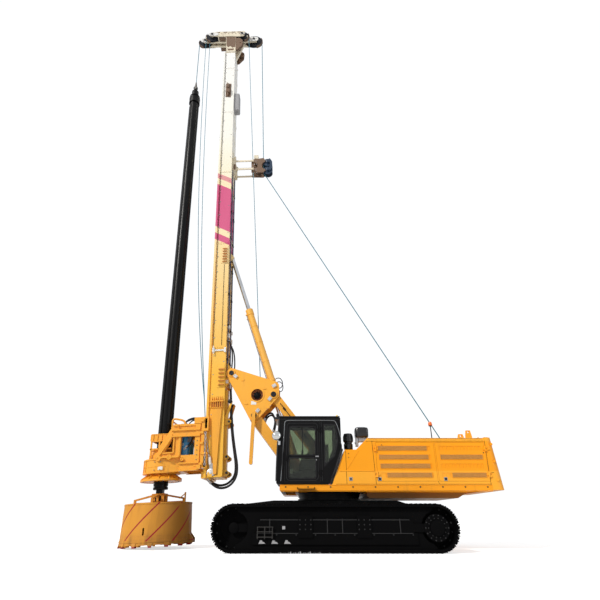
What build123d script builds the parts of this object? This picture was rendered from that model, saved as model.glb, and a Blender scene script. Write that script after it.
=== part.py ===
from build123d import *
from math import atan2, cos, degrees, hypot, pi, radians, sin, tan
import os

# Rotary piling rig on crawler tracks. Millimetres, +Z up, ground at Z 0.
# The mast stands at the front, which is -X; -Y is the left side, with the cab.
# Everything is drawn from the slewing axis and then moved by slew_axis_x, so
# that the origin lies at the middle of the footprint.
slew_axis_x = 693
pin_fit = 0.5
seat_gap = 0.3
running_gap = 6

# Crawler tracks
track_length = 5900
track_height = 1060
shoe_width = 800
shoe_count = 56
shoe_plate = 30
grouser = 45
shoe_groove = 15
track_y = 1750
chain_width = 220
chain_depth = 55
axle_z = track_height / 2
axle_x = (track_length - track_height) / 2
belt_radius = track_height / 2 - grouser
wheel_radius = belt_radius - shoe_plate - chain_depth - seat_gap

# Track frames and the beams on which they slide in
frame_half_width = 320
frame_bottom = 360
frame_top = 740
skirt_thickness = 30
roller_count = 9
roller_pitch = 460
roller_radius = 110
carrier_radius = 80
carrier_x = 1250
hub_radius = 240
beam_x = 700
beam_width = 280
beam_height = 400
beam_inner_end = 665
beam_cap_margin = 75
track_slide = 640
tube_wall = 16
tube_half_length = 780

# Car body and slewing ring
body_half_length = 900
body_half_width = 640
body_bottom = 360
body_top = 1170
column_radius = 700
cover_x = (-2250, -1550, 1810, 2070)
cover_end_z = (1030, 1094)
tow_eye_z = 560
tow_eye_reach = 75
tow_eye_half_height = 45
ring_radius = 850
ring_bore = 620
ring_bottom = 1180
ring_split = 1262
deck_bottom = 1375

# Upper frame
deck_top = 1510
deck_half_width = 1500
deck_front = -1350
deck_rear = 4150
deck_plate = 30
side_beam = 100
belly_half_width = 1000
belly_front = 960
belly_rear = 3680
belly_bottom = 1215

# Engine house, its doors and the counterweight
sheet = 30
hood_foot_x = 0
hood_step_x = 370
hood_step_z = 2380
hood_slope_foot_x = 670
hood_slope_top_x = 1010
hood_top = 2700
hood_edge_radius = 130
door_bottom = 1600
door_top = 2560
door_gap = 6
front_door_x = (1200, 2755)
rear_door_x = (2795, 4110)
louvre_depth = 12
counterweight_rear = 4500
counterweight_bottom = 1390
counterweight_slope = 130
engine_x = (1350, 2800)
engine_half_width = 450
engine_top = 2300
winch_x = 3560
winch_z = 2110
winch_radius = 240
winch_flange_radius = 330
winch_half_width = 330
rope_slot_x = (2460, 4070)
rope_slot_half_width = 190
hinge_pin_radius = 10
hinge_radius = 19
hinge_offset = 24
hinge_half_length = 70
hinge_leaf = 60
door_hinge_z = (1760, 2400)

# Cab
cab_front = -1450
cab_roof_front = -1400
cab_rear = 280
cab_foot_rear = -70
cab_bend_z = 2390
cab_floor = 1525
cab_roof = 3240
cab_y = (-1500, -500)
cab_wall = 50
cab_door_x = (-1235, -300)
cab_door_z = (1570, 3130)
window_upper_z = (2240, 2980)
window_lower_z = (1660, 2170)
window_margin = 110
glass = 12
cab_hinge_z = (1800, 2900)
mirror_place = (-1465, -1590, 2725)
mirror_radius = 120

# Parallelogram linkage, side view (x, z) of its pins
mast_pivot = (-2988, 4825)
link_upper_pin = (-1647, 4151)
link_lower_pin = (-2220, 3513)
tilt_cylinder_pin = (-1644, 4403)
boom_foot = (-900, 1850)
boom_cylinder_foot = (-740, 1700)
support_foot = (
    boom_foot[0] + link_upper_pin[0] - link_lower_pin[0],
    boom_foot[1] + link_upper_pin[1] - link_lower_pin[1],
)
link_plate_y = (335, 395)
arm_plate_y = (260, 325)
foot_plate_y = (335, 395)
boom_end_radius = 155
support_end_radius = 135
boom_pin_radius = 60
boom_pin_inner_end = 190
link_hole = (-2151, 4135)
link_hole_radius = 191
link_tube_wall = 25
link_corner_radius = 165
strut_width = 100
strut_length = 1400

# Cylinders: radii of barrels and rods
boom_barrel_radius = 110
boom_rod_radius = 70
boom_barrel_length = 1560
boom_rod_length = 1700
boom_eye_drift = 46
tilt_cylinder_y = 180
tilt_barrel_radius = 112
tilt_rod_radius = 65
tilt_barrel_length = 2870
tilt_rod_length = 3750
tilt_eye_drift = 14

# Mast, drawn upright and then leaned forward about the mast pivot
mast_lean = 2.67
mast_half_width = 475
mast_rear_offset = 183
mast_depth = 429
mast_groove = 40
mast_rail_depth = 68
mast_rail_inner = 385
mast_web_outer = 430
mast_recess_half_width = 180
mast_recess_depth = 130
mast_wall = 16
mast_bottom = 1780
mast_top = 20550
mast_taper_top = 4080
mast_taper_depth = 142
tilt_lug_z = 9200
tilt_lug_offset = 90
tilt_lug_radius = 76
tilt_pin_radius = 28
lug_thickness = 35
mast_rear = mast_pivot[0] - mast_rear_offset
mast_front = mast_rear - mast_depth
rail_rear = mast_front - mast_groove
rail_front = rail_rear - mast_rail_depth
recess_front = mast_front + mast_recess_depth
rear_strip = 70

# Cathead: sheaves as (x, z, radius, y)
kelly_x = mast_pivot[0] - 2030
cathead_y = 150
cathead_rise = 1600
cathead_depth = 350
cathead_arch = 230
cathead_top = mast_top + cathead_rise
cathead_bottom = cathead_top - cathead_depth
cathead_tube_z = cathead_bottom + cathead_depth / 2
aux_y = -330
main_front_radius = 300
main_rear_radius = 400
main_rear_rope_x = -1923
aux_radius = 310
aux_front_rope_x = -4630
aux_rear_rope_x = -2553
sheave_z = cathead_top - 200
sheave_width = 90

# Rope guide on the back of the mast
guide_z = 13650
guide_half_height = 330
guide_arm_length = 760
guide_wheel_radius = 175
guide_wheel_z = 215

# Crowd cylinder and carriage
crowd_travel = 5000
crowd_x = (recess_front + rail_front) / 2
crowd_barrel_radius = 88
crowd_rod_radius = 50
crowd_barrel_bottom = 8700
crowd_barrel_top = 13900
carriage_bottom = 2050
carriage_top = 3470
carriage_half_width = 560
crowd_seat_z = carriage_top - 250
carriage_plate = 85
carriage_front = rail_front - running_gap - carriage_plate
arm_y = (420, 500)
side_foot_z = 2080
side_head = (-4640, 3290)
side_nose = (-5010, 2700)
motor_window_x = (-4390, -4000)
motor_window_z = (2420, 3080)
front_window = [(-4620, 2520), (-4620, 2960), (-4860, 2520)]
head_beam = ((-4640, -4560), (3000, 3290))
rear_beam = ((-4300, -4250), (3180, 3290))
gear_case_z = (1960, 2360)
gear_case_radius = 515
gear_case_rear = -4310
gear_collar = 120
motor_radius = 150
motor_x = -4330
motor_y = 240
motor_z = (2360, 3080)

# Kelly bar, casing-drive flange and drilling bucket
kelly_radius = 190
kelly_key = 20
kelly_key_width = 60
drive_bore = hypot(kelly_radius + kelly_key, kelly_key_width / 2) + seat_gap
kelly_bore = 155
kelly_top = 18060
kelly_bottom = 1960
kelly_head_radius = 232
kelly_head_height = 420
inner_bar_radius = 140
inner_bar_bore = 95
inner_travel = 10000
kelly_drop = 14900
kelly_rise = 300
swivel_radius = 150
spring_radius = 205
spring_z = (1560, kelly_bottom - seat_gap)
stub_width = 190
flange_bottom = 1775
flange_top = 1950
flange_radius = 575
flange_neck_radius = 350
bucket_top_radius = 915
bucket_bottom_radius = 955
bucket_top = 1200
bucket_base = 250
bucket_wall = 30
bucket_slot_half_width = 24
bucket_slot_z = (430, 600)
bucket_slot_turn = 85
bail_top = 1450
bail_width = 330
gusset_height = 200
gusset_thickness = 60
gusset_count = 4
bucket_plate = 50
tooth_count = 14
tooth_tip = 162
tooth_width = 110
bucket_hinge_offset = 1000
bucket_hinge_radius = 38

# Two hoses that hang in a loop from the mast's rear to its foot, as (x, z) points
hose_radius = 32
gland_radius = 39
gland_length = 80
hose_near_y = -280
hose_near = [
    (-3010, 4480),
    (-2965, 4080),
    (-2905, 3500),
    (-2830, 2950),
    (-2720, 2430),
    (-2640, 2080),
    (-2650, 1790),
    (-2810, 1560),
    (-3060, 1480),
    (-3300, 1560),
    (-3445, 1722),
]
hose_far_y = -205
hose_far = [
    (-3020, 4480),
    (-2990, 4080),
    (-2940, 3500),
    (-2870, 2980),
    (-2770, 2470),
    (-2700, 2130),
    (-2700, 1850),
    (-2850, 1640),
    (-3075, 1560),
    (-3300, 1610),
    (-3440, 1712),
]


def block(x, y, z):
    """A box between two bounds on each axis."""
    size = [high - low for low, high in (x, y, z)]
    middle = [(high + low) / 2 for low, high in (x, y, z)]
    return Pos(*middle) * Box(*size)


def side_plate(points, y, radius=0):
    """A plate whose side view has these (x, z) corners, between two values of y."""
    face = make_face(Polyline(*points, close=True))
    if radius:
        face = fillet(face.vertices(), radius)
    return Pos(0, y[0], 0) * extrude(Plane.XZ * face, amount=y[0] - y[1])


def rounded_plate(points, radius, y):
    """A plate around these (x, z) pins, with this radius of metal round each."""
    face = offset(make_face(Polyline(*points, close=True)), amount=radius)
    return Pos(0, y[0], 0) * extrude(Plane.XZ * face, amount=y[0] - y[1])


def bar(start, end, radius, bore=0):
    """A round bar or tube between two points."""
    path = Vector(*end) - Vector(*start)
    section = Circle(radius)
    if bore:
        section -= Circle(bore)
    return extrude(Plane(origin=start, z_dir=path) * section, amount=path.length)


def cross_bar(pin, radius, y, bore=0):
    """A round bar or tube across the machine, through an (x, z) pin."""
    return bar((pin[0], y[0], pin[1]), (pin[0], y[1], pin[1]), radius, bore)


def upright_bar(x, y, radius, z, bore=0):
    """A round bar or tube that stands upright."""
    return bar((x, y, z[0]), (x, y, z[1]), radius, bore)


def link(start, end, radius, y):
    """A straight link between two (x, z) pins, round at both ends."""
    length = hypot(end[0] - start[0], end[1] - start[1])
    turn = degrees(atan2(end[1] - start[1], end[0] - start[0]))
    face = Pos((start[0] + end[0]) / 2, (start[1] + end[1]) / 2) * Rot(0, 0, turn)
    face = face * SlotCenterToCenter(length, 2 * radius)
    return Pos(0, y[0], 0) * extrude(Plane.XZ * face, amount=y[0] - y[1])


def along(start, end, distance, rise=0):
    """The (x, z) point at a distance from start towards end, raised to the link's left."""
    length = hypot(end[0] - start[0], end[1] - start[1])
    ux = (end[0] - start[0]) / length
    uz = (end[1] - start[1]) / length
    return (start[0] + ux * distance - uz * rise, start[1] + uz * distance + ux * rise)


def link_web(start, end, span, rise, y):
    """A straight box between two distances along a link and two heights across it."""
    corners = [
        along(start, end, span[0], rise[0]),
        along(start, end, span[1], rise[0]),
        along(start, end, span[1], rise[1]),
        along(start, end, span[0], rise[1]),
    ]
    return side_plate(corners, y)


def both_sides(shape):
    """A shape and its mirror image on the other side of the machine."""
    return shape + mirror(shape, about=Plane.XZ)


def pair(y):
    """The mirror image of a range of y."""
    return (-y[1], -y[0])


def lean(shape):
    """Turn what is drawn on the upright mast to the mast's resting lean."""
    pivot = Pos(mast_pivot[0], 0, mast_pivot[1])
    return pivot * Rot(0, -mast_lean, 0) * Pos(-mast_pivot[0], 0, -mast_pivot[1]) * shape


def belt_point(distance, height):
    """A point of the track's side view: distance along the belt, height above it."""
    straight = 2 * axle_x
    bend = pi * belt_radius
    radius = belt_radius + height
    if distance < straight:
        return (-axle_x + distance, axle_z - radius)
    distance -= straight
    if distance < bend:
        turn = distance / belt_radius
        return (axle_x + radius * sin(turn), axle_z - radius * cos(turn))
    distance -= bend
    if distance < straight:
        return (axle_x - distance, axle_z + radius)
    turn = (distance - straight) / belt_radius
    return (-axle_x - radius * sin(turn), axle_z + radius * cos(turn))


def track_loop(side):
    """The belt of shoes, with two grousers on each, over a narrower chain."""
    pitch = (4 * axle_x + 2 * pi * belt_radius) / shoe_count
    # Each shoe in its own pitch: (share of the pitch, height)
    shoe = [
        (0.02, -shoe_groove),
        (0.06, 0),
        (0.36, 0),
        (0.41, grouser),
        (0.49, grouser),
        (0.54, 0),
        (0.86, 0),
        (0.90, grouser),
        (0.97, grouser),
    ]
    corners = [
        belt_point((number + share) * pitch, height)
        for number in range(shoe_count)
        for share, height in shoe
    ]
    shoes = side_plate(corners, (-shoe_width / 2, shoe_width / 2))
    inside = belt_radius - shoe_plate
    shoes -= link((-axle_x, axle_z), (axle_x, axle_z), inside, (-shoe_width, shoe_width))
    chain_y = (-chain_width / 2, chain_width / 2)
    chain = link((-axle_x, axle_z), (axle_x, axle_z), inside + 1, chain_y)
    chain -= link((-axle_x, axle_z), (axle_x, axle_z), inside - chain_depth, (-shoe_width, shoe_width))
    return Pos(0, side * track_y, 0) * (shoes + chain)


def track_wheels(side):
    """Idler, sprocket, lower rollers and carrier rollers of one track."""
    half = chain_width / 2
    rim = 40
    wheels = []
    idler = cross_bar((-axle_x, axle_z), wheel_radius, (-half, half))
    for y in ((-half - 1, -half + rim), (half - rim, half + 1)):
        idler -= cross_bar((-axle_x, axle_z), wheel_radius - 70, y)
    idler += cross_bar((-axle_x, axle_z), 120, (-half - 10, half + 10))
    wheels.append(idler)
    sprocket = cross_bar((axle_x, axle_z), wheel_radius, (-half + rim, half - rim))
    sprocket += cross_bar((axle_x, axle_z), hub_radius, (-frame_half_width, frame_half_width + 10))
    sprocket += cross_bar((axle_x, axle_z), hub_radius - 70, (frame_half_width, frame_half_width + 55))
    wheels.append(sprocket)
    inner_bottom = axle_z - wheel_radius
    for number in range(roller_count):
        x = (number - (roller_count - 1) / 2) * roller_pitch
        pin = (x, inner_bottom + roller_radius)
        roller = cross_bar(pin, roller_radius, (-half, half))
        width = frame_half_width - skirt_thickness
        roller += cross_bar(pin, 45, (-width, width))
        wheels.append(roller)
    for x in (-carrier_x, carrier_x):
        pin = (x, axle_z + wheel_radius - carrier_radius)
        carrier = cross_bar(pin, carrier_radius, (-half, half))
        carrier += cross_bar(pin, 35, (-half - 10, half + 10))
        wheels.append(carrier)
    return Pos(0, side * track_y, 0) * Compound(wheels)


def track_frame(side):
    """Side frame of one track, with the two beams that slide in the car body."""
    inner = (-frame_half_width, frame_half_width)
    outline = [
        (-1870, frame_bottom + 60),
        (-1800, frame_bottom),
        (1800, frame_bottom),
        (1870, frame_bottom + 60),
        (1870, frame_top - 60),
        (1700, frame_top),
        (-1700, frame_top),
        (-1870, frame_top - 60),
    ]
    frame = side_plate(outline, inner)
    skirt_z = axle_z - wheel_radius + roller_radius - 60
    skirt = block((-1950, 1950), (frame_half_width - skirt_thickness, frame_half_width), (skirt_z, 420))
    frame += both_sides(skirt)
    yoke_y = (chain_width / 2 + 10, chain_width / 2 + 60)
    yoke = side_plate(
        [(-1860, 440), (-1860, 620), (-2300, 620), (-2520, 590), (-2520, 470), (-2300, 440)],
        yoke_y,
    )
    frame += both_sides(yoke)
    final_drive = block((1860, 2180), (-frame_half_width, -120), (440, 620))
    frame += final_drive + block((1860, 2180), (120, frame_half_width), (440, 620))
    half = chain_width / 2
    for x in (-carrier_x, carrier_x):
        top = axle_z + wheel_radius - carrier_radius + 35
        stand = block((x - 60, x + 60), (half + 10, half + 45), (frame_top - 1, top))
        frame += both_sides(stand)
    frame = Pos(0, track_y, 0) * frame
    bottom = body_bottom + 20 + tube_wall + seat_gap
    cap_y = (track_y + frame_half_width - 1, track_y + frame_half_width + 25)
    for x in (-beam_x, beam_x):
        sides = (x - beam_width / 2, x + beam_width / 2)
        frame += block(sides, (beam_inner_end, track_y), (bottom, bottom + beam_height))
        cap_x = (sides[0] - 30, sides[1] + 30)
        frame += block(cap_x, cap_y, (bottom - beam_cap_margin, bottom + beam_height))
    if side < 0:
        frame = mirror(frame, about=Plane.XZ)
    return frame


def car_body():
    """Centre box of the undercarriage with its long cover, the cross tubes for the track beams
    and a towing eye at each end."""
    outline = [
        (-body_half_length, body_bottom + 120),
        (-body_half_length + 120, body_bottom),
        (body_half_length - 120, body_bottom),
        (body_half_length, body_bottom + 120),
        (body_half_length, 900),
        (cover_x[3], cover_end_z[0]),
        (cover_x[3], cover_end_z[1]),
        (cover_x[2], body_top),
        (cover_x[1], body_top),
        (cover_x[0], cover_end_z[1]),
        (cover_x[0], cover_end_z[0]),
        (-body_half_length, 900),
    ]
    body = side_plate(outline, (-body_half_width, body_half_width))
    body += upright_bar(0, 0, column_radius, (body_top - 300, ring_bottom))
    bottom = body_bottom + 20
    outer_half = beam_width / 2 + 5 + tube_wall
    for x in (-beam_x, beam_x):
        top = bottom + beam_height + 2 * tube_wall + 6
        tube = block((x - outer_half, x + outer_half), (-tube_half_length, tube_half_length), (bottom, top))
        body += tube
    for x in (-beam_x, beam_x):
        hollow = (x - outer_half + tube_wall, x + outer_half - tube_wall)
        top = bottom + beam_height + tube_wall + 6
        body -= block(hollow, (-tube_half_length - 1, tube_half_length + 1), (bottom + tube_wall, top))
    eye_z = (tow_eye_z - tow_eye_half_height, tow_eye_z + tow_eye_half_height)
    for end in (-1, 1):
        x = end * (body_half_length + tow_eye_reach)
        body += upright_bar(x, 0, 110, eye_z)
        body -= upright_bar(x, 0, 42, (eye_z[0] - 1, eye_z[1] + 1))
    return body


def slew_ring():
    """Fixed lower half of the slewing ring."""
    ring = upright_bar(0, 0, ring_radius, (ring_bottom, ring_split - 2), ring_bore)
    return ring + upright_bar(0, 0, ring_radius + 40, (ring_bottom, ring_bottom + 35), ring_bore)


def slew_ring_upper():
    """Turning upper half of the slewing ring."""
    ring = upright_bar(0, 0, ring_radius + 25, (ring_split - 2 + seat_gap, deck_bottom), ring_bore)
    return ring


def deck_frame():
    """Upper frame: side beams, cross beams, deck plate, belly and the boom's foot plates."""
    sides = (-deck_half_width, deck_half_width)
    deck = block((deck_front, deck_rear), sides, (deck_top - deck_plate, deck_top))
    beam_z = (deck_bottom, deck_top - deck_plate + 1)
    deck += both_sides(block((deck_front, deck_rear), (deck_half_width - side_beam, deck_half_width), beam_z))
    deck += both_sides(block((deck_front + 100, deck_rear), (400, 460), beam_z))
    for x in (deck_front, -950, 900, 2200, 3500, deck_rear - side_beam):
        deck += block((x, x + side_beam), sides, beam_z)
    belly_profile = [
        (belly_front, deck_bottom + 1),
        (belly_front, belly_bottom + 60),
        (belly_front + 60, belly_bottom),
        (belly_rear - 300, belly_bottom),
        (belly_rear, deck_bottom + 1),
    ]
    belly = side_plate(belly_profile, (-belly_half_width, belly_half_width))
    belly -= block(
        (belly_front + 80, belly_rear - 400),
        (-belly_half_width + 40, belly_half_width - 40),
        (belly_bottom + 40, deck_bottom + 2),
    )
    deck += belly
    foot = [
        (boom_foot[0] - 210, deck_top - 1),
        (boom_foot[0] - 175, boom_foot[1] + 60),
        (boom_foot[0] - 60, boom_foot[1] + 175),
        (support_foot[0] - 150, support_foot[1] + 110),
        (support_foot[0] + 20, support_foot[1] + 160),
        (support_foot[0] + 150, support_foot[1] + 60),
        (support_foot[0] + 280, deck_top - 1),
    ]
    plate = side_plate(foot, foot_plate_y)
    plate -= cross_bar((-400, 1960), 130, (foot_plate_y[0] - 1, foot_plate_y[1] + 1))
    deck += both_sides(plate)
    pin_y = (-foot_plate_y[1] - 35, foot_plate_y[1] + 35)
    deck += cross_bar(support_foot, boom_pin_radius, pin_y)
    deck += both_sides(cross_bar(boom_foot, boom_pin_radius, (boom_pin_inner_end, pin_y[1])))
    cylinder_y = (-boom_barrel_radius - 60, boom_barrel_radius + 60)
    deck += cross_bar(boom_cylinder_foot, 45, cylinder_y)
    for y in ((cylinder_y[0], -boom_barrel_radius - 10), (boom_barrel_radius + 10, cylinder_y[1])):
        cheek = [
            (boom_cylinder_foot[0] - 130, deck_top - 1),
            (boom_cylinder_foot[0] - 70, boom_cylinder_foot[1] + 70),
            (boom_cylinder_foot[0] + 70, boom_cylinder_foot[1] + 70),
            (boom_cylinder_foot[0] + 130, deck_top - 1),
        ]
        deck += side_plate(cheek, y)
    return deck


def hood_outline(inset):
    """Side view of the engine house, drawn in by a wall."""
    lean_x = (hood_step_x - hood_foot_x) / (hood_step_z - deck_top)
    return [
        (hood_foot_x + inset, deck_top),
        (hood_step_x + inset * (1 - lean_x), hood_step_z - inset),
        (hood_slope_foot_x + inset * 0.5, hood_step_z - inset),
        (hood_slope_top_x + inset * 0.5, hood_top - inset),
        (deck_rear - inset, hood_top - inset),
        (deck_rear - inset, deck_top),
    ]


def hinge_knuckles(x, y, levels, away):
    """Fixed half of a door's hinges: pins, end knuckles and leaves on the wall at that side."""
    wall = y - hinge_offset * (1 if y > 0 else -1)
    fixed = []
    middle = hinge_half_length / 3
    for z in levels:
        half = upright_bar(x, y, hinge_pin_radius, (z - hinge_half_length, z + hinge_half_length))
        for low, high in ((-hinge_half_length, -middle), (middle, hinge_half_length)):
            half += upright_bar(x, y, hinge_radius, (z + low, z + high))
            leaf_x = sorted((x, x + away * hinge_leaf))
            half += block(leaf_x, sorted((y, wall)), (z + low, z + high))
        fixed.append(half)
    return fixed


def door_knuckles(x, y, levels, away):
    """Moving half of a door's hinges: the middle knuckles, bored for the pins."""
    wall = y - hinge_offset * (1 if y > 0 else -1)
    moving = []
    middle = hinge_half_length / 3 - seat_gap
    for z in levels:
        half = upright_bar(x, y, hinge_radius, (z - middle, z + middle))
        leaf_x = sorted((x, x + away * hinge_leaf))
        half += block(leaf_x, sorted((y, wall)), (z - middle, z + middle))
        half -= upright_bar(x, y, hinge_pin_radius + pin_fit, (z - 2 * middle, z + 2 * middle))
        moving.append(half)
    return moving


def door_hinge_x(x):
    """Where a door of the house hangs, and on which side of its hinge the door lies."""
    if x == front_door_x:
        return x[0] - door_gap / 2, 1
    return x[1] + door_gap / 2, -1


def hood_door_opening(x, side, margin):
    """The space in the side wall of the house for one door."""
    y = (deck_half_width - sheet - 1, deck_half_width + 1)
    if side < 0:
        y = pair(y)
    return block((x[0] - margin, x[1] + margin), y, (door_bottom - margin, door_top + margin))


def hood_shell():
    """Engine house: open below, with door openings in its sides and a slot for the rope."""
    house = side_plate(hood_outline(0), (-deck_half_width, deck_half_width))
    top_edges = [
        edge
        for edge in house.edges().filter_by(Axis.X)
        if edge.center().Z > hood_top - 1 and edge.length > 2000
    ]
    house = fillet(top_edges, hood_edge_radius)
    hollow = side_plate(hood_outline(sheet), (-deck_half_width + sheet, deck_half_width - sheet))
    house -= hollow
    for x in (front_door_x, rear_door_x):
        for side in (-1, 1):
            house -= hood_door_opening(x, side, door_gap)
    house -= block(rope_slot_x, (-rope_slot_half_width, rope_slot_half_width), (hood_top - sheet - 1, hood_top + 1))
    for x in (front_door_x, rear_door_x):
        hinge_x, door_side = door_hinge_x(x)
        for side in (-1, 1):
            hinge_y = side * (deck_half_width + hinge_offset)
            for half in hinge_knuckles(hinge_x, hinge_y, door_hinge_z, -door_side):
                house += half
    return house


def hood_door(x, side):
    """One door of the house, with four rows of louvres and a hinge pin at its outer end."""
    y = (deck_half_width - sheet, deck_half_width)
    door = block(x, y, (door_bottom, door_top))
    rows = 4
    margin = 90
    row_height = 110
    pitch = (door_top - door_bottom - 2 * margin - row_height) / (rows - 1)
    blades = 12
    blade_pitch = (x[1] - x[0] - 2 * margin) / blades
    for row in range(rows):
        low = door_bottom + margin + row * pitch
        for blade in range(blades):
            start = x[0] + margin + blade * blade_pitch
            door -= block(
                (start + 12, start + blade_pitch - 12),
                (deck_half_width - louvre_depth, deck_half_width + 1),
                (low, low + row_height),
            )
    hinge_x, door_side = door_hinge_x(x)
    for half in door_knuckles(hinge_x, deck_half_width + hinge_offset, door_hinge_z, door_side):
        door += half
    if side < 0:
        door = mirror(door, about=Plane.XZ)
    return door


def counterweight():
    """Cast block across the tail, rounded in plan."""
    outline = [
        (deck_rear + seat_gap, counterweight_bottom),
        (counterweight_rear, counterweight_bottom),
        (counterweight_rear - counterweight_slope, hood_top),
        (deck_rear + seat_gap, hood_top),
    ]
    block_shape = side_plate(outline, (-deck_half_width, deck_half_width))
    corners = [
        edge
        for edge in block_shape.edges()
        if edge.center().X > deck_rear + 100 and abs(abs(edge.center().Y) - deck_half_width) < 1
        and edge.length > 1000
    ]
    block_shape = fillet(corners, 200)
    for y in (-800, 800):
        eye = side_plate(
            [
                (deck_rear + 60, hood_top - 1),
                (deck_rear + 60, hood_top + 60),
                (deck_rear + 110, hood_top + 110),
                (deck_rear + 160, hood_top + 60),
                (deck_rear + 160, hood_top - 1),
            ],
            (y - 25, y + 25),
        )
        eye -= cross_bar((deck_rear + 110, hood_top + 55), 25, (y - 26, y + 26))
        block_shape += eye
    return block_shape


def engine_block():
    """Engine, as one plain block."""
    return block(engine_x, (-engine_half_width, engine_half_width), (deck_top, engine_top))


def winch():
    """Rope winch: drum, flanges and its two stands."""
    pin = (winch_x, winch_z)
    drum = cross_bar(pin, winch_radius, (-winch_half_width, winch_half_width))
    for y in ((-winch_half_width - 30, -winch_half_width), (winch_half_width, winch_half_width + 30)):
        drum += cross_bar(pin, winch_flange_radius, y)
        stand = [
            (winch_x - 330, deck_top),
            (winch_x - 120, winch_z + 120),
            (winch_x + 120, winch_z + 120),
            (winch_x + 330, deck_top),
        ]
        low = min(abs(y[0]), abs(y[1])) + 29
        stand_y = (low, low + 50) if y[0] > 0 else (-low - 50, -low)
        drum += side_plate(stand, stand_y)
    return drum


def fuel_tank():
    """Tank and steps at the right front of the deck."""
    tank = block((-1150, -60), (620, deck_half_width), (deck_top, 2290))
    tank = fillet(tank.edges().filter_by(Axis.Z), 60)
    for number in range(3):
        z = deck_top + 180 * number
        tank += block((-1330 + 60 * number, -1149), (900, 1400), (z, z + 30))
    return tank


def cab_outline(inset):
    """Side view of the cab, drawn in by a wall."""
    return [
        (cab_front + inset, cab_floor + inset),
        (cab_roof_front + inset, cab_roof - inset),
        (cab_rear - inset, cab_roof - inset),
        (cab_rear - inset, cab_bend_z + inset * 0.3),
        (cab_foot_rear - inset, cab_floor + inset),
    ]


def cab_windows(depth):
    """Window openings, as blocks that reach depth on each side of the walls."""
    outer = (cab_y[0] - depth, cab_y[0] + cab_wall + depth)
    inner = (cab_y[1] - cab_wall - depth, cab_y[1] + depth)
    side_window = [
        (cab_door_x[1] + 130, 1990),
        (cab_door_x[1] + 130, 3030),
        (cab_rear - 150, 3030),
        (cab_rear - 100, 2600),
        (cab_rear - 190, 2230),
    ]
    far_window = [(-1280, 1900), (-1280, 3060), (120, 3060), (120, 2500), (-150, 1900)]
    windows = side_plate(side_window, outer, 40)
    windows += side_plate(far_window, inner, 60)
    front = (cab_front - depth, cab_roof_front + cab_wall + depth)
    windows += block(front, (cab_y[0] + 90, cab_y[1] - 90), (1720, 3090))
    rear = (cab_rear - cab_wall - depth, cab_rear + depth)
    windows += block(rear, (cab_y[0] + 120, cab_y[1] - 120), (2560, 3060))
    return windows


def cab_shell():
    """Cab: hollow, with its windows cut and the doorway open in its left wall."""
    shell = side_plate(cab_outline(0), cab_y)
    shell = fillet(shell.edges().filter_by(Axis.Y), 45)
    shell -= side_plate(cab_outline(cab_wall), (cab_y[0] + cab_wall, cab_y[1] - cab_wall))
    shell -= cab_windows(5)
    doorway_x = (cab_door_x[0] - door_gap, cab_door_x[1] + door_gap)
    doorway_z = (cab_door_z[0] - door_gap, cab_door_z[1] + door_gap)
    shell -= block(doorway_x, (cab_y[0] - 1, cab_y[0] + cab_wall + 1), doorway_z)
    for y in (cab_y[0] + 150, cab_y[1] - 230):
        for x in (cab_front + 200, cab_foot_rear - 260):
            shell += block((x, x + 80), (y, y + 80), (deck_top, cab_floor + 1))
    for half in hinge_knuckles(cab_door_x[1] + door_gap / 2, cab_y[0] - hinge_offset, cab_hinge_z, 1):
        shell += half
    return shell


def cab_glass():
    """Panes in the cab's fixed windows."""
    middle = cab_y[0] + cab_wall / 2
    far = cab_y[1] - cab_wall / 2
    openings = cab_windows(0)
    panes = []
    near_pane = openings & block((-2000, 500), (middle - glass / 2, middle + glass / 2), (1000, 4000))
    far_pane = openings & block((-2000, 500), (far - glass / 2, far + glass / 2), (1000, 4000))
    panes.append(near_pane)
    panes.append(far_pane)
    front_x = cab_front + 30
    slope = (cab_roof_front - cab_front) / (cab_roof - cab_floor)
    front = side_plate(
        [
            (front_x + slope * (1720 - cab_floor), 1720),
            (front_x + slope * (3090 - cab_floor), 3090),
            (front_x + slope * (3090 - cab_floor) + glass, 3090),
            (front_x + slope * (1720 - cab_floor) + glass, 1720),
        ],
        (cab_y[0] + 90, cab_y[1] - 90),
    )
    panes.append(front)
    rear_x = cab_rear - cab_wall / 2
    panes.append(block((rear_x - glass, rear_x), (cab_y[0] + 120, cab_y[1] - 120), (2560, 3060)))
    return Compound(panes)


def cab_door_frame():
    """Cab door with an upper and a lower window, and its handle."""
    y = (cab_y[0], cab_y[0] + cab_wall)
    door = block(cab_door_x, y, cab_door_z)
    for z in (window_upper_z, window_lower_z):
        opening = (cab_door_x[0] + window_margin, cab_door_x[1] - window_margin)
        door -= block(opening, (y[0] - 1, y[1] + 1), z)
    door += block((cab_door_x[0] + 25, cab_door_x[0] + 75), (y[0] - 35, y[0] + 1), (2080, 2230))
    for half in door_knuckles(cab_door_x[1] + door_gap / 2, cab_y[0] - hinge_offset, cab_hinge_z, -1):
        door += half
    return door


def cab_door_glass():
    """The two panes of the cab door."""
    middle = cab_y[0] + cab_wall / 2
    x = (cab_door_x[0] + window_margin, cab_door_x[1] - window_margin)
    y = (middle - glass / 2, middle + glass / 2)
    return Compound([block(x, y, window_upper_z), block(x, y, window_lower_z)])


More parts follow.
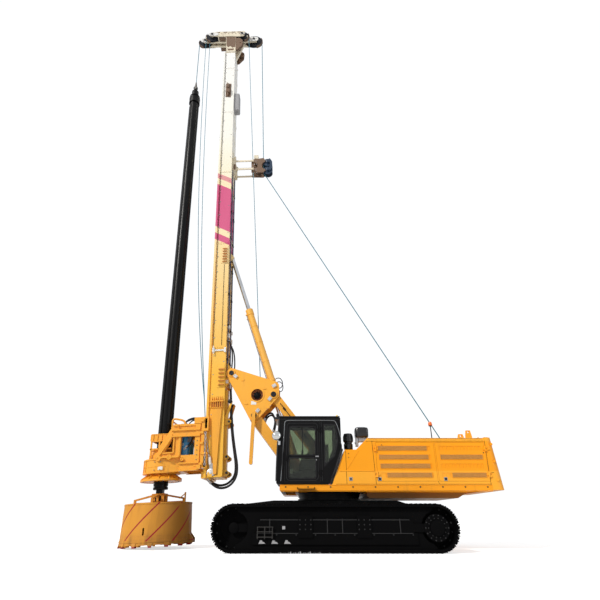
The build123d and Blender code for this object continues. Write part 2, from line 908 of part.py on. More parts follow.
def cab_seat():
    """Operator's seat on its base, with a console on each side."""
    centre = (cab_y[0] + cab_y[1]) / 2
    floor = cab_floor + cab_wall
    seat = block((-760, -330), (centre - 130, centre + 130), (floor, floor + 330))
    seat += block((-860, -270), (centre - 250, centre + 250), (floor + 329, floor + 450))
    back = [
        (-390, floor + 400),
        (-260, floor + 400),
        (-160, floor + 1120),
        (-250, floor + 1150),
    ]
    seat += side_plate(back, (centre - 230, centre + 230))
    for y in (centre - 330, centre + 251):
        seat += block((-820, -330), (y, y + 79), (floor + 360, floor + 560))
        seat += block((-500, -440), (y - 1 if y > centre else y, y + 80), (floor, floor + 361))
    return seat


def roof_fittings():
    """Air intake, exhaust, warning lamp and lifting lugs on top of the house."""
    pieces = []
    stack = upright_bar(520, -1000, 70, (hood_step_z, 2960))
    stack += upright_bar(520, -1000, 120, (2720, 2990))
    stack += upright_bar(520, -1000, 150, (2990, 3050))
    pieces.append(stack)
    exhaust = upright_bar(1500, 900, 80, (hood_top, 2980))
    exhaust += upright_bar(1500, 900, 110, (2760, 2920))
    pieces.append(exhaust)
    lamp = upright_bar(3160, -900, 14, (hood_top, 2950))
    lamp += upright_bar(3160, -900, 55, (2950, 3060))
    pieces.append(lamp)
    for x in (3750, 3980):
        lug = block((x - 70, x + 70), (-870, -830), (hood_top, hood_top + 150))
        lug -= cross_bar((x, hood_top + 95), 28, (-871, -829))
        pieces.append(lug)
    return Compound(pieces)


def mirror_head():
    """Round mirror on a short arm beside the cab's front post."""
    x, y, z = mirror_place
    head = Pos(x, y, z) * scale(Sphere(mirror_radius), by=(1, 0.5, 1))
    arm = bar((x, y, z - 70), (cab_front + 60, cab_y[0] - 18, z - 170), 16)
    foot = block((cab_front + 30, cab_front + 90), (cab_y[0] - 36, cab_y[0]), (z - 230, z - 130))
    return head + arm + foot


def boom():
    """Boom arm: forked foot, box body and the pin eyes at both ends."""
    plate = link(boom_foot, link_lower_pin, boom_end_radius, arm_plate_y)
    arm = both_sides(plate)
    web_y = (-arm_plate_y[0] - 1, arm_plate_y[0] + 1)
    arm += link_web(boom_foot, link_lower_pin, (760, 1900), (-boom_end_radius, boom_end_radius), web_y)
    arm -= link_web(boom_foot, link_lower_pin, (790, 1870), (-125, 125), (-arm_plate_y[0], arm_plate_y[0]))
    for pin in (boom_foot, link_lower_pin):
        boss = cross_bar(pin, 100, (arm_plate_y[0] - 60, arm_plate_y[0] + 1))
        arm += both_sides(boss)
        arm -= cross_bar(pin, boom_pin_radius + pin_fit, (-500, 500))
    return arm


def support_arm():
    """Upper arm of the parallelogram."""
    plate = link(support_foot, link_upper_pin, support_end_radius, arm_plate_y)
    arm = both_sides(plate)
    web_y = (-arm_plate_y[0] - 1, arm_plate_y[0] + 1)
    arm += link_web(support_foot, link_upper_pin, (320, 900), (-support_end_radius, -60), web_y)
    for pin in (support_foot, link_upper_pin):
        arm -= cross_bar(pin, boom_pin_radius + pin_fit, (-500, 500))
    return arm


def triangle():
    """Triangular link that carries the mast: two plates, a cross tube and the pins."""
    corners = [mast_pivot, tilt_cylinder_pin, link_upper_pin, link_lower_pin]
    plate = rounded_plate(corners, link_corner_radius, link_plate_y)
    plate -= cross_bar(link_hole, link_hole_radius, (link_plate_y[0] - 1, link_plate_y[1] + 1))
    frame = both_sides(plate)
    tube_y = (-link_plate_y[0] - 1, link_plate_y[0] + 1)
    frame += cross_bar(link_hole, link_hole_radius + link_tube_wall, tube_y, link_hole_radius)
    pin_y = (-link_plate_y[1] - 30, link_plate_y[1] + 30)
    frame += cross_bar(mast_pivot, boom_pin_radius, pin_y)
    frame += cross_bar(link_lower_pin, boom_pin_radius, pin_y)
    frame += cross_bar(tilt_cylinder_pin, 50, pin_y)
    split = arm_plate_y[0] - 20
    frame += cross_bar(link_upper_pin, boom_pin_radius, (pin_y[0], -split))
    frame += cross_bar(link_upper_pin, boom_pin_radius, (split, pin_y[1]))
    frame += cross_bar(link_upper_pin, 38, (-split - 1, split + 1))
    return frame


def prop_strut():
    """Prop that hangs from the lower pin of the triangle."""
    y = (-link_plate_y[1] - 30 - strut_width, -link_plate_y[1] - 30)
    foot = (link_lower_pin[0] - 20, link_lower_pin[1] - strut_length)
    middle = (y[0] + y[1]) / 2
    top = (link_lower_pin[0], link_lower_pin[1] + 60)
    half = strut_width / 2
    corners = [
        (top[0] - half, top[1]),
        (top[0] + half, top[1]),
        (foot[0] + half, foot[1] + 40),
        (foot[0] - half, foot[1] + 40),
    ]
    strut = side_plate(corners, y)
    return strut + bar((foot[0], y[0], foot[1] + 40), (foot[0], y[1], foot[1] + 40), half)


def cylinder_barrel(start, end, radius, bore, length, y, eye_radius, pin_radius):
    """Barrel of a cylinder with its foot eye, hollow from its mouth."""
    foot = along(start, end, eye_radius * 0.6)
    mouth = along(start, end, length)
    floor = along(start, end, 260)
    barrel = bar((foot[0], y, foot[1]), (mouth[0], y, mouth[1]), radius)
    collar = along(start, end, length - 110)
    barrel += bar((collar[0], y, collar[1]), (mouth[0], y, mouth[1]), radius + 12)
    past = along(start, end, length + 10)
    barrel -= bar((floor[0], y, floor[1]), (past[0], y, past[1]), bore)
    barrel += cross_bar(start, eye_radius, (y - radius * 0.75, y + radius * 0.75))
    barrel -= cross_bar(start, pin_radius + pin_fit, (y - 2 * radius, y + 2 * radius))
    return barrel


def cylinder_rod(start, end, radius, length, y, eye_radius, eye_bore, eye_half_width):
    """Rod of a cylinder with its eye, which is open round the pin by the linkage's drift."""
    reach = hypot(end[0] - start[0], end[1] - start[1])
    tail = along(start, end, reach - length)
    head = along(start, end, reach - eye_bore - 4)
    rod = bar((tail[0], y, tail[1]), (head[0], y, head[1]), radius)
    rod += cross_bar(end, eye_radius, (y - eye_half_width, y + eye_half_width))
    rod -= cross_bar(end, eye_bore, (y - eye_half_width - 99, y + eye_half_width + 99))
    return rod


def boom_barrel():
    """Barrel of the boom cylinder."""
    return cylinder_barrel(
        boom_cylinder_foot, link_upper_pin, boom_barrel_radius, boom_rod_radius + seat_gap,
        boom_barrel_length, 0, 100, 45,
    )


def boom_rod():
    """Rod of the boom cylinder."""
    return cylinder_rod(
        boom_cylinder_foot, link_upper_pin, boom_rod_radius, boom_rod_length, 0,
        38 + boom_eye_drift + 45, 38 + boom_eye_drift, 90,
    )


tilt_rod_pin = (mast_rear + tilt_lug_offset, tilt_lug_z)


def leaned_pin(pin):
    """Where a pin drawn on the upright mast lies once the mast leans."""
    turn = radians(mast_lean)
    dx = pin[0] - mast_pivot[0]
    dz = pin[1] - mast_pivot[1]
    return (
        mast_pivot[0] + dx * cos(turn) - dz * sin(turn),
        mast_pivot[1] + dx * sin(turn) + dz * cos(turn),
    )


def tilt_barrels():
    """Barrels of the two mast cylinders."""
    end = leaned_pin(tilt_rod_pin)
    return Compound([
        cylinder_barrel(
            tilt_cylinder_pin, end, tilt_barrel_radius, tilt_rod_radius + seat_gap,
            tilt_barrel_length, y, 105, 50,
        )
        for y in (-tilt_cylinder_y, tilt_cylinder_y)
    ])


def tilt_rods():
    """Rods of the two mast cylinders."""
    end = leaned_pin(tilt_rod_pin)
    return Compound([
        cylinder_rod(
            tilt_cylinder_pin, end, tilt_rod_radius, tilt_rod_length, y,
            tilt_lug_radius, tilt_pin_radius + tilt_eye_drift, tilt_rod_radius - 3,
        )
        for y in (-tilt_cylinder_y, tilt_cylinder_y)
    ])


def mast_section(inset, half_width):
    """Plan of the mast's hollow, one wall in from its outline."""
    return [
        (mast_rear - inset, -half_width + inset),
        (mast_rear - inset, half_width - inset),
        (mast_front + inset, half_width - inset),
        (mast_front + inset, mast_recess_half_width + inset),
        (recess_front + inset, mast_recess_half_width + inset),
        (recess_front + inset, -mast_recess_half_width - inset),
        (mast_front + inset, -mast_recess_half_width - inset),
        (mast_front + inset, -half_width + inset),
    ]


def upright_prism(points, z):
    """A prism whose plan has these (x, y) corners."""
    face = make_face(Polyline(*points, close=True))
    return Pos(0, 0, z[0]) * extrude(face, amount=z[1] - z[0])


def mast_box():
    """Mast: hollow box with a rail on each front edge, a recess between them and its lugs."""
    half = [
        (mast_rear, mast_half_width),
        (mast_front, mast_half_width),
        (mast_front, mast_web_outer),
        (rail_rear, mast_web_outer),
        (rail_rear, mast_half_width),
        (rail_front, mast_half_width),
        (rail_front, mast_rail_inner),
        (mast_front, mast_rail_inner),
        (mast_front, mast_recess_half_width),
        (recess_front, mast_recess_half_width),
    ]
    plan = half + [(x, -y) for x, y in reversed(half)]
    mast = upright_prism(plan, (mast_bottom, mast_top))
    lower = mast_section(mast_wall, mast_web_outer)
    upper = mast_section(mast_wall, mast_half_width)
    mast -= upright_prism(lower, (mast_bottom + mast_wall, mast_taper_top + 1))
    mast -= upright_prism(upper, (mast_taper_top + 60, mast_top - mast_wall))
    wedge = [
        (mast_front - 1, mast_taper_top),
        (mast_rear - mast_taper_depth, mast_bottom - 1),
        (mast_front - 1, mast_bottom - 1),
    ]
    mast -= both_sides(side_plate(wedge, (mast_web_outer, mast_half_width + 1)))
    mast += block((rail_front - 80, rail_front + 1), (-400, 400), (mast_bottom, mast_bottom + 170))
    pivot_lug = [
        (mast_rear - 1, mast_pivot[1] - 420),
        (mast_rear - 1, mast_pivot[1] + 420),
        (mast_pivot[0] + 20, mast_pivot[1] + 130),
        (mast_pivot[0] + 130, mast_pivot[1] + 20),
        (mast_pivot[0] + 130, mast_pivot[1] - 60),
        (mast_pivot[0] + 20, mast_pivot[1] - 130),
    ]
    lug = side_plate(pivot_lug, arm_plate_y)
    lug -= cross_bar(mast_pivot, boom_pin_radius + pin_fit, (0, 500))
    mast += both_sides(lug)
    gap = tilt_rod_radius + running_gap
    for inner in (tilt_cylinder_y - gap - lug_thickness, tilt_cylinder_y + gap):
        rod_lug = [
            (mast_rear - 1, tilt_lug_z - 200),
            (mast_rear - 1, tilt_lug_z + 200),
            (tilt_rod_pin[0] + 20, tilt_lug_z + 75),
            (tilt_rod_pin[0] + 75, tilt_lug_z),
            (tilt_rod_pin[0] + 20, tilt_lug_z - 75),
        ]
        mast += both_sides(side_plate(rod_lug, (inner, inner + lug_thickness)))
    pin_y = (tilt_cylinder_y - gap - lug_thickness, tilt_cylinder_y + gap + lug_thickness)
    mast += both_sides(cross_bar(tilt_rod_pin, tilt_pin_radius, pin_y))
    mast += block((mast_rear - 1, mast_rear + rear_strip), (-250, -60), (mast_bottom + 40, mast_pivot[1] - 500))
    mast = lean(mast)
    for points, y in ((hose_near, hose_near_y), (hose_far, hose_far_y)):
        for gland in hose_glands(points, y):
            mast += gland
    bracket_x = (mast_rear + 10, hose_near[0][0] + gland_radius - 5)
    bracket_z = (hose_near[0][1] + 20, hose_near[0][1] + 60)
    return mast + block(bracket_x, (hose_near_y - 25, hose_far_y + 25), bracket_z)


def cathead_beam(y, front_x, rear_x, rise):
    """One beam of the cathead, bowed upward in the middle by a rise."""
    outline = [
        (front_x, cathead_bottom + 60),
        (front_x, cathead_top - 60),
        (mast_front - 500, cathead_top + rise * 0.7),
        (mast_front, cathead_top + rise),
        (mast_rear, cathead_top + rise),
        (mast_rear + 450, cathead_top + rise * 0.5),
        (rear_x, cathead_top - 110),
        (rear_x, cathead_bottom + 10),
        (mast_rear + 150, cathead_bottom - 40),
        (mast_front - 250, cathead_bottom),
    ]
    return side_plate(outline, y)


def cathead():
    """Head of the mast: three long beams, their cross tubes and the neck on the mast."""
    front_main = kelly_x + main_front_radius
    rear_main = main_rear_rope_x - main_rear_radius
    main_ends = (front_main - 60, rear_main + 150)
    head = cathead_beam((cathead_y - 90, cathead_y), main_ends[0], main_ends[1], cathead_arch)
    head += cathead_beam((-cathead_y, -cathead_y + 90), main_ends[0], main_ends[1], cathead_arch)
    aux_front = aux_front_rope_x + aux_radius
    aux_rear = aux_rear_rope_x - aux_radius
    head += cathead_beam((aux_y - 110, aux_y - 70), aux_front - 100, aux_rear + 100, 0)
    neck = [
        (mast_rear, mast_top),
        (mast_rear, cathead_tube_z),
        (mast_front - 60, cathead_tube_z),
        (mast_front, mast_top),
    ]
    head += both_sides(side_plate(neck, (cathead_y, cathead_y + 50)))
    head += side_plate(neck, (aux_y - 70, aux_y - 20))
    head += side_plate(neck, (-aux_y + 20, -aux_y + 70))
    brace = [
        (mast_rear - 40, mast_top),
        (mast_rear - 40, mast_top + 500),
        (mast_rear + 330, cathead_bottom + 60),
        (mast_rear + 430, cathead_bottom + 60),
        (mast_rear, mast_top),
    ]
    head += side_plate(brace, (-60, 60))
    for x in (mast_front + 60, mast_rear - 160):
        head += cross_bar((x, cathead_tube_z), 70, (aux_y - 80, -aux_y + 60))
    for x, radius in ((front_main, main_front_radius), (rear_main, main_rear_radius)):
        head += cross_bar((x, sheave_z), 45, (-cathead_y, cathead_y))
    for x in (aux_front, aux_rear):
        head += cross_bar((x, sheave_z), 40, (aux_y - 90, -cathead_y + 1))
    return lean(head)


def sheave(centre, radius, y, bore):
    """Rope wheel with a groove round its rim; the bore is the radius of its pin."""
    half = sheave_width / 2
    wheel = cross_bar(centre, radius, (y - half, y + half))
    wheel -= cross_bar(centre, bore + pin_fit, (y - half - 1, y + half + 1))
    groove = Pos(centre[0], y, centre[1]) * Rot(90, 0, 0) * Torus(radius + 8, 24)
    return wheel - groove


def guide_wheels():
    """Centres of the rope guide's two wheels; the rope runs down their front side."""
    x = main_rear_rope_x + guide_wheel_radius
    return [(x, guide_z - guide_wheel_z), (x, guide_z + guide_wheel_z)]


def rope_wheels():
    """The four rope wheels of the cathead and the two of the rope guide."""
    front_main = kelly_x + main_front_radius
    rear_main = main_rear_rope_x - main_rear_radius
    aux_front = aux_front_rope_x + aux_radius
    aux_rear = aux_rear_rope_x - aux_radius
    aux_wheel_y = (aux_y - 70 - cathead_y) / 2
    wheels = [
        sheave((front_main, sheave_z), main_front_radius, 0, 45),
        sheave((rear_main, sheave_z), main_rear_radius, 0, 45),
        sheave((aux_front, sheave_z), aux_radius, aux_wheel_y, 40),
        sheave((aux_rear, sheave_z), aux_radius, aux_wheel_y, 40),
    ]
    for centre in guide_wheels():
        wheels.append(sheave(centre, guide_wheel_radius, 0, 35))
    return lean(Compound(wheels))


def rope_guide():
    """Bracket behind the mast: two pairs of links carry the frame of the guide wheels."""
    foot_x = mast_rear + 130
    frame_x = foot_x + guide_arm_length
    foot_z = (guide_z - guide_half_height, guide_z + guide_half_height)
    guide = block((mast_rear, foot_x), (-300, 300), foot_z)
    guide -= block((mast_rear + 50, foot_x + 1), (-260, 260), (foot_z[0] - 70, foot_z[1] + 70))
    for z in (guide_z - guide_wheel_z, guide_z + guide_wheel_z):
        arm = link((foot_x - 30, z), (frame_x - 60, z), 38, (200, 240))
        guide += both_sides(arm)
        guide += cross_bar((foot_x - 30, z), 25, (-280, 280))
        guide += cross_bar((frame_x - 60, z), 30, (-260, 260))
    wheels = guide_wheels()
    cheek = [
        (frame_x - 130, guide_z - guide_half_height),
        (wheels[0][0] - 60, wheels[0][1] - 110),
        (wheels[0][0] + 60, wheels[0][1] - 60),
        (wheels[1][0] + 60, wheels[1][1] + 100),
        (wheels[1][0] - 80, wheels[1][1] + 210),
        (frame_x - 130, guide_z + guide_half_height - 20),
    ]
    guide += both_sides(side_plate(cheek, (120, 160)))
    for centre in wheels:
        guide += cross_bar(centre, 35, (-175, 175))
    return lean(guide)


def crowd_barrel():
    """Barrel of the crowd cylinder, pinned in the recess between the rails."""
    bore_end = crowd_barrel_bottom + crowd_travel + 60
    barrel = upright_bar(crowd_x, 0, crowd_barrel_radius, (crowd_barrel_bottom, crowd_barrel_top))
    barrel -= upright_bar(crowd_x, 0, crowd_rod_radius + seat_gap, (crowd_barrel_bottom - 1, bore_end))
    for z in (crowd_barrel_bottom + 200, crowd_barrel_top - 200):
        barrel += block((crowd_x - 40, recess_front), (-130, 130), (z - 70, z + 70))
        barrel -= upright_bar(crowd_x, 0, crowd_rod_radius + seat_gap, (z - 80, min(z + 80, bore_end)))
    return lean(barrel)


def crowd_rod():
    """Rod of the crowd cylinder, fixed on the carriage."""
    return lean(upright_bar(crowd_x, 0, crowd_rod_radius, (crowd_seat_z, crowd_barrel_bottom + 60)))


def hook_block():
    """Hook block of the auxiliary rope, stowed at the foot of the mast."""
    x = mast_front + 105
    z = mast_bottom + 130
    y = (-mast_half_width - 20, -mast_web_outer)
    hook = cross_bar((x, z), 120, y)
    hook += block((x - 45, x + 45), y, (z, z + 250))
    return lean(hook)


def carriage_frame():
    """Carriage on the rails: back plate, cheeks, claws and the two side frames."""
    z = (carriage_bottom, carriage_top)
    front = (carriage_front, rail_front - running_gap)
    carriage = block(front, (-carriage_half_width, carriage_half_width), z)
    carriage -= block(
        (front[0] - 1, front[1] + 1),
        (-crowd_barrel_radius - 40, crowd_barrel_radius + 40),
        (crowd_seat_z, carriage_top + 1),
    )
    cheek_y = (mast_half_width + seat_gap, carriage_half_width)
    for low, high in ((z[0], z[0] + 420), (z[1] - 420, z[1])):
        cheek = block((front[1] - 1, rail_rear + 35), cheek_y, (low, high))
        claw = block((rail_rear + 5, rail_rear + 35), (mast_web_outer + 5, cheek_y[1]), (low, high))
        carriage += both_sides(cheek + claw)
    carriage += block(
        (front[0], crowd_x + crowd_rod_radius + 20),
        (-crowd_rod_radius - 30, crowd_rod_radius + 30),
        (crowd_seat_z - 170, crowd_seat_z),
    )
    side = [
        (front[0] + 1, side_foot_z),
        (front[0] + 1, side_head[1]),
        side_head,
        side_nose,
        (side_nose[0] - 70, gear_case_z[1]),
        (gear_case_rear + 10, gear_case_z[1]),
        (gear_case_rear + 60, side_foot_z),
    ]
    frame = side_plate(side, arm_y)
    frame -= block(motor_window_x, (0, 900), motor_window_z)
    frame -= side_plate(front_window, (0, 900))
    carriage += both_sides(frame)
    for x, z in (head_beam, rear_beam):
        carriage += block(x, (-arm_y[0] - 1, arm_y[0] + 1), z)
    return lean(carriage)


def gear_case():
    """Gear case of the rotary drive, bored for the drive sleeve."""
    case = upright_bar(kelly_x, 0, gear_case_radius, gear_case_z)
    case += upright_bar(kelly_x, 0, gear_case_radius - 110, (gear_case_z[1] - 1, gear_case_z[1] + gear_collar))
    rear = [
        (kelly_x, -gear_case_radius + 15),
        (kelly_x, gear_case_radius - 15),
        (gear_case_rear, 398),
        (gear_case_rear, -398),
    ]
    case += upright_prism(rear, (gear_case_z[0] + 30, gear_case_z[1]))
    bore = drive_bore + 70 + running_gap
    case -= upright_bar(kelly_x, 0, bore, (gear_case_z[0] - 1, gear_case_z[1] + 200))
    return lean(case)


def drive_motors():
    """Hydraulic motors that stand on the gear case."""
    motors = []
    for y in (-motor_y, motor_y):
        motor = upright_bar(motor_x, y, motor_radius, (motor_z[0], motor_z[0] + 420))
        motor += upright_bar(motor_x, y, motor_radius - 40, (motor_z[0] + 419, motor_z[1]))
        motors.append(motor)
    return lean(Compound(motors))


def drive_sleeve():
    """Drive sleeve round the kelly bar, with the casing-drive flange below it."""
    collar = gear_case_z[1] + gear_collar + seat_gap
    sleeve = upright_bar(kelly_x, 0, drive_bore + 70, (flange_top - 1, collar + 1))
    sleeve += Pos(kelly_x, 0, (flange_bottom + 40 + flange_top) / 2) * Cone(
        flange_radius, flange_neck_radius, flange_top - flange_bottom - 40
    )
    sleeve += upright_bar(kelly_x, 0, flange_radius, (flange_bottom, flange_bottom + 41))
    sleeve += upright_bar(kelly_x, 0, gear_case_radius - 150, (collar, collar + 60))
    sleeve -= upright_bar(kelly_x, 0, drive_bore, (flange_bottom - 1, gear_case_z[1] + 300))
    return lean(sleeve)


def kelly_swivel():
    """Rope swivel above the kelly bar."""
    low = kelly_top + seat_gap
    swivel = upright_bar(kelly_x, 0, swivel_radius, (low, low + 340))
    swivel += upright_bar(kelly_x, 0, 60, (low + 339, low + 560))
    eye = cross_bar((kelly_x, low + 600), 95, (-40, 40))
    eye -= cross_bar((kelly_x, low + 600), 45, (-41, 41))
    return lean(swivel + eye)


def kelly_outer():
    """Outer kelly tube with its six drive keys and its head."""
    tube = upright_bar(kelly_x, 0, kelly_radius, (kelly_bottom, kelly_top))
    keys = 6
    for number in range(keys):
        key = block(
            (kelly_radius - 20, kelly_radius + kelly_key),
            (-kelly_key_width / 2, kelly_key_width / 2),
            (kelly_bottom, kelly_top - kelly_head_height - 200),
        )
        tube += Pos(kelly_x, 0, 0) * Rot(0, 0, 360 / keys * number) * key
    tube += upright_bar(kelly_x, 0, kelly_head_radius, (kelly_top - kelly_head_height, kelly_top - 120))
    tube -= upright_bar(kelly_x, 0, kelly_bore, (kelly_bottom - 1, kelly_top - 60))
    return lean(tube)


def kelly_bar():
    """Inner kelly bar, its spring collar and the square stub that holds the tool."""
    inner = upright_bar(kelly_x, 0, inner_bar_radius, (spring_z[0], kelly_top - 200), inner_bar_bore)
    spring = upright_bar(kelly_x, 0, spring_radius, spring_z)
    rings = 5
    pitch = (spring_z[1] - spring_z[0]) / rings
    for number in range(1, rings):
        z = spring_z[0] + number * pitch
        spring -= upright_bar(kelly_x, 0, spring_radius + 1, (z - 12, z + 12), spring_radius - 22)
    stub = block(
        (kelly_x - stub_width / 2, kelly_x + stub_width / 2),
        (-stub_width / 2, stub_width / 2),
        (bail_top - 220, spring_z[0] + 1),
    )
    return lean(inner + spring + stub)


def bucket_shell():
    """Drilling bucket: hollow shell, top plate, square box and windowed gussets."""
    height = bucket_top - bucket_base
    centre = Pos(kelly_x, 0, bucket_base + height / 2)
    shell = centre * Cone(bucket_bottom_radius, bucket_top_radius, height)
    inner_height = height - 40
    taper = (bucket_bottom_radius - bucket_top_radius) / height
    inside = Pos(kelly_x, 0, bucket_base + inner_height / 2) * Cone(
        bucket_bottom_radius - bucket_wall,
        bucket_bottom_radius - bucket_wall - taper * inner_height,
        inner_height,
    )
    shell -= inside
    half = bail_width / 2
    box_shape = block((-half, half), (-half, half), (bucket_top - 1, bail_top))
    socket = stub_width / 2 + seat_gap
    box_shape -= block((-socket, socket), (-socket, socket), (bail_top - 221, bail_top + 1))
    gusset = [
        (half - 1, bucket_top - 1),
        (half - 1, bail_top - 20),
        (half + 60, bail_top - 20),
        (bucket_top_radius - 190, bucket_top + gusset_height * 0.62),
        (bucket_top_radius - 190, bucket_top - 1),
    ]
    window = [
        (half + 60, bucket_top + 45),
        (half + 60, bail_top - 70),
        (bucket_top_radius - 250, bucket_top + gusset_height * 0.45),
        (bucket_top_radius - 250, bucket_top + 45),
    ]
    arm = side_plate(gusset, (-gusset_thickness / 2, gusset_thickness / 2))
    arm -= side_plate(window, (-gusset_thickness, gusset_thickness))
    top = box_shape
    for number in range(gusset_count):
        top += Rot(0, 0, 360 / gusset_count * number) * arm
    shell += Pos(kelly_x, 0, 0) * top
    slot = block(
        (kelly_x - bucket_bottom_radius - 30, kelly_x - bucket_top_radius + bucket_wall + 40),
        (-bucket_slot_half_width, bucket_slot_half_width),
        bucket_slot_z,
    )
    shell -= Pos(kelly_x, 0, 0) * Rot(0, 0, bucket_slot_turn) * Pos(-kelly_x, 0, 0) * slot
    hinge = (kelly_x + bucket_hinge_offset, bucket_base - bucket_plate / 2 - seat_gap)
    ear = [
        (kelly_x + bucket_bottom_radius - 25, bucket_base + 10),
        (kelly_x + bucket_bottom_radius - 25, bucket_base + 190),
        (hinge[0] + 45, bucket_base + 40),
        (hinge[0] + 45, hinge[1] - 40),
        (hinge[0] - 20, hinge[1] - 40),
        (hinge[0] - 40, hinge[1] - 20),
        (hinge[0] - 40, bucket_base + 10),
    ]
    for y in ((-150, -105), (105, 150)):
        shell += side_plate(ear, y)
    shell += cross_bar(hinge, bucket_hinge_radius - 12, (-155, 155))
    return lean(shell)


def bucket_floor():
    """Hinged floor of the bucket, with the cutting teeth round its rim and across it."""
    top = bucket_base - seat_gap
    floor = upright_bar(0, 0, bucket_bottom_radius - 2, (top - bucket_plate, top))
    slot = 230
    for turn in (0, 180):
        opening = block((-bucket_bottom_radius + 240, -160), (60, 60 + slot), (0, bucket_base))
        floor -= Rot(0, 0, turn) * opening
    tooth = side_plate(
        [
            (-70, top - bucket_plate + 1),
            (40, top - bucket_plate + 1),
            (40, tooth_tip + 12),
            (20, tooth_tip),
        ],
        (-tooth_width / 2, tooth_width / 2),
    )
    for number in range(tooth_count):
        place = Rot(0, 0, 360 / tooth_count * (number + 0.5)) * Pos(0, -bucket_bottom_radius + 70, 0)
        floor += place * Rot(0, 0, 0) * tooth
    for radius in (180, 370, 560):
        for turn in (0, 180):
            floor += Rot(0, 0, turn) * Pos(-radius, 0, 0) * Rot(0, 0, 90) * tooth
    hinge = (bucket_hinge_offset, top - bucket_plate / 2)
    knuckle = cross_bar(hinge, bucket_hinge_radius, (-100, 100))
    knuckle += block((bucket_bottom_radius - 40, hinge[0]), (-100, 100), (hinge[1] - 20, hinge[1] + 20))
    knuckle -= cross_bar(hinge, bucket_hinge_radius - 12 + pin_fit, (-101, 101))
    return lean(Pos(kelly_x, 0, 0) * (floor + knuckle))


def hose_glands(points, y):
    """Glands that hold the two ends of a hose on the mast."""
    glands = []
    for end, before in ((points[0], points[1]), (points[-1], points[-2])):
        back = along(end, before, -gland_length)
        glands.append(bar((end[0], y, end[1]), (back[0], y, back[1]), gland_radius))
    return glands


def hose_loop(points, y):
    """Hose that hangs in a loop: straight runs joined by arcs as large as the runs allow."""
    corners = [Vector(x, y, z) for x, z in points]
    radii = []
    for before, corner, after in zip(corners, corners[1:], corners[2:]):
        run_in = corner - before
        run_out = after - corner
        turn = radians(run_in.get_angle(run_out))
        shorter = min(run_in.length, run_out.length)
        radii.append(0.45 * shorter / tan(turn / 2))
    path = FilletPolyline(*corners, radius=radii)
    return sweep(Plane(origin=path @ 0, z_dir=path % 0) * Circle(hose_radius), path=path)


pieces = {
    "car_body": car_body(),
    "slew_ring_lower": slew_ring(),
    "slew_ring_upper": slew_ring_upper(),
    "deck_frame": deck_frame(),
    "hood_shell": hood_shell(),
    "counterweight": counterweight(),
    "engine_block": engine_block(),
    "winch": winch(),
    "fuel_tank": fuel_tank(),
    "roof_fittings": roof_fittings(),
    "mirror": mirror_head(),
    "cab_shell": cab_shell(),
    "cab_glass": cab_glass(),
    "cab_seat": cab_seat(),
    "cab_door": cab_door_frame(),
    "cab_door_glass": cab_door_glass(),
    "boom": boom(),
    "support_arm": support_arm(),
    "triangle": triangle(),
    "prop_strut": prop_strut(),
    "boom_cylinder_barrel": boom_barrel(),
    "boom_cylinder_rod": boom_rod(),
    "mast": mast_box(),
    "cathead": cathead(),
    "rope_wheels": rope_wheels(),
    "rope_guide": rope_guide(),
    "crowd_barrel": crowd_barrel(),
    "hook_block": hook_block(),
    "hose_loop_near": hose_loop(hose_near, hose_near_y),
    "hose_loop_far": hose_loop(hose_far, hose_far_y),
    "mast_cylinder_barrels": tilt_barrels(),
    "mast_cylinder_rods": tilt_rods(),
    "carriage": carriage_frame(),
    "crowd_rod": crowd_rod(),
    "gear_case": gear_case(),
    "drive_motors": drive_motors(),
    "drive_sleeve": drive_sleeve(),
    "kelly_swivel": kelly_swivel(),
    "kelly_outer": kelly_outer(),
    "kelly_bar": kelly_bar(),
    "bucket_shell": bucket_shell(),
    "bucket_floor": bucket_floor(),
}
for name, side in (("left", -1), ("right", 1)):
    pieces[f"track_frame_{name}"] = track_frame(side)
    pieces[f"track_loop_{name}"] = track_loop(side)
    pieces[f"track_wheels_{name}"] = track_wheels(side)
    pieces[f"hood_door_front_{name}"] = hood_door(front_door_x, side)
    pieces[f"hood_door_rear_{name}"] = hood_door(rear_door_x, side)

os.makedirs("parts", exist_ok=True)
for name, shape in pieces.items():
    export_step(Pos(slew_axis_x, 0, 0) * shape, f"parts/{name}.step")
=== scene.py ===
"""Looks of a crawler rotary piling rig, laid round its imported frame.

Lengths are metres in the frame's axes: +Z up, -X the mast, -Y the cab's side. Pieces are drawn from the
slewing axis, as the frame's own parts are, and moved by SLEW_X when they are made.
"""

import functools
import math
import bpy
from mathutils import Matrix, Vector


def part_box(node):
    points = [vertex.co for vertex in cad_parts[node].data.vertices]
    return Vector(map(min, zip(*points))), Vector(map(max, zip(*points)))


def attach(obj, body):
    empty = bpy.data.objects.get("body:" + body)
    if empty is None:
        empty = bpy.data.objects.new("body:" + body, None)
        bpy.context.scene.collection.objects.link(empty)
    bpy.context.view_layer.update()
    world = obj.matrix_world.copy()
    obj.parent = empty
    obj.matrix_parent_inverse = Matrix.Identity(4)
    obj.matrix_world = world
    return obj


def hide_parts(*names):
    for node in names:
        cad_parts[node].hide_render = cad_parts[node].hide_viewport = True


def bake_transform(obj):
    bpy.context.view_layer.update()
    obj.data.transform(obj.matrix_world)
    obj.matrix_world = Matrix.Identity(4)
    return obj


bl_info = {
    "name": "Rotary Piling Rig",
    "version": (1, 0, 0),
    "blender": (4, 5, 0),
    "location": "View3D > Sidebar > Piling Rig",
    "description": "Finishes, ropes, hoses and fittings round the frame of a rotary piling rig",
    "category": "Add Mesh",
}

import bmesh
import bpy
import numpy as np
from mathutils import Vector

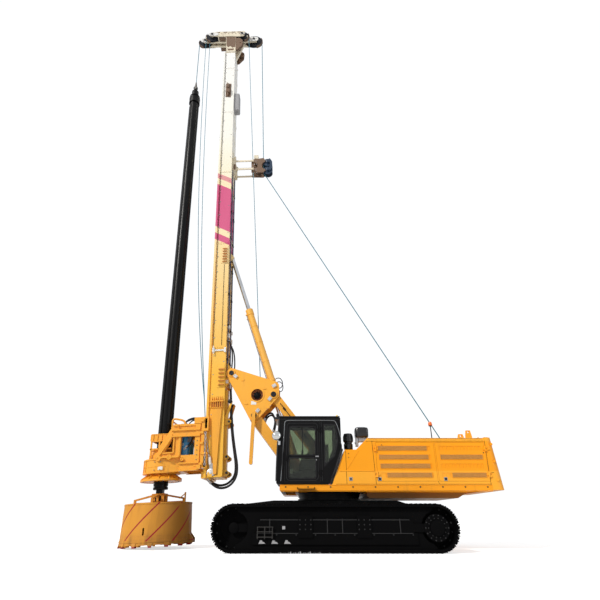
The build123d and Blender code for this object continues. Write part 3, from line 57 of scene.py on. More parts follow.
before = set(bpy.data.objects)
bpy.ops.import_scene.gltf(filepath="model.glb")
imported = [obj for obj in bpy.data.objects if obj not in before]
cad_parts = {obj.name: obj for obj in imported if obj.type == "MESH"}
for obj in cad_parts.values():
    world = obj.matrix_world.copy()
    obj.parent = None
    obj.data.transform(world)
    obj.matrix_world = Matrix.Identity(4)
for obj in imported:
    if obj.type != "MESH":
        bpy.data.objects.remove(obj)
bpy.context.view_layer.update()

# Driving sizes of the rig: places are (x, z) from the slewing axis
SLEW_X = 0.693
PIVOT = (-2.988, 4.825)
MAST_LEAN = math.radians(2.67)
UPPER_PIN = (-1.647, 4.151)
LOWER_PIN = (-2.22, 3.513)
TILT_PIN = (-1.644, 4.403)
BOOM_FOOT = (-0.9, 1.85)
SUPPORT_FOOT = (-0.327, 2.488)
BOOM_CYLINDER_FOOT = (-0.74, 1.7)
LINK_HOLE = (-2.151, 4.135)
LINK_FACE = 0.395
MAST_REAR = -3.171
MAST_FRONT = -3.6
RAIL_REAR = -3.64
MAST_HALF = 0.475
TILT_LUG = (-3.081, 9.2)
KELLY_X = -5.018
SHEAVE_Z = 21.95
FRONT_SHEAVE = 0.3
REAR_SHEAVE = 0.4
THIN_SHEAVE = 0.31
THIN_ROPE_Y = -0.275
ROPE_FALL_X = -1.923
GUIDE_Z = 13.65
GUIDE_WHEEL = 0.175
GUIDE_RISE = 0.215
ROLLER = (-2.19, 4.45)
DRUM = (3.56, 2.11)
DRUM_RADIUS = 0.24
HOUSE_SIDE = 1.5
HOUSE_TOP = 2.7
HOUSE_STEP = 2.38
DECK_TOP = 1.51
DECK_REAR = 4.15
DECK_FRONT = -1.35
CAB_SIDE = -1.5
TRACK_Y = 1.75

PI = math.pi
UP = (0, 0, 1)
DOWN = (0, 0, -1)
ALONG_Y = (0, 1, 0)
NEARWARD = (0, -1, 0)
SHIFT = np.array([SLEW_X, 0, 0])


# Shapes are (vertices, faces): an N x 3 array and a list of vertex index tuples
def join(shapes):
    """One shape from several, each one's indices moved past those before it."""
    vertices = []
    faces = []
    count = 0
    for points, shape_faces in shapes:
        vertices.append(points)
        faces.extend(tuple(index + count for index in face) for face in shape_faces)
        count += len(points)
    return np.concatenate(vertices), faces


def skin(rings, capped=True, closed=True):
    """The surface through rings of points: quads between each ring and the next, and a cap at both ends."""
    rings = np.asarray(rings, float)
    rows, columns = rings.shape[:2]
    row = np.arange(rows - 1)[:, None]
    column = np.arange(columns if closed else columns - 1)[None, :]
    after = (column + 1) % columns
    corner = row * columns
    quads = np.stack(
        [corner + column, corner + after, corner + columns + after, corner + columns + column], -1
    )
    faces = [tuple(quad) for quad in quads.reshape(-1, 4).tolist()]
    if capped:
        faces.append(tuple(range(columns - 1, -1, -1)))
        faces.append(tuple(range((rows - 1) * columns, rows * columns)))
    return rings.reshape(-1, 3), faces


def circle(radius, sides):
    """Points of a circle: (r cos t, r sin t) for sides equal steps of t."""
    turn = np.arange(sides) * 2 * PI / sides
    return np.stack([radius * np.cos(turn), radius * np.sin(turn)], -1)


def rounded(width, height, radius, steps=4):
    """Points of a rectangle whose corners are quarter circles."""
    number = np.arange(4 * steps)
    quarter = number // steps
    turn = quarter * PI / 2 + (number % steps) / (steps - 1) * PI / 2
    centre_x = np.where((quarter == 0) | (quarter == 3), 1, -1) * (width / 2 - radius)
    centre_y = np.where(quarter < 2, 1, -1) * (height / 2 - radius)
    return np.stack([centre_x + radius * np.cos(turn), centre_y + radius * np.sin(turn)], -1)


def unit(vector):
    """A vector made one long."""
    vector = np.asarray(vector, float)
    return vector / np.linalg.norm(vector)


def across(axis):
    """Two unit vectors at right angles to an axis and to each other."""
    axis = unit(axis)
    helper = np.array([0.0, 1.0, 0.0]) if abs(axis[1]) < 0.9 else np.array([1.0, 0.0, 0.0])
    first = unit(np.cross(helper, axis))
    return first, np.cross(axis, first)


def spokes(axis, turns):
    """Unit vectors square to an axis, one for each angle: cos t e + sin t f."""
    first, second = across(axis)
    return np.cos(turns)[:, None] * first + np.sin(turns)[:, None] * second


def turned_outline(centre, turn, corners):
    """Corners (along, over) about a point of a plane, turned by an angle in it."""
    way = np.array([math.cos(turn), math.sin(turn)])
    side = np.array([-way[1], way[0]])
    return [np.asarray(centre) + way * along + side * over for along, over in corners]


def carried(profile, path, up=ALONG_Y, capped=True, closed=True):
    """A closed profile carried along a path and square to it: p(t) + u side(t) + v over(t)."""
    path = np.asarray(path, float)
    tangent = np.gradient(path, axis=0)
    tangent /= np.linalg.norm(tangent, axis=1)[:, None]
    side = np.cross(np.asarray(up, float), tangent)
    side /= np.linalg.norm(side, axis=1)[:, None]
    over = np.cross(tangent, side)
    profile = np.asarray(profile, float)
    rings = (
        path[:, None]
        + profile[None, :, 0, None] * side[:, None]
        + profile[None, :, 1, None] * over[:, None]
    )
    return skin(rings, capped, closed)


def turned(profile, centre, axis, sides=24):
    """A profile of (radius, height) turned about an axis: c + h a + r (cos t e + sin t f)."""
    spoke = spokes(axis, np.arange(sides) * 2 * PI / sides)
    profile = np.asarray(profile, float)
    rings = (
        np.asarray(centre, float)
        + profile[:, 1, None, None] * unit(axis)
        + profile[:, 0, None, None] * spoke[None]
    )
    return skin(rings)


def rod(start, end, radius, edge=0.003, sides=16):
    """A round bar between two points with a small chamfer at each end."""
    start = np.asarray(start, float)
    axis = np.asarray(end, float) - start
    length = np.linalg.norm(axis)
    edge = min(edge, radius / 3, length / 3)
    profile = [(radius - edge, 0), (radius, edge), (radius, length - edge), (radius - edge, length)]
    return turned(profile, start, axis, sides)


def sleeve(start, end, outer, inner, edge=0.003, sides=24):
    """A round tube: a closed (radius, height) section turned about the line between two points."""
    start = np.asarray(start, float)
    axis = np.asarray(end, float) - start
    length = np.linalg.norm(axis)
    section = np.array([
        (inner, 0), (outer - edge, 0), (outer, edge), (outer, length - edge), (outer - edge, length),
        (inner, length),
    ])
    spoke = spokes(axis, np.arange(sides + 1) * 2 * PI / sides)
    rings = start + section[None, :, 1, None] * unit(axis) + section[None, :, 0, None] * spoke[:, None]
    return skin(rings, capped=False)


def hoop(centre, axis, major, minor, sides=32, section=8):
    """A ring: c + (R + r cos v)(cos u e + sin u f) + r sin v a."""
    spoke = spokes(axis, np.arange(sides + 1) * 2 * PI / sides)
    small = np.arange(section) * 2 * PI / section
    reach = major + minor * np.cos(small)
    rings = (
        np.asarray(centre, float)
        + reach[None, :, None] * spoke[:, None]
        + (minor * np.sin(small))[None, :, None] * unit(axis)
    )
    return skin(rings, capped=False)


def inset(outline, distance):
    """An outline moved inwards: each corner goes along its two edges' normals by distance."""
    outline = np.asarray(outline, float)
    ahead = np.roll(outline, -1, 0) - outline
    ahead /= np.linalg.norm(ahead, axis=1)[:, None]
    behind = np.roll(ahead, 1, 0)
    left = np.stack([-ahead[:, 1], ahead[:, 0]], -1)
    left_behind = np.stack([-behind[:, 1], behind[:, 0]], -1)
    area = np.sum(outline[:, 0] * np.roll(outline[:, 1], -1) - np.roll(outline[:, 0], -1) * outline[:, 1])
    bisector = left + left_behind
    scale = 2 * distance / np.maximum(np.sum(bisector**2, axis=1), 0.3)
    return outline + math.copysign(1, area) * bisector * scale[:, None]


def across_plane(outline, level, plane):
    """An outline's points in space, in the plane across one axis at this level."""
    points = np.asarray(outline, float)
    flat = np.full(len(points), float(level))
    order = {
        "y": (points[:, 0], flat, points[:, 1]),
        "x": (flat, points[:, 0], points[:, 1]),
        "z": (points[:, 0], points[:, 1], flat),
    }[plane]
    return np.stack(order, -1)


def slab(outline, low, high, edge=0.004, plane="y"):
    """A plate from its outline, with chamfered rims. plane is the axis across it: x, y or z."""
    thickness = high - low
    edge = min(edge, thickness / 3)
    small = inset(outline, edge)
    whole = np.asarray(outline, float)
    levels = [(small, low), (whole, low + edge), (whole, high - edge), (small, high)]
    return skin([across_plane(points, level, plane) for points, level in levels])


def framed(outer, inner, low, high, plane="y"):
    """A flat frame between two outlines that match point for point: out, across, in and back again."""
    rings = []
    for outline, level in ((outer, low), (outer, high), (inner, high), (inner, low)):
        rings.append(across_plane(outline, level, plane))
    rings = np.stack(rings, 1)
    return skin(np.concatenate([rings, rings[:1]]), capped=False)


def side_bar(section, x, y=0.0):
    """A bar along X between two x, from its section of (height, distance out from the plane y)."""
    section = np.asarray(section)
    return skin([np.stack([np.full(len(section), end), y - section[:, 1], section[:, 0]], -1) for end in x])


def in_plane(flat, y):
    """Points (x, z) set in the plane of one y."""
    return across_plane(flat, y, "y")


def block(x, y, z, edge=0.004):
    """A box between two bounds on each axis, with chamfered rims."""
    corners = [(x[0], z[0]), (x[1], z[0]), (x[1], z[1]), (x[0], z[1])]
    return slab(corners, y[0], y[1], edge)


def oblong(start, end, radius, steps=8):
    """Outline of a link between two points, a half circle round each."""
    start = np.asarray(start, float)
    end = np.asarray(end, float)
    way = math.atan2(end[1] - start[1], end[0] - start[0])
    far = way - PI / 2 + np.arange(steps + 1) * PI / steps
    near = far + PI
    arc_far = end + radius * np.stack([np.cos(far), np.sin(far)], -1)
    arc_near = start + radius * np.stack([np.cos(near), np.sin(near)], -1)
    return np.concatenate([arc_far, arc_near])


def curve_through(points, steps=12):
    """Points on a smooth curve: a quadratic B-spline with these control points, held at both ends."""
    control = np.asarray(points, float)
    middle = (control[:-1] + control[1:]) / 2
    starts = np.concatenate([control[:1], middle[1:-1]])
    ends = np.concatenate([middle[1:-1], control[-1:]])
    hubs = control[1:-1]
    t = np.linspace(0, 1, steps, endpoint=False)[None, :, None]
    arcs = (1 - t) ** 2 * starts[:, None] + 2 * t * (1 - t) * hubs[:, None] + t**2 * ends[:, None]
    return np.concatenate([arcs.reshape(-1, 3), control[-1:]])


def pipe(points, radius, sides=10, steps=10):
    """A bent pipe: a circle carried along the smooth curve of these points."""
    return carried(circle(radius, sides), curve_through(points, steps))


def repeated(shape, places, axis=NEARWARD):
    """A shape drawn at the origin, facing -Y, set at many places and turned to face an axis."""
    points, faces = shape
    first, second = across(axis)
    base = np.stack([first, -unit(axis), second])
    turned_points = points @ base
    places = np.asarray(places, float)
    vertices = (places[:, None] + turned_points[None]).reshape(-1, 3)
    size = len(points)
    all_faces = [
        tuple(index + number * size for index in face) for number in range(len(places)) for face in faces
    ]
    return vertices, all_faces


def bolt_head(radius, height):
    """A hexagon head on a washer, facing -Y: six-sided and round rings stacked along -Y."""
    washer = turned([(radius * 1.25, 0), (radius * 1.25, height * 0.25)], (0, 0, 0), NEARWARD, 10)
    head = turned([
        (radius, height * 0.2), (radius, height * 0.85), (radius * 0.8, height)
    ], (0, 0, 0), NEARWARD, 6)
    return join([washer, head])


def bolt_circle(centre, radius, count, level, plane="y"):
    """Places at equal steps round a circle, in the plane across one axis at this level."""
    return across_plane(np.asarray(centre) + circle(radius, count), level, plane)


def mirrored(shape):
    """The same shape on the other side of the machine."""
    points, faces = shape
    return points * np.array([1, -1, 1]), [face[::-1] for face in faces]


def both(shape):
    """A shape and its mirror image."""
    return join([shape, mirrored(shape)])


def leaned(points):
    """Points of the upright mast turned forward about the mast's pivot."""
    points = np.asarray(points, float)
    dx = points[..., 0] - PIVOT[0]
    dz = points[..., 2] - PIVOT[1]
    x = PIVOT[0] + dx * math.cos(MAST_LEAN) - dz * math.sin(MAST_LEAN)
    z = PIVOT[1] + dx * math.sin(MAST_LEAN) + dz * math.cos(MAST_LEAN)
    return np.stack([x, points[..., 1], z], -1)


def placed(name, data, finish):
    """An object for a mesh or a curve, in the scene and in its finish."""
    piece = bpy.data.objects.new(name, data)
    bpy.context.scene.collection.objects.link(piece)
    data.materials.append(finishes[finish])
    return piece


def smoothed(mesh, degrees):
    """Smooth faces, but for the edges that turn by more than an angle."""
    mesh.polygons.foreach_set("use_smooth", np.ones(len(mesh.polygons), bool))
    mesh.set_sharp_from_angle(angle=math.radians(degrees))


def make(name, shapes, finish, body, slot=None, lean=False, smooth=32, replaces=()):
    """Joins shapes into one piece at the origin, with its faces outwards, and fixes it to a body."""
    points, faces = join(shapes)
    if lean:
        points = leaned(points)
    mesh = bpy.data.meshes.new(name)
    mesh.from_pydata((points + SHIFT).tolist(), [], faces)
    work = bmesh.new()
    work.from_mesh(mesh)
    bmesh.ops.remove_doubles(work, verts=work.verts, dist=1e-5)
    bmesh.ops.recalc_face_normals(work, faces=work.faces)
    work.to_mesh(mesh)
    work.free()
    smoothed(mesh, smooth)
    piece = placed(name, mesh, finish)
    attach(piece, body)
    if replaces:
        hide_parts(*replaces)


on_mast = functools.partial(make, body="mast", lean=True)
on_carriage = functools.partial(make, body="carriage", lean=True)
on_house = functools.partial(make, body="superstructure")


# Finishes
finishes = {}


class Finish:
    """A procedural material that reads Object coordinates, made one socket at a time."""

    def __init__(self, name, metallic=0.0, coat=0.0, specular=0.5):
        self.material = bpy.data.materials.new(name)
        self.material.use_nodes = True
        self.tree = self.material.node_tree
        self.shader = self.tree.nodes["Principled BSDF"]
        self.shader.inputs["Metallic"].default_value = metallic
        self.shader.inputs["Coat Weight"].default_value = coat
        self.shader.inputs["Coat Roughness"].default_value = 0.12
        self.shader.inputs["Specular IOR Level"].default_value = specular
        place = self.make("TexCoord")
        self.place = place.outputs["Object"]
        axes = self.make("SeparateXYZ", {"Vector": self.place})
        self.x, self.y, self.z = axes.outputs
        finishes[name] = self.material

    def make(self, kind, inputs=None, **settings):
        """A node with these settings, its inputs linked to sockets or set to values."""
        node = self.tree.nodes.new("ShaderNode" + kind)
        for key, value in settings.items():
            setattr(node, key, value)
        for key, value in (inputs or {}).items():
            self.feed(node.inputs[key], value)
        return node

    def feed(self, socket, value):
        """Links a socket to an input, or sets the input to a value."""
        if isinstance(value, bpy.types.NodeSocket):
            self.tree.links.new(value, socket)
        else:
            socket.default_value = value

    def sum(self, operation, first, second=0.0):
        """Result of a Math node."""
        return self.make("Math", {0: first, 1: second}, operation=operation).outputs[0]

    def step(self, value, low, high, smooth=True):
        """0 below low, 1 above high and a smooth rise between; high below low turns it round."""
        kind = "SMOOTHSTEP" if smooth else "LINEAR"
        inputs = {"Value": value, "From Min": low, "From Max": high}
        if high < low:
            inputs = {"Value": value, "From Min": high, "From Max": low, "To Min": 1.0, "To Max": 0.0}
        return self.make("MapRange", inputs, interpolation_type=kind).outputs[0]

    def between(self, value, low, high, soft):
        """1 where value lies between low and high."""
        rise = self.step(value, low - soft, low + soft)
        fall = self.step(value, high + soft, high - soft)
        return self.sum("MULTIPLY", rise, fall)

    def noise(self, scale, detail=4.0, stretch=(1, 1, 1)):
        """Noise of the place, finer for a larger scale, stretched along each axis by a smaller share."""
        place = self.make("Mapping", {"Vector": self.place, "Scale": stretch}).outputs[0]
        inputs = {"Vector": place, "Scale": scale, "Detail": detail, "Roughness": 0.55}
        return self.make("TexNoise", inputs).outputs["Fac"]

    def mix(self, share, first, second):
        """Colour between first and second by share."""
        inputs = {0: share, 6: rgba(first), 7: rgba(second)}
        return self.make("Mix", inputs, data_type="RGBA").outputs[2]

    def ramp(self, value, stops):
        """Colour that follows a value through (place, colour) stops."""
        node = self.make("ValToRGB", {"Fac": value})
        marks = node.color_ramp.elements
        while len(marks) < len(stops):
            marks.new(0.5)
        for mark, (place, colour) in zip(marks, stops):
            mark.position = place
            mark.color = rgba(colour)
        return node.outputs["Color"]

    def colour(self, value):
        """The shader's base colour."""
        self.set("Base Color", rgba(value))

    def set(self, socket, value):
        """Feeds one of the shader's inputs."""
        self.feed(self.shader.inputs[socket], value)

    def rough(self, value, low, high):
        """Roughness from low to high as a value goes from 0.3 to 0.7."""
        inputs = {"Value": value, "From Min": 0.3, "From Max": 0.7, "To Min": low, "To Max": high}
        self.set("Roughness", self.make("MapRange", inputs).outputs[0])

    def bump(self, height, distance, strength):
        """Relief that follows a height."""
        inputs = {"Height": height, "Distance": distance, "Strength": strength}
        self.set("Normal", self.make("Bump", inputs).outputs[0])

    def sprayed(self, streaks, low, high, strength=0.25):
        """Roughness that follows the streaks, on the faint orange peel of sprayed paint."""
        self.rough(streaks, low, high)
        self.bump(self.noise(240.0, 2.0), 0.0006, strength)


def rgba(colour):
    """A colour with its opacity, or a socket as it is."""
    if isinstance(colour, bpy.types.NodeSocket):
        return colour
    return (*tuple(colour)[:3], 1.0)


def darker(colour, share):
    """A colour with each of its parts times a share."""
    return tuple(part * share for part in tuple(colour)[:3])


BROWN_GRIME = (0.2, 0.1, 0.03)


def worn(finish, colour, grime, dirt):
    """Paint that varies a little, with streaks that run down it and grime in patches, and its streaks."""
    shadow = colour if isinstance(colour, bpy.types.NodeSocket) else darker(colour, 0.94)
    broad = finish.noise(0.7, 3.0)
    streaks = finish.noise(5.0, 5.0, stretch=(1, 1, 0.12))
    specks = finish.noise(60.0, 3.0)
    base = finish.mix(finish.step(broad, 0.3, 0.7), shadow, colour)
    stained = finish.mix(finish.sum("MULTIPLY", finish.step(streaks, 0.55, 0.85), dirt), base, grime)
    chips = finish.sum("MULTIPLY", finish.step(specks, 0.7, 0.78), finish.step(broad, 0.45, 0.6))
    return finish.mix(finish.sum("MULTIPLY", chips, dirt), stained, darker(grime, 0.7)), streaks


def paint(name, colour, low=0.3, high=0.46, dirt=0.25, coat=0.15, grime=BROWN_GRIME, specular=0.5):
    """Sprayed paint with a faint orange-peel surface."""
    finish = Finish(name, coat=coat, specular=specular)
    shade, streaks = worn(finish, colour, grime, dirt)
    finish.colour(shade)
    finish.sprayed(streaks, low, high)


def metal(name, colour, low, high, scale=40.0, stretch=(1, 1, 1), metallic=1.0):
    """Bare or plated metal, brushed or cast by the scale and stretch of its grain."""
    finish = Finish(name, metallic=metallic)
    grain = finish.noise(scale, 5.0, stretch)
    broad = finish.noise(2.0, 3.0)
    finish.colour(finish.mix(finish.step(broad, 0.35, 0.65), darker(colour, 0.8), colour))
    finish.rough(grain, low, high)
    finish.bump(grain, 0.0008, 0.3)


def soft_part(name, colour, roughness, scale, depth=0.0006):
    """Rubber, plastic or cloth with a fine grain."""
    finish = Finish(name, specular=0.2)
    grain = finish.noise(scale, 4.0)
    finish.colour(finish.mix(finish.step(finish.noise(3.0), 0.35, 0.7), colour, darker(colour, 1.7)))
    finish.rough(grain, roughness - 0.07, roughness + 0.08)
    finish.bump(grain, depth, 0.4)


# Slope of the mast's bands and the x where their heights are given
BAND_SLOPE = 0.5
BAND_X = -2.95
BUCKET_LINES = 9


def mast_paint(colours):
    """Mast paint: deep at the foot and paler towards the head as a painted highlight, with slanted bands.
    """
    finish = Finish("mast_paint", coat=0.12)
    # The paling with height is a painted highlight on the upper mast
    height = finish.step(finish.z, 1.5, 21.5, smooth=False)
    base = finish.ramp(
        height,
        [
            (0.0, colours.mast_low), (0.16, colours.mast_low), (0.28, (0.87, 0.56, 0.17)),
            (0.4, (0.88, 0.67, 0.34)), (0.55, (0.89, 0.8, 0.58)), (0.68, (0.9, 0.88, 0.8)),
            (1.0, (0.93, 0.93, 0.92)),
        ],
    )
    shade, streaks = worn(finish, base, (0.42, 0.24, 0.1), 0.12)
    slant = finish.sum("ADD", finish.z, finish.sum("MULTIPLY", finish.x, BAND_SLOPE))
    offset = BAND_X * BAND_SLOPE
    paint_colour = shade
    for low, high, colour, strength in (
        (9.71, 12.77, (0.86, 0.73, 0.46), 0.8), (9.71, 10.0, colours.stripe, 1.0),
        (10.27, 12.24, colours.stripe, 1.0), (12.53, 12.77, colours.stripe, 0.7),
    ):
        share = finish.between(slant, low + offset, high + offset, 0.01)
        paint_colour = finish.mix(finish.sum("MULTIPLY", share, strength), paint_colour, colour)
    finish.colour(paint_colour)
    finish.sprayed(streaks, 0.32, 0.5, 0.2)


def bucket_paint(colours):
    """Bucket paint: bare yellow with red lines that climb round it as a helix, rust below the weld, and
    painted shade on its +X side.
    """
    finish = Finish("bucket_paint", coat=0.0, specular=0.25)
    centre = leaned(np.array([KELLY_X, 0, 0.7])) + SHIFT
    mapped = finish.make("Mapping", {"Vector": finish.place, "Location": (-centre[0], 0, 0)}).outputs[0]
    x, y, z = finish.make("SeparateXYZ", {"Vector": mapped}).outputs
    turn = finish.sum("ARCTAN2", y, x)
    climb = finish.sum("SUBTRACT", turn, finish.sum("MULTIPLY", z, 1.02))
    cell = finish.sum("FRACT", finish.sum("MULTIPLY", climb, BUCKET_LINES / (2 * PI)))
    wall = finish.sum("MULTIPLY", finish.step(z, 0.19, 0.22), finish.step(z, 1.16, 1.13))
    radius = finish.sum(
        "SQRT", finish.sum("ADD", finish.sum("MULTIPLY", x, x), finish.sum("MULTIPLY", y, y))
    )
    outside = finish.sum("MULTIPLY", wall, finish.step(radius, 0.9, 0.91))
    share = finish.sum("MULTIPLY", finish.between(cell, 0.462, 0.538, 0.006), outside)
    shade, streaks = worn(finish, colours.bucket, (0.22, 0.09, 0.02), 0.45)
    soil = finish.sum("MULTIPLY", finish.step(z, 0.5, 0.15), finish.step(streaks, 0.35, 0.7))
    shade = finish.mix(finish.sum("MULTIPLY", soil, 0.5), shade, (0.16, 0.08, 0.03))
    # Painted shade: the bucket darker towards +X, the side turned away from the sun
    painted_shade_side = finish.sum("MULTIPLY", finish.step(x, -0.2, 1.0), 0.62)
    shade = finish.mix(painted_shade_side, shade, (0.12, 0.045, 0.01))
    finish.colour(finish.mix(share, shade, colours.bucket_line))
    finish.rough(streaks, 0.42, 0.62)
    finish.bump(finish.noise(90.0, 4.0), 0.0015, 0.3)


def house_paint(colours):
    """House paint: a little paler along the roof's edge and below the crease of the sides, as painted
    highlights where these faces catch the light.
    """
    finish = Finish("house_paint", coat=0.05, specular=0.25)
    shade, streaks = worn(finish, colours.house, BROWN_GRIME, 0.25)
    # Painted highlights: paler below the side crease and along the roof's edge
    foot = finish.sum("MULTIPLY", finish.step(finish.z, 1.86, 1.835), 0.4)
    edge = finish.sum("MULTIPLY", finish.step(finish.z, 2.59, 2.61), 0.4)
    pale = finish.sum("ADD", foot, edge)
    finish.colour(finish.mix(pale, shade, (0.98, 0.5, 0.06)))
    finish.sprayed(streaks, 0.3, 0.46)


def deck_paint(colours):
    """Deck paint: the house's colour with some dirt, and dark with painted shade under the sill."""
    finish = Finish("deck_paint", coat=0.05, specular=0.3)
    shade, streaks = worn(finish, colours.house, BROWN_GRIME, 0.4)
    # Painted shade: dark brown below the sill, where the deck's underside is out of the light
    under = finish.sum("MULTIPLY", finish.step(finish.z, 1.345, 1.335), 0.62)
    finish.colour(finish.mix(under, shade, (0.09, 0.045, 0.02)))
    finish.sprayed(streaks, 0.3, 0.46)


def glass_pane(name, tint):
    """Tinted cab glass, a little uneven."""
    finish = Finish(name, specular=0.5)
    ripple = finish.noise(1.2, 2.0)
    finish.colour(finish.mix(finish.step(ripple, 0.3, 0.7), tint, darker(tint, 0.85)))
    finish.set("Transmission Weight", 1.0)
    finish.set("IOR", 1.45)
    finish.rough(ripple, 0.0, 0.03)


def rope_finish(name, colour, pitch):
    """Wire rope: strands that wind round it, read from its own UV map."""
    finish = Finish(name)
    own = finish.make("UVMap", uv_map="strand").outputs[0]
    u, v = finish.make("SeparateXYZ", {"Vector": own}).outputs[:2]
    lay = finish.sum(
        "FRACT", finish.sum("ADD", finish.sum("MULTIPLY", u, 6.0), finish.sum("MULTIPLY", v, 1 / pitch))
    )
    strand = finish.sum("ABSOLUTE", finish.sum("SUBTRACT", lay, 0.5))
    finish.colour(finish.mix(finish.step(strand, 0.3, 0.5), colour, darker(colour, 0.45)))
    finish.rough(strand, 0.35, 0.6)
    finish.bump(strand, 0.004, 0.6)


def make_finishes(colours):
    """All the rig's finishes by name."""
    house_paint(colours)
    deck_paint(colours)
    paint("link_paint", colours.link, dirt=0.3)
    paint("carriage_paint", colours.carriage, dirt=0.45)
    paint("cathead_paint", colours.head, low=0.35, high=0.5, dirt=0.5, grime=(0.1, 0.07, 0.05))
    paint("cylinder_paint", colours.cylinder, dirt=0.25)
    paint(
        "black_paint", colours.black, low=0.24, high=0.42, dirt=0.25, coat=0.0, grime=(0.02, 0.018, 0.015),
        specular=0.12,
    )
    paint(
        "track_paint", (0.0015, 0.0015, 0.0018), low=0.55, high=0.75, dirt=0.2, coat=0.0,
        grime=(0.006, 0.005, 0.004), specular=0.05,
    )
    paint("motor_paint", colours.motor, low=0.25, high=0.42, dirt=0.5, grime=(0.01, 0.02, 0.03))
    paint(
        "kelly_paint", (0.0045, 0.0045, 0.005), low=0.26, high=0.42, dirt=0.15, coat=0.0,
        grime=(0.014, 0.013, 0.012), specular=0.14,
    )
    paint("grey_paint", (0.34, 0.34, 0.35), dirt=0.3)
    paint("white_paint", (0.8, 0.8, 0.78), dirt=0.2)
    paint("shade_paint", (0.17, 0.1, 0.06), low=0.45, high=0.6, dirt=0.4, coat=0.0)
    paint("lamp_orange", (0.85, 0.16, 0.01), low=0.1, high=0.2, dirt=0.05, coat=0.5)
    paint("red_paint", (0.27, 0.008, 0.012), low=0.35, high=0.5, dirt=0.5)
    paint("wedge_paint", (0.6, 0.24, 0.06), dirt=0.4)
    paint("hole_lining", (0.34, 0.1, 0.02), low=0.45, high=0.6, dirt=0.4, coat=0.0)
    paint("louvre_paint", (0.72, 0.35, 0.08), low=0.4, high=0.55, dirt=0.5, specular=0.3)
    paint("louvre_shade", (0.42, 0.21, 0.06), low=0.5, high=0.7, dirt=0.5, coat=0.0)
    # Near black for the cathead's sheaves: painted shade, as the sheaves lie in shadow
    paint(
        "wheel_shade_dark", (0.007, 0.008, 0.014), low=0.4, high=0.6, dirt=0.3, coat=0.0,
        grime=(0.06, 0.035, 0.025), specular=0.2,
    )
    # Bright steel for a painted highlight along the cab's frame
    metal("highlight_trim_steel", (0.34, 0.35, 0.36), 0.16, 0.3, 60.0)
    paint("pipe_blue", (0.055, 0.065, 0.13), low=0.35, high=0.5, dirt=0.3, coat=0.0)
    paint(
        "trim_gloss", (0.007, 0.007, 0.008), low=0.14, high=0.3, dirt=0.15, coat=0.3,
        grime=(0.03, 0.03, 0.03),
    )
    paint("guide_blue", (0.012, 0.035, 0.075), low=0.3, high=0.5, dirt=0.4, grime=(0.03, 0.02, 0.015))
    paint("yellow_lens", (0.85, 0.55, 0.05), low=0.1, high=0.2, dirt=0.05, coat=0.5)
    paint("lamp_face", (0.62, 0.64, 0.64), low=0.05, high=0.12, dirt=0.05, coat=0.6)
    paint("screen_glow", (0.05, 0.1, 0.13), low=0.05, high=0.12, dirt=0.0, coat=0.6)
    metal("tread_steel", (0.05, 0.048, 0.046), 0.38, 0.6, 70.0, metallic=0.7)
    # Grey a little lighter than the track's black: on the frame's ribs a painted highlight along their
    # edges, and on the chain pins and bolts
    paint(
        "rib_grey", (0.02, 0.02, 0.021), low=0.4, high=0.6, dirt=0.2, coat=0.0, grime=(0.01, 0.01, 0.01),
        specular=0.2,
    )
    metal("bare_steel", (0.5, 0.5, 0.51), 0.28, 0.5, 60.0)
    metal("cast_steel", (0.2, 0.19, 0.18), 0.5, 0.7, 90.0)
    metal("chrome_rod", (0.78, 0.8, 0.83), 0.06, 0.16, 25.0, (1, 1, 0.05))
    metal("pin_steel", (0.05, 0.05, 0.055), 0.35, 0.55, 80.0)
    metal("keeper_steel", (0.72, 0.73, 0.74), 0.3, 0.48, 60.0, metallic=0.6)
    metal("mirror_silver", (0.86, 0.88, 0.88), 0.03, 0.06, 8.0)
    metal("chain_steel", (0.62, 0.62, 0.63), 0.25, 0.45, 70.0)
    soft_part("hose_rubber", (0.012, 0.012, 0.013), 0.5, 120.0)
    soft_part("seal_rubber", (0.008, 0.008, 0.009), 0.62, 200.0)
    soft_part("black_plastic", (0.014, 0.014, 0.015), 0.42, 160.0)
    soft_part("seat_cloth", (0.03, 0.03, 0.033), 0.8, 400.0, 0.001)
    soft_part("cab_lining", (0.06, 0.062, 0.062), 0.6, 150.0)
    soft_part("slot_dark", (0.004, 0.004, 0.004), 0.8, 90.0)
    soft_part("fitting_grey", (0.1, 0.1, 0.11), 0.45, 60.0)
    mast_paint(colours)
    bucket_paint(colours)
    glass_pane("cab_glass", (0.34, 0.4, 0.29))
    rope_finish("main_rope", colours.rope, 0.16)
    rope_finish("thin_rope", colours.rope, 0.12)
    metal("winch_rope", (0.16, 0.17, 0.18), 0.4, 0.6, 120.0)


# Strength of the world's light where it is seen or lit through glass, elsewhere, and added for a reflection
SEEN_LIGHT = 1.05
EVEN_LIGHT = 0.44
GLOSSY_LIGHT = 0.25
FLOOR_GLOW = 0.62


def colour_property(name, description, default):
    """A colour among the rig's settings."""
    return bpy.props.FloatVectorProperty(
        name=name, description=description, default=default, subtype="COLOR", size=3, min=0.0, max=1.0
    )


def length_property(name, description, default):
    """A length among the rig's settings."""
    return bpy.props.FloatProperty(
        name=name, description=description, default=default, unit="LENGTH", subtype="DISTANCE", min=0.0
    )


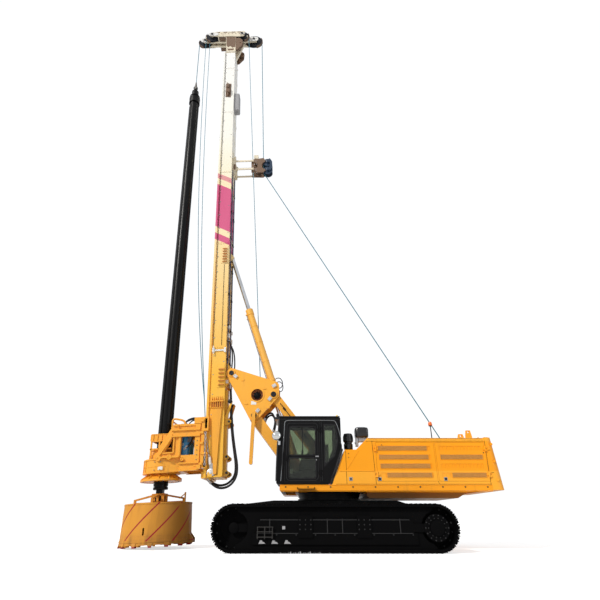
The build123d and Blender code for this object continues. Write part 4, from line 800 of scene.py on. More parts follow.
class RigColours(bpy.types.PropertyGroup):
    """Colours of the rig."""

    house: colour_property(
        "House", "Paint of the engine house, deck and counterweight", (0.95, 0.355, 0.008)
    )
    link: colour_property(
        "Linkage", "Paint of the boom, the arms and the triangular link", (0.92, 0.42, 0.035)
    )
    carriage: colour_property("Carriage", "Paint of the carriage and the rotary drive", (0.86, 0.38, 0.028))
    cylinder: colour_property("Cylinders", "Paint of the cylinders' barrels", (0.9, 0.46, 0.07))
    mast_low: colour_property("Mast foot", "Paint at the foot of the mast", (0.87, 0.47, 0.04))
    head: colour_property("Cathead", "Paint of the cathead and the rope guide", (0.8, 0.72, 0.56))
    stripe: colour_property("Mast bands", "Bands round the mast", (0.62, 0.085, 0.215))
    bucket: colour_property("Bucket", "Paint of the drilling bucket", (0.64, 0.28, 0.032))
    bucket_line: colour_property("Bucket lines", "Lines that climb round the bucket", (0.3, 0.01, 0.018))
    black: colour_property("Cab", "Paint of the cab and the black fittings", (0.0045, 0.0045, 0.005))
    motor: colour_property("Motors", "Paint of the hydraulic motors", (0.02, 0.2, 0.42))
    rope: colour_property("Ropes", "Steel of the wire ropes", (0.035, 0.2, 0.28))


class RigSizes(bpy.types.PropertyGroup):
    """Sizes of the small parts."""

    main_rope: length_property("Main rope", "Diameter of the kelly rope and the winch rope", 0.032)
    thin_rope: length_property("Auxiliary rope", "Diameter of the auxiliary ropes", 0.024)
    hose: length_property("Loop hoses", "Diameter of the two hoses that hang at the mast's foot", 0.064)
    bolt: length_property("Bolt heads", "Radius of the bolt heads on covers and rails", 0.014)
    rail_pitch: length_property("Rail bolts", "Distance between the bolts of the mast's rails", 0.62)
    louvre: length_property("Louvre blade", "Depth of a louvre blade on the house doors", 0.016)
    seam: length_property("Panel seam", "Width of a seam between house panels", 0.01)


def colours():
    """The scene's colours of the rig."""
    return bpy.context.scene.rig_colours


def sizes():
    """The scene's sizes of the rig."""
    return bpy.context.scene.rig_sizes


class RIG_OT_finishes(bpy.types.Operator):
    """Make the finishes and put them on the frame's own parts"""

    bl_idname = "rig.finishes"
    bl_label = "Finishes"

    def execute(self, context):
        make_finishes(colours())
        worn_by = {
            "house_paint": "hood_shell counterweight hood_door_front_left hood_door_front_right"
                           " hood_door_rear_left hood_door_rear_right fuel_tank",
            "deck_paint": "deck_frame",
            "link_paint": "boom support_arm triangle prop_strut",
            "carriage_paint": "carriage gear_case drive_sleeve",
            "cylinder_paint": "boom_cylinder_barrel mast_cylinder_barrels crowd_barrel",
            "mast_paint": "mast",
            "cathead_paint": "cathead rope_guide",
            "bucket_paint": "bucket_shell bucket_floor",
            "black_paint": "cab_shell cab_door roof_fittings car_body slew_ring_upper slew_ring_lower",
            "track_paint": "track_loop_left track_loop_right track_wheels_left track_wheels_right"
                           " track_frame_left track_frame_right",
            "kelly_paint": "kelly_outer kelly_bar kelly_swivel",
            "cast_steel": "winch engine_block",
            "wheel_shade_dark": "rope_wheels",
            "bare_steel": "hook_block",
            "chrome_rod": "boom_cylinder_rod mast_cylinder_rods crowd_rod",
            "cab_glass": "cab_glass cab_door_glass",
            "motor_paint": "drive_motors",
            "hose_rubber": "hose_loop_near hose_loop_far",
            "seat_cloth": "cab_seat",
            "mirror_silver": "mirror",
        }
        for finish, names in worn_by.items():
            for name in names.split():
                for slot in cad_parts[name].material_slots:
                    slot.material = finishes[finish]
        return {"FINISHED"}


class RIG_OT_stage(bpy.types.Operator):
    """Set the camera, the floor, the lamps and the world"""

    bl_idname = "rig.stage"
    bl_label = "Camera and light"

    camera_place: bpy.props.FloatVectorProperty(
        name="Camera", description="Where the camera stands", default=(-0.137, -13.75, 0.744), subtype="XYZ"
    )
    camera_pitch: bpy.props.FloatProperty(
        name="Pitch", description="How far the camera looks up", default=math.radians(26.5), subtype="ANGLE"
    )
    lens: bpy.props.FloatProperty(name="Lens", description="Focal length on a 36 mm sensor", default=26.22)

    def execute(self, context):
        scene = context.scene
        scene.view_settings.view_transform = "Standard"
        view = bpy.data.cameras.new("camera")
        view.lens = self.lens
        view.sensor_width = 36.0
        view.clip_end = 400.0
        camera = bpy.data.objects.new("camera", view)
        camera.location = self.camera_place
        camera.rotation_euler = (PI / 2 + self.camera_pitch, 0, 0)
        scene.collection.objects.link(camera)
        scene.camera = camera
        lamps = (
            ("sun", (-0.62, -0.62, 0.62), 2.75, math.radians(5), (1.0, 0.97, 0.92)),
            ("fill", (0.75, -0.55, 0.3), 0.28, math.radians(30), (0.95, 0.97, 1.0)),
        )
        for name, toward, strength, spread, tint in lamps:
            light = bpy.data.lights.new(name, "SUN")
            light.energy = strength
            light.angle = spread
            light.color = tint
            lamp = bpy.data.objects.new(name, light)
            lamp.rotation_euler = Vector(toward).to_track_quat("Z", "Y").to_euler()
            scene.collection.objects.link(lamp)
        self.make_world(scene)
        self.make_floor(scene)
        return {"FINISHED"}

    def make_world(self, scene):
        """White where the camera, a reflection or glass looks at it, and an even pale light elsewhere."""
        world = bpy.data.worlds.new("world")
        world.use_nodes = True
        tree = world.node_tree
        background = tree.nodes["Background"]
        background.inputs["Color"].default_value = (0.97, 0.98, 1.0, 1.0)
        seen = tree.nodes.new("ShaderNodeLightPath")
        camera_or_glass = tree.nodes.new("ShaderNodeMath")
        camera_or_glass.operation = "MAXIMUM"
        tree.links.new(seen.outputs["Is Camera Ray"], camera_or_glass.inputs[0])
        tree.links.new(seen.outputs["Is Transmission Ray"], camera_or_glass.inputs[1])
        strength = tree.nodes.new("ShaderNodeMapRange")
        strength.inputs["To Min"].default_value = EVEN_LIGHT
        strength.inputs["To Max"].default_value = SEEN_LIGHT
        tree.links.new(camera_or_glass.outputs[0], strength.inputs["Value"])
        shine = tree.nodes.new("ShaderNodeMath")
        shine.operation = "MULTIPLY_ADD"
        shine.inputs[1].default_value = GLOSSY_LIGHT
        tree.links.new(seen.outputs["Is Glossy Ray"], shine.inputs[0])
        tree.links.new(strength.outputs[0], shine.inputs[2])
        tree.links.new(shine.outputs[0], background.inputs["Strength"])
        scene.world = world

    def make_floor(self, scene):
        """A pale disc: the middle point and two rings round it."""
        sides = 96
        rings = [np.column_stack([circle(radius, sides), np.zeros(sides)]) for radius in (0.5, 12.0, 160.0)]
        points, faces = skin(rings, capped=False)
        faces.append(tuple(range(sides)))
        mesh = bpy.data.meshes.new("floor")
        mesh.from_pydata((points - np.array([0, 0, 0.002])).tolist(), [], faces)
        floor = bpy.data.objects.new("floor", mesh)
        scene.collection.objects.link(floor)
        finish = Finish("floor_paper", specular=0.1)
        finish.colour(finish.mix(
            finish.step(finish.noise(0.4), 0.3, 0.7), (0.8, 0.8, 0.8), (0.84, 0.84, 0.84)
        ))
        finish.set("Roughness", 0.9)
        seen = finish.make("LightPath").outputs["Is Camera Ray"]
        glow = finish.make("MapRange", {"Value": seen, "To Min": 0.0, "To Max": FLOOR_GLOW}).outputs[0]
        finish.set("Emission Color", (1.0, 1.0, 1.0, 1.0))
        finish.set("Emission Strength", glow)
        mesh.materials.append(finish.material)


# Hoses that hang in a loop at the mast's foot, as (x, z) from the slewing axis
NEAR_HOSE = [
    (-3.01, 4.48), (-2.965, 4.08), (-2.905, 3.5), (-2.83, 2.95),
    (-2.72, 2.43), (-2.64, 2.08), (-2.65, 1.79), (-2.81, 1.56),
    (-3.06, 1.48), (-3.3, 1.56), (-3.445, 1.722),
]
FAR_HOSE = [
    (-3.02, 4.48), (-2.99, 4.08), (-2.94, 3.5), (-2.87, 2.98),
    (-2.77, 2.47), (-2.7, 2.13), (-2.7, 1.85), (-2.85, 1.64),
    (-3.075, 1.56), (-3.3, 1.61), (-3.44, 1.712),
]


def smooth_route(name, points):
    """A NURBS curve with these control points, held at both ends."""
    curve = bpy.data.curves.new(name, "CURVE")
    curve.dimensions = "3D"
    curve.resolution_u = 12
    spline = curve.splines.new("NURBS")
    spline.points.add(len(points) - 1)
    flat = np.column_stack([points + SHIFT, np.ones(len(points))])
    spline.points.foreach_set("co", flat.astype(np.float32).ravel())
    spline.order_u = 3
    spline.use_endpoint_u = True
    return curve


def hose_ends(points):
    """Both ends of a hose, each with the way in which the hose leaves it."""
    pairs = ((points[0], points[1]), (points[-1], points[-2]))
    return [(end, unit(before - end)) for end, before in pairs]


def free_hose(name, points, diameter, body, lean=False):
    """A hose that hangs free between two fittings, its length worked out along its own curve."""
    points = leaned(points) if lean else np.asarray(points, float)
    length = float(np.sum(np.linalg.norm(np.diff(curve_through(points, 24), axis=0), axis=1)))
    hose(name, points, diameter, length, body)
    ends = []
    for end, way in hose_ends(points):
        ends.append(sleeve(
            end - way * 0.012, end + way * diameter * 1.6, diameter * 0.72, diameter * 0.51, 0.002, 14
        ))
        ends.append(turned([
            (diameter * 0.8, 0), (diameter * 0.8, diameter * 0.5)
        ], end - way * 0.006, way, 6))
    make(name + "_ends", ends, "bare_steel", body)


def hose(name, points, diameter, length, body, replaces=()):
    """A hose on a smooth route, held at both ends."""
    curve = smooth_route(name, points)
    curve.bevel_depth = diameter / 2
    curve.bevel_resolution = 4
    curve.use_fill_caps = True
    piece = placed(name, curve, "hose_rubber")
    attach(piece, body)
    if replaces:
        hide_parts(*replaces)


class RIG_OT_hoses(bpy.types.Operator):
    """Make the two hoses that hang in a loop at the mast's foot"""

    bl_idname = "rig.hoses"
    bl_label = "Loop hoses"

    def execute(self, context):
        loops = (
            ("hanging_hose_near", in_plane(NEAR_HOSE, -0.28), 3.705, "hose_loop_near"),
            ("hanging_hose_far", in_plane(FAR_HOSE, -0.205), 3.532, "hose_loop_far"),
        )
        for name, points, length, node in loops:
            hose(name, points, sizes().hose, length, "mast", replaces=(node,))
            shapes = []
            for end, way in hose_ends(points):
                shapes.append(sleeve(end - way * 0.05, end + way * 0.14, 0.043, 0.0325, 0.005))
                shapes.append(hoop(end + way * 0.1, way, 0.043, 0.006))
                shapes.append(turned([(0.05, 0), (0.05, 0.03)], end - way * 0.01, way, 6))
            make(name + "_ends", shapes, "bare_steel", "mast")
        return {"FINISHED"}
# Ropes
def around(wheels, steps=10):
    """A rope's line round wheels given as (x, z, radius, turn), turn 1 where it runs from x towards z.

    On the way d = (cos a, sin a) from one wheel to the next it touches each at C + turn r (sin a, -cos a),
    which holds where a = the angle between the centres + asin((r1 turn1 - r2 turn2) / their distance).
    """
    ways = []
    for (x, z, radius, turn), (next_x, next_z, next_radius, next_turn) in zip(wheels[:-1], wheels[1:]):
        gap = math.hypot(next_x - x, next_z - z)
        bend = math.asin((radius * turn - next_radius * next_turn) / gap)
        ways.append(math.atan2(next_z - z, next_x - x) + bend)
    points = []
    for number, (x, z, radius, turn) in enumerate(wheels):
        before = ways[max(number - 1, 0)]
        after = ways[min(number, len(ways) - 1)]
        sweep = (after - before) * turn % (2 * PI)
        angles = before + turn * np.linspace(0, sweep, steps if 0 < number < len(wheels) - 1 else 1)
        points.extend(
            (x + turn * radius * math.sin(way), z - turn * radius * math.cos(way)) for way in angles
        )
    return np.array(points)


def rope(name, path, diameter, finish, sides=8):
    """A rope carried along its line, with a map named strand: u goes round it and v is metres along it."""
    path = np.asarray(path, float) + SHIFT
    points, faces = carried(circle(diameter / 2, sides), path)
    mesh = bpy.data.meshes.new(name)
    mesh.from_pydata(points.tolist(), [], faces)
    steps = np.linalg.norm(np.diff(path, axis=0), axis=1)
    along = np.concatenate([[0.0], np.cumsum(steps)])
    row = np.repeat(np.arange(len(steps)), sides)
    column = np.tile(np.arange(sides), len(steps))
    u = np.stack([column, column + 1, column + 1, column], -1) / sides
    v = np.stack([along[row], along[row], along[row + 1], along[row + 1]], -1)
    strand = np.zeros((len(mesh.loops), 2))
    strand[: 4 * len(row)] = np.stack([u, v], -1).reshape(-1, 2)
    mesh.uv_layers.new(name="strand").data.foreach_set("uv", strand.ravel())
    smoothed(mesh, 50)
    piece = placed(name, mesh, finish)
    return piece


def leaned_wheel(x, z, radius, turn):
    """A wheel for around, from its place in the upright mast."""
    centre = leaned(np.array([x, 0, z]))
    return (centre[0], centre[2], radius, turn)


def stretched(piece):
    """A straight rope with its place baked into its points."""
    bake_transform(piece)


def chain(start, end, pitch, wire):
    """Oval links between two points, each turned a quarter against the one before it."""
    start = np.asarray(start, float)
    end = np.asarray(end, float)
    count = max(int(round(np.linalg.norm(end - start) / pitch)), 1)
    way = unit(end - start)
    first, second = across(way)
    links = []
    for number in range(count):
        middle = start + (end - start) * (number + 0.5) / count
        side = first if number % 2 else second
        oval = oblong((-pitch * 0.32, 0), (pitch * 0.32, 0), pitch * 0.3, 4)
        path = middle + oval[:, :1] * way + oval[:, 1:] * side
        path = np.concatenate([path, path[:2]])
        rings = carried(circle(wire, 6), path, np.cross(way, side), capped=False)[0].reshape(-1, 6, 3)[1:]
        rings[0] = rings[-1] = (rings[0] + rings[-1]) / 2
        links.append(skin(rings, capped=False))
    return join(links)


def wound(centre, radius, half, wire):
    """Rope wound on a drum: one (radius, height) profile, r = R + w |cos(pi h / 2w)|, turned about Y."""
    height = np.linspace(-half, half, int(half / wire) * 4 + 1)
    reach = radius + wire * np.abs(np.cos(PI * height / (2 * wire)))
    profile = np.stack([reach, height], -1)
    return turned(profile, centre, ALONG_Y, 28)


FOOT_ROPE_END = (-3.612, -0.462, 3.0)
SLACK_FOOT = (-3.744, -0.45, 3.94)
SLACK_BEND = 0.15
THIN_FRONT_X = -4.63
THIN_REAR_X = -2.553


def slack_line(head, gap, steps=40):
    """The slack rope in front of the mast, steep at its head and slanting at its foot.

    h metres above the foot it has come forward by the share ln(1 + c h) / ln(1 + c H) of its whole run.
    """
    foot_x, foot_y, foot_z = SLACK_FOOT
    height = np.linspace(0, head[2] - foot_z, steps)
    share = height / height[-1]
    forward = np.log(1 + SLACK_BEND * height)
    x = foot_x - forward * (foot_x - head[0]) / forward[-1] + gap * np.sqrt(share) * (1 - share)
    y = foot_y + share * (head[1] - foot_y)
    z = foot_z + height
    return np.concatenate([[FOOT_ROPE_END], np.stack([x, y, z], -1)])


class RIG_OT_ropes(bpy.types.Operator):
    """Make the kelly rope, the winch rope, the auxiliary ropes and what they end in"""

    bl_idname = "rig.ropes"
    bl_label = "Ropes"

    def execute(self, context):
        self.main_ropes(sizes().main_rope)
        self.thin_ropes(sizes().thin_rope)
        return {"FINISHED"}

    def main_ropes(self, thick):
        """The kelly rope from its socket over the cathead and down to the winch, and the winch's coils."""
        top = leaned(np.array([KELLY_X, 0, SHEAVE_Z - 0.02]))
        wheels = [
            (top[0], top[2], 0, 1),
            leaned_wheel(KELLY_X + FRONT_SHEAVE, SHEAVE_Z, FRONT_SHEAVE, -1),
            leaned_wheel(ROPE_FALL_X - REAR_SHEAVE, SHEAVE_Z, REAR_SHEAVE, -1),
            leaned_wheel(ROPE_FALL_X + GUIDE_WHEEL, GUIDE_Z + GUIDE_RISE, GUIDE_WHEEL, 1),
            leaned_wheel(ROPE_FALL_X + GUIDE_WHEEL, GUIDE_Z - GUIDE_RISE, GUIDE_WHEEL, 1),
            (*DRUM, DRUM_RADIUS + thick / 2, -1),
        ]
        line = in_plane(around(wheels), 0)
        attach(rope("main_rope_head", line[:-1], thick, "main_rope"), "mast")
        low = line[-2:].copy()
        low[1] += unit(low[1] - low[0]) * 0.18
        stretched(rope("main_rope_winch", low[::-1], thick, "main_rope"))
        hang = leaned(np.array([[KELLY_X, 0, SHEAVE_Z], [KELLY_X, 0, 18.78]]))
        stretched(rope("kelly_rope", hang, thick, "main_rope"))
        socket = [(0.016, 0.3), (0.03, 0.29), (0.034, 0.2), (0.052, 0.08), (0.055, 0.0), (0.02, -0.01)]
        cheeks = [
            block((KELLY_X - 0.05, KELLY_X + 0.05), (y, y + 0.016), (18.56, 18.8)) for y in (-0.045, 0.029)
        ]
        pin = rod((KELLY_X, -0.06, 18.6), (KELLY_X, 0.06, 18.6), 0.022)
        shapes = [turned(socket, (KELLY_X, 0, 18.76), UP, 18), pin, *cheeks]
        make("kelly_rope_socket", shapes, "cast_steel", "kelly_swivel", lean=True)
        on_house("winch_coils", [wound((DRUM[0], 0, DRUM[1]), DRUM_RADIUS, 0.3, 0.016)], "winch_rope")

    def thin_ropes(self, thin):
        """The auxiliary ropes, the roller behind the mast and what hangs at their end."""
        rear = [
            leaned_wheel(THIN_FRONT_X + THIN_SHEAVE, SHEAVE_Z, THIN_SHEAVE, -1),
            leaned_wheel(THIN_REAR_X - THIN_SHEAVE, SHEAVE_Z, THIN_SHEAVE, -1),
        ]
        entry = leaned(np.array([THIN_FRONT_X, THIN_ROPE_Y, SHEAVE_Z]))
        roller = (*ROLLER, 0.1, -1)
        over = in_plane(around([(entry[0], entry[2] - 0.03, 0, 1), *rear, roller]), THIN_ROPE_Y)
        front = slack_line(entry, 0.0)
        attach(rope("front_rope", np.concatenate([front, over[1:-1]]), thin, "thin_rope"), "mast")
        tail = over[-2:].copy()
        tail[1, 1] = 0.0
        stretched(rope("rear_rope", tail, thin, "thin_rope"))
        second = leaned(np.array([-4.455, THIN_ROPE_Y + 0.06, SHEAVE_Z - 0.12]))
        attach(rope("front_rope_second", slack_line(second, 0.1), thin, "thin_rope"), "mast")
        x, z = ROLLER
        steel = [
            turned([
                (0.085, -0.03), (0.1, -0.03), (0.088, 0), (0.1, 0.03), (0.085, 0.03)
            ], (x, 0, z), ALONG_Y),
            rod((x, -0.334, z), (x, 0.334, z), 0.03),
            sleeve((x, -0.334, z), (x, -0.26, z), 0.055, 0.031),
        ]
        make("rear_rope_roller", steel, "cast_steel", "triangle")
        links = chain((-3.606, -0.462, 2.99), (-3.47, -0.462, 2.33), 0.062, 0.0085)
        thimble = hoop((-3.608, -0.462, 2.985), ALONG_Y, 0.034, 0.011, 20, 6)
        make("foot_chain", [links, thimble], "chain_steel", "mast")
        swivel = [
            turned([
                (0.02, 0), (0.048, 0.012), (0.054, 0.05), (0.054, 0.2), (0.046, 0.235), (0.018, 0.25)
            ], (-3.392, -0.462, 2.09), (-0.22, 0, 0.97), 20),
            hoop((-3.455, -0.462, 2.345), ALONG_Y, 0.026, 0.009, 16, 6),
        ]
        make("foot_swivel", swivel, "white_paint", "mast")
        block_trim = [
            turned([
                (0.108, 0), (0.108, 0.01), (0.09, 0.018), (0.045, 0.018), (0.04, 0.03), (0.012, 0.034)
            ], (-3.359, -0.495, 1.89), NEARWARD, 28),
            repeated(bolt_head(0.01, 0.01), bolt_circle((-3.359, 1.89), 0.075, 6, -0.512)),
        ]
        make("hook_block_trim", block_trim, "keeper_steel", "mast")


# Linkage
def pin_cap(place, radius, face):
    """End of a pin on a plate's near face: a boss, the round pin and its recess, turned about Y."""
    x, z = place
    boss = turned([
        (radius + 0.052, 0), (radius + 0.052, 0.016), (radius + 0.044, 0.024), (radius + 0.006, 0.024),
        (radius + 0.006, 0.004),
    ], (x, -face, z), NEARWARD, 32)
    pin = turned([
        (radius + 0.004, 0), (radius + 0.004, 0.04), (radius - 0.006, 0.05), (radius * 0.45, 0.05),
        (radius * 0.38, 0.04), (radius * 0.12, 0.04), (radius * 0.1, 0.052),
    ], (x, -face, z), NEARWARD, 32)
    return boss, pin


def keeper(place, turn, size, face):
    """Plate that holds a pin, with a bolt towards each of two edges, turned in its own plane."""
    corners = [(-size, -size * 0.8), (size, -size * 0.8), (size, size * 0.8), (-size, size * 0.8)]
    plate = slab(turned_outline(place, turn, corners), -face - 0.046, -face - 0.001)
    bolts = in_plane(turned_outline(place, turn, [(-size * 0.55, 0), (size * 0.55, 0)]), -face - 0.046)
    return join([plate, repeated(bolt_head(0.012, 0.012), bolts)])


def offset(place, turn, distance):
    """The point (x, z) at a distance and an angle from a place."""
    return (place[0] + distance * math.cos(turn), place[1] + distance * math.sin(turn))


class RIG_OT_linkage(bpy.types.Operator):
    """Make the pins, keepers and bosses of the linkage, and the hub in the triangular link"""

    bl_idname = "rig.linkage"
    bl_label = "Linkage"

    def execute(self, context):
        # By body, the face its pins stand on and (pin, radius, the way to its keeper in degrees)
        pins = {
            "triangle": (LINK_FACE, ((PIVOT, 0.072, -38), (UPPER_PIN, 0.078, 232), (LOWER_PIN, 0.078, 52))),
            "superstructure": (LINK_FACE + 0.036, ((BOOM_FOOT, 0.06, 200), (SUPPORT_FOOT, 0.06, 20))),
        }
        for body, (face, places) in pins.items():
            bosses, caps, keepers = [], [], []
            for place, radius, way in places:
                boss, pin = pin_cap(place, radius, face)
                bosses.append(both(boss))
                caps.append(both(pin))
                turn = math.radians(way)
                keepers.append(both(keeper(offset(place, turn, radius + 0.098), turn, 0.062, face)))
            if body == "triangle":
                keepers.append(both(keeper(
                    offset(TILT_PIN, math.radians(60), 0.02), math.radians(30), 0.064, LINK_FACE
                )))
            make(body + "_pin_bosses", bosses, "link_paint", body)
            make(body + "_pins", caps, "pin_steel", body)
            make(body + "_keepers", keepers, "keeper_steel", body)
        self.hub()
        self.edges()
        return {"FINISHED"}

    def hub(self):
        """The black, ribbed drive end in the triangular link's hole, and the hole's rusty lining."""
        x, z = LINK_HOLE
        lining = sleeve((x, -0.388, z), (x, -0.1, z), 0.1895, 0.182, 0.002, 40)
        ring = sleeve((x, -0.408, z), (x, -0.392, z), 0.226, 0.186, 0.003, 40)
        floor = sleeve((x, -0.3, z), (x, -0.27, z), 0.1885, 0.1, 0.003, 40)
        make("hub_lining", [both(lining), both(floor)], "hole_lining", "triangle")
        make("hub_ring", [both(ring)], "link_paint", "triangle")
        drum = turned([
            (0.104, -0.27), (0.104, -0.33), (0.085, -0.34), (0.05, -0.345), (0.045, -0.372), (0.02, -0.376)
        ], (x, 0, z), ALONG_Y, 32)
        ribs = []
        for turn in np.arange(8) * PI / 4 + 0.2:
            corners = ((0.04, 0.013), (0.04, -0.013), (0.122, -0.01), (0.122, 0.01))
            ribs.append(slab(turned_outline(LINK_HOLE, turn, corners), -0.362, -0.3, 0.003))
        heads = repeated(bolt_head(0.009, 0.01), bolt_circle(LINK_HOLE, 0.148, 12, -0.3))
        make("hub", [both(drum), both(join(ribs)), both(heads)], "black_paint", "triangle")

    def edges(self):
        """Lugs and a bare plate on the triangular link, and the clamps and hoses of the support arm."""
        plate = slab([
            (-2.325, 3.835), (-2.165, 3.835), (-2.165, 3.945), (-2.325, 3.945)
        ], -0.402, -0.3945, 0.002)
        make("link_plate", [plate], "white_paint", "triangle")
        lugs = []
        for x, z in ((-2.62, 4.6), (-1.93, 4.33), (-2.47, 3.86), (-1.8, 3.74)):
            lugs.append(both(slab(oblong((x - 0.03, z), (x + 0.03, z), 0.022, 5), -0.412, -0.394, 0.003)))
        make("link_lugs", lugs, "link_paint", "triangle")
        foot = np.array(SUPPORT_FOOT)
        arm = np.array(UPPER_PIN) - foot
        turn = math.atan2(arm[1], arm[0])
        pads = []
        for share in (0.26, 0.42, 0.58, 0.74):
            corners = [(-0.05, -0.03), (0.05, -0.03), (0.05, 0.03), (-0.05, 0.03)]
            pads.append(both(slab(turned_outline(foot + arm * share, turn, corners), -0.345, -0.324)))
        make("arm_clamps", pads, "black_plastic", "support_arm")
        for number, y in enumerate((-0.351, -0.375)):
            line = in_plane([foot + arm * share for share in (0.16, 0.4, 0.6, 0.84)], y)
            make(f"arm_hose_{number}", [pipe(line, 0.011)], "hose_rubber", "support_arm")


class RIG_OT_cylinders(bpy.types.Operator):
    """Make the glands, ports, pipes and hoses of the boom and mast cylinders"""

    bl_idname = "rig.cylinders"
    bl_label = "Cylinders"

    def execute(self, context):
        foot = np.array([TILT_PIN[0], 0, TILT_PIN[1]])
        lug = leaned(np.array([TILT_LUG[0], 0, TILT_LUG[1]]))
        way = unit(lug - foot)
        side = np.cross(way, ALONG_Y)
        shapes, lines = [], []
        for y in (-0.18, 0.18):
            base = foot + np.array([0, y, 0])
            shapes.append(sleeve(base + way * 2.66, base + way * 2.872, 0.126, 0.1125, 0.006, 28))
            shapes.append(sleeve(base + way * 0.22, base + way * 0.3, 0.124, 0.1125, 0.004, 28))
            for reach in (0.9, 1.6, 2.2):
                shapes.append(sleeve(base + way * reach, base + way * (reach + 0.05), 0.118, 0.1125))
            line = [base + side * 0.135 + way * reach for reach in (0.28, 0.5, 1.5, 2.5, 2.74)]
            lines.append(pipe(line, 0.012))
            for reach in (0.34, 2.72):
                shapes.append(rod(
                    base + way * reach + side * 0.1, base + way * reach + side * 0.165, 0.026
                ))
        make("tilt_barrel_fittings", shapes, "cylinder_paint", "mast_barrels")
        make("tilt_barrel_pipes", lines, "bare_steel", "mast_barrels")
        top = np.array([UPPER_PIN[0], 0, UPPER_PIN[1]])
        low = np.array([BOOM_CYLINDER_FOOT[0], 0, BOOM_CYLINDER_FOOT[1]])
        way = unit(top - low)
        side = np.cross(way, ALONG_Y)
        shapes = [
            sleeve(low + way * 1.42, low + way * 1.575, 0.124, 0.1105, 0.006, 28),
            sleeve(low + way * 0.2, low + way * 0.27, 0.122, 0.1105, 0.004, 28),
            rod(low + way * 1.47 + side * 0.1, low + way * 1.47 + side * 0.165, 0.026),
        ]
        make("boom_barrel_fittings", shapes, "cylinder_paint", "boom_barrel")
        line = [low + side * 0.135 + way * reach for reach in (0.25, 0.5, 0.9, 1.3, 1.49)]
        make("boom_barrel_pipe", [pipe(line, 0.013)], "bare_steel", "boom_barrel")
        for number, y in enumerate((-0.215, 0.215)):
            loop = [
                (-1.612, y, 4.69), (-1.52, y, 4.745), (-1.4, y, 4.66), (-1.375, y, 4.5), (-1.43, y, 4.385),
                (-1.53, y, 4.395),
            ]
            free_hose(f"tilt_hose_{number}", loop, 0.026, "mast_barrels")
        for number, y in enumerate((-0.18, -0.124, 0.16)):
            loop = [
                (-1.93, y, 3.4), (-1.87, y, 3.56), (-1.7, y, 3.66), (-1.6, y, 3.48), (-1.585, y, 3.28),
                (-1.65, y, 3.046),
            ]
            free_hose(f"boom_hose_{number}", loop, 0.052, "boom")
        return {"FINISHED"}


# Mast and cathead
def ribs_on(x, z, count, rise, y, reach):
    """A stack of wedge ribs on the mast's near side, from x bounds, each reaching out less at its top."""
    shapes = []
    for low in z + rise * np.arange(count):
        foot = low + rise * 0.35
        shapes.append(side_bar([(low, 0), (foot, 0), (foot, reach * 0.25), (low, reach)], x, y))
    return join(shapes)


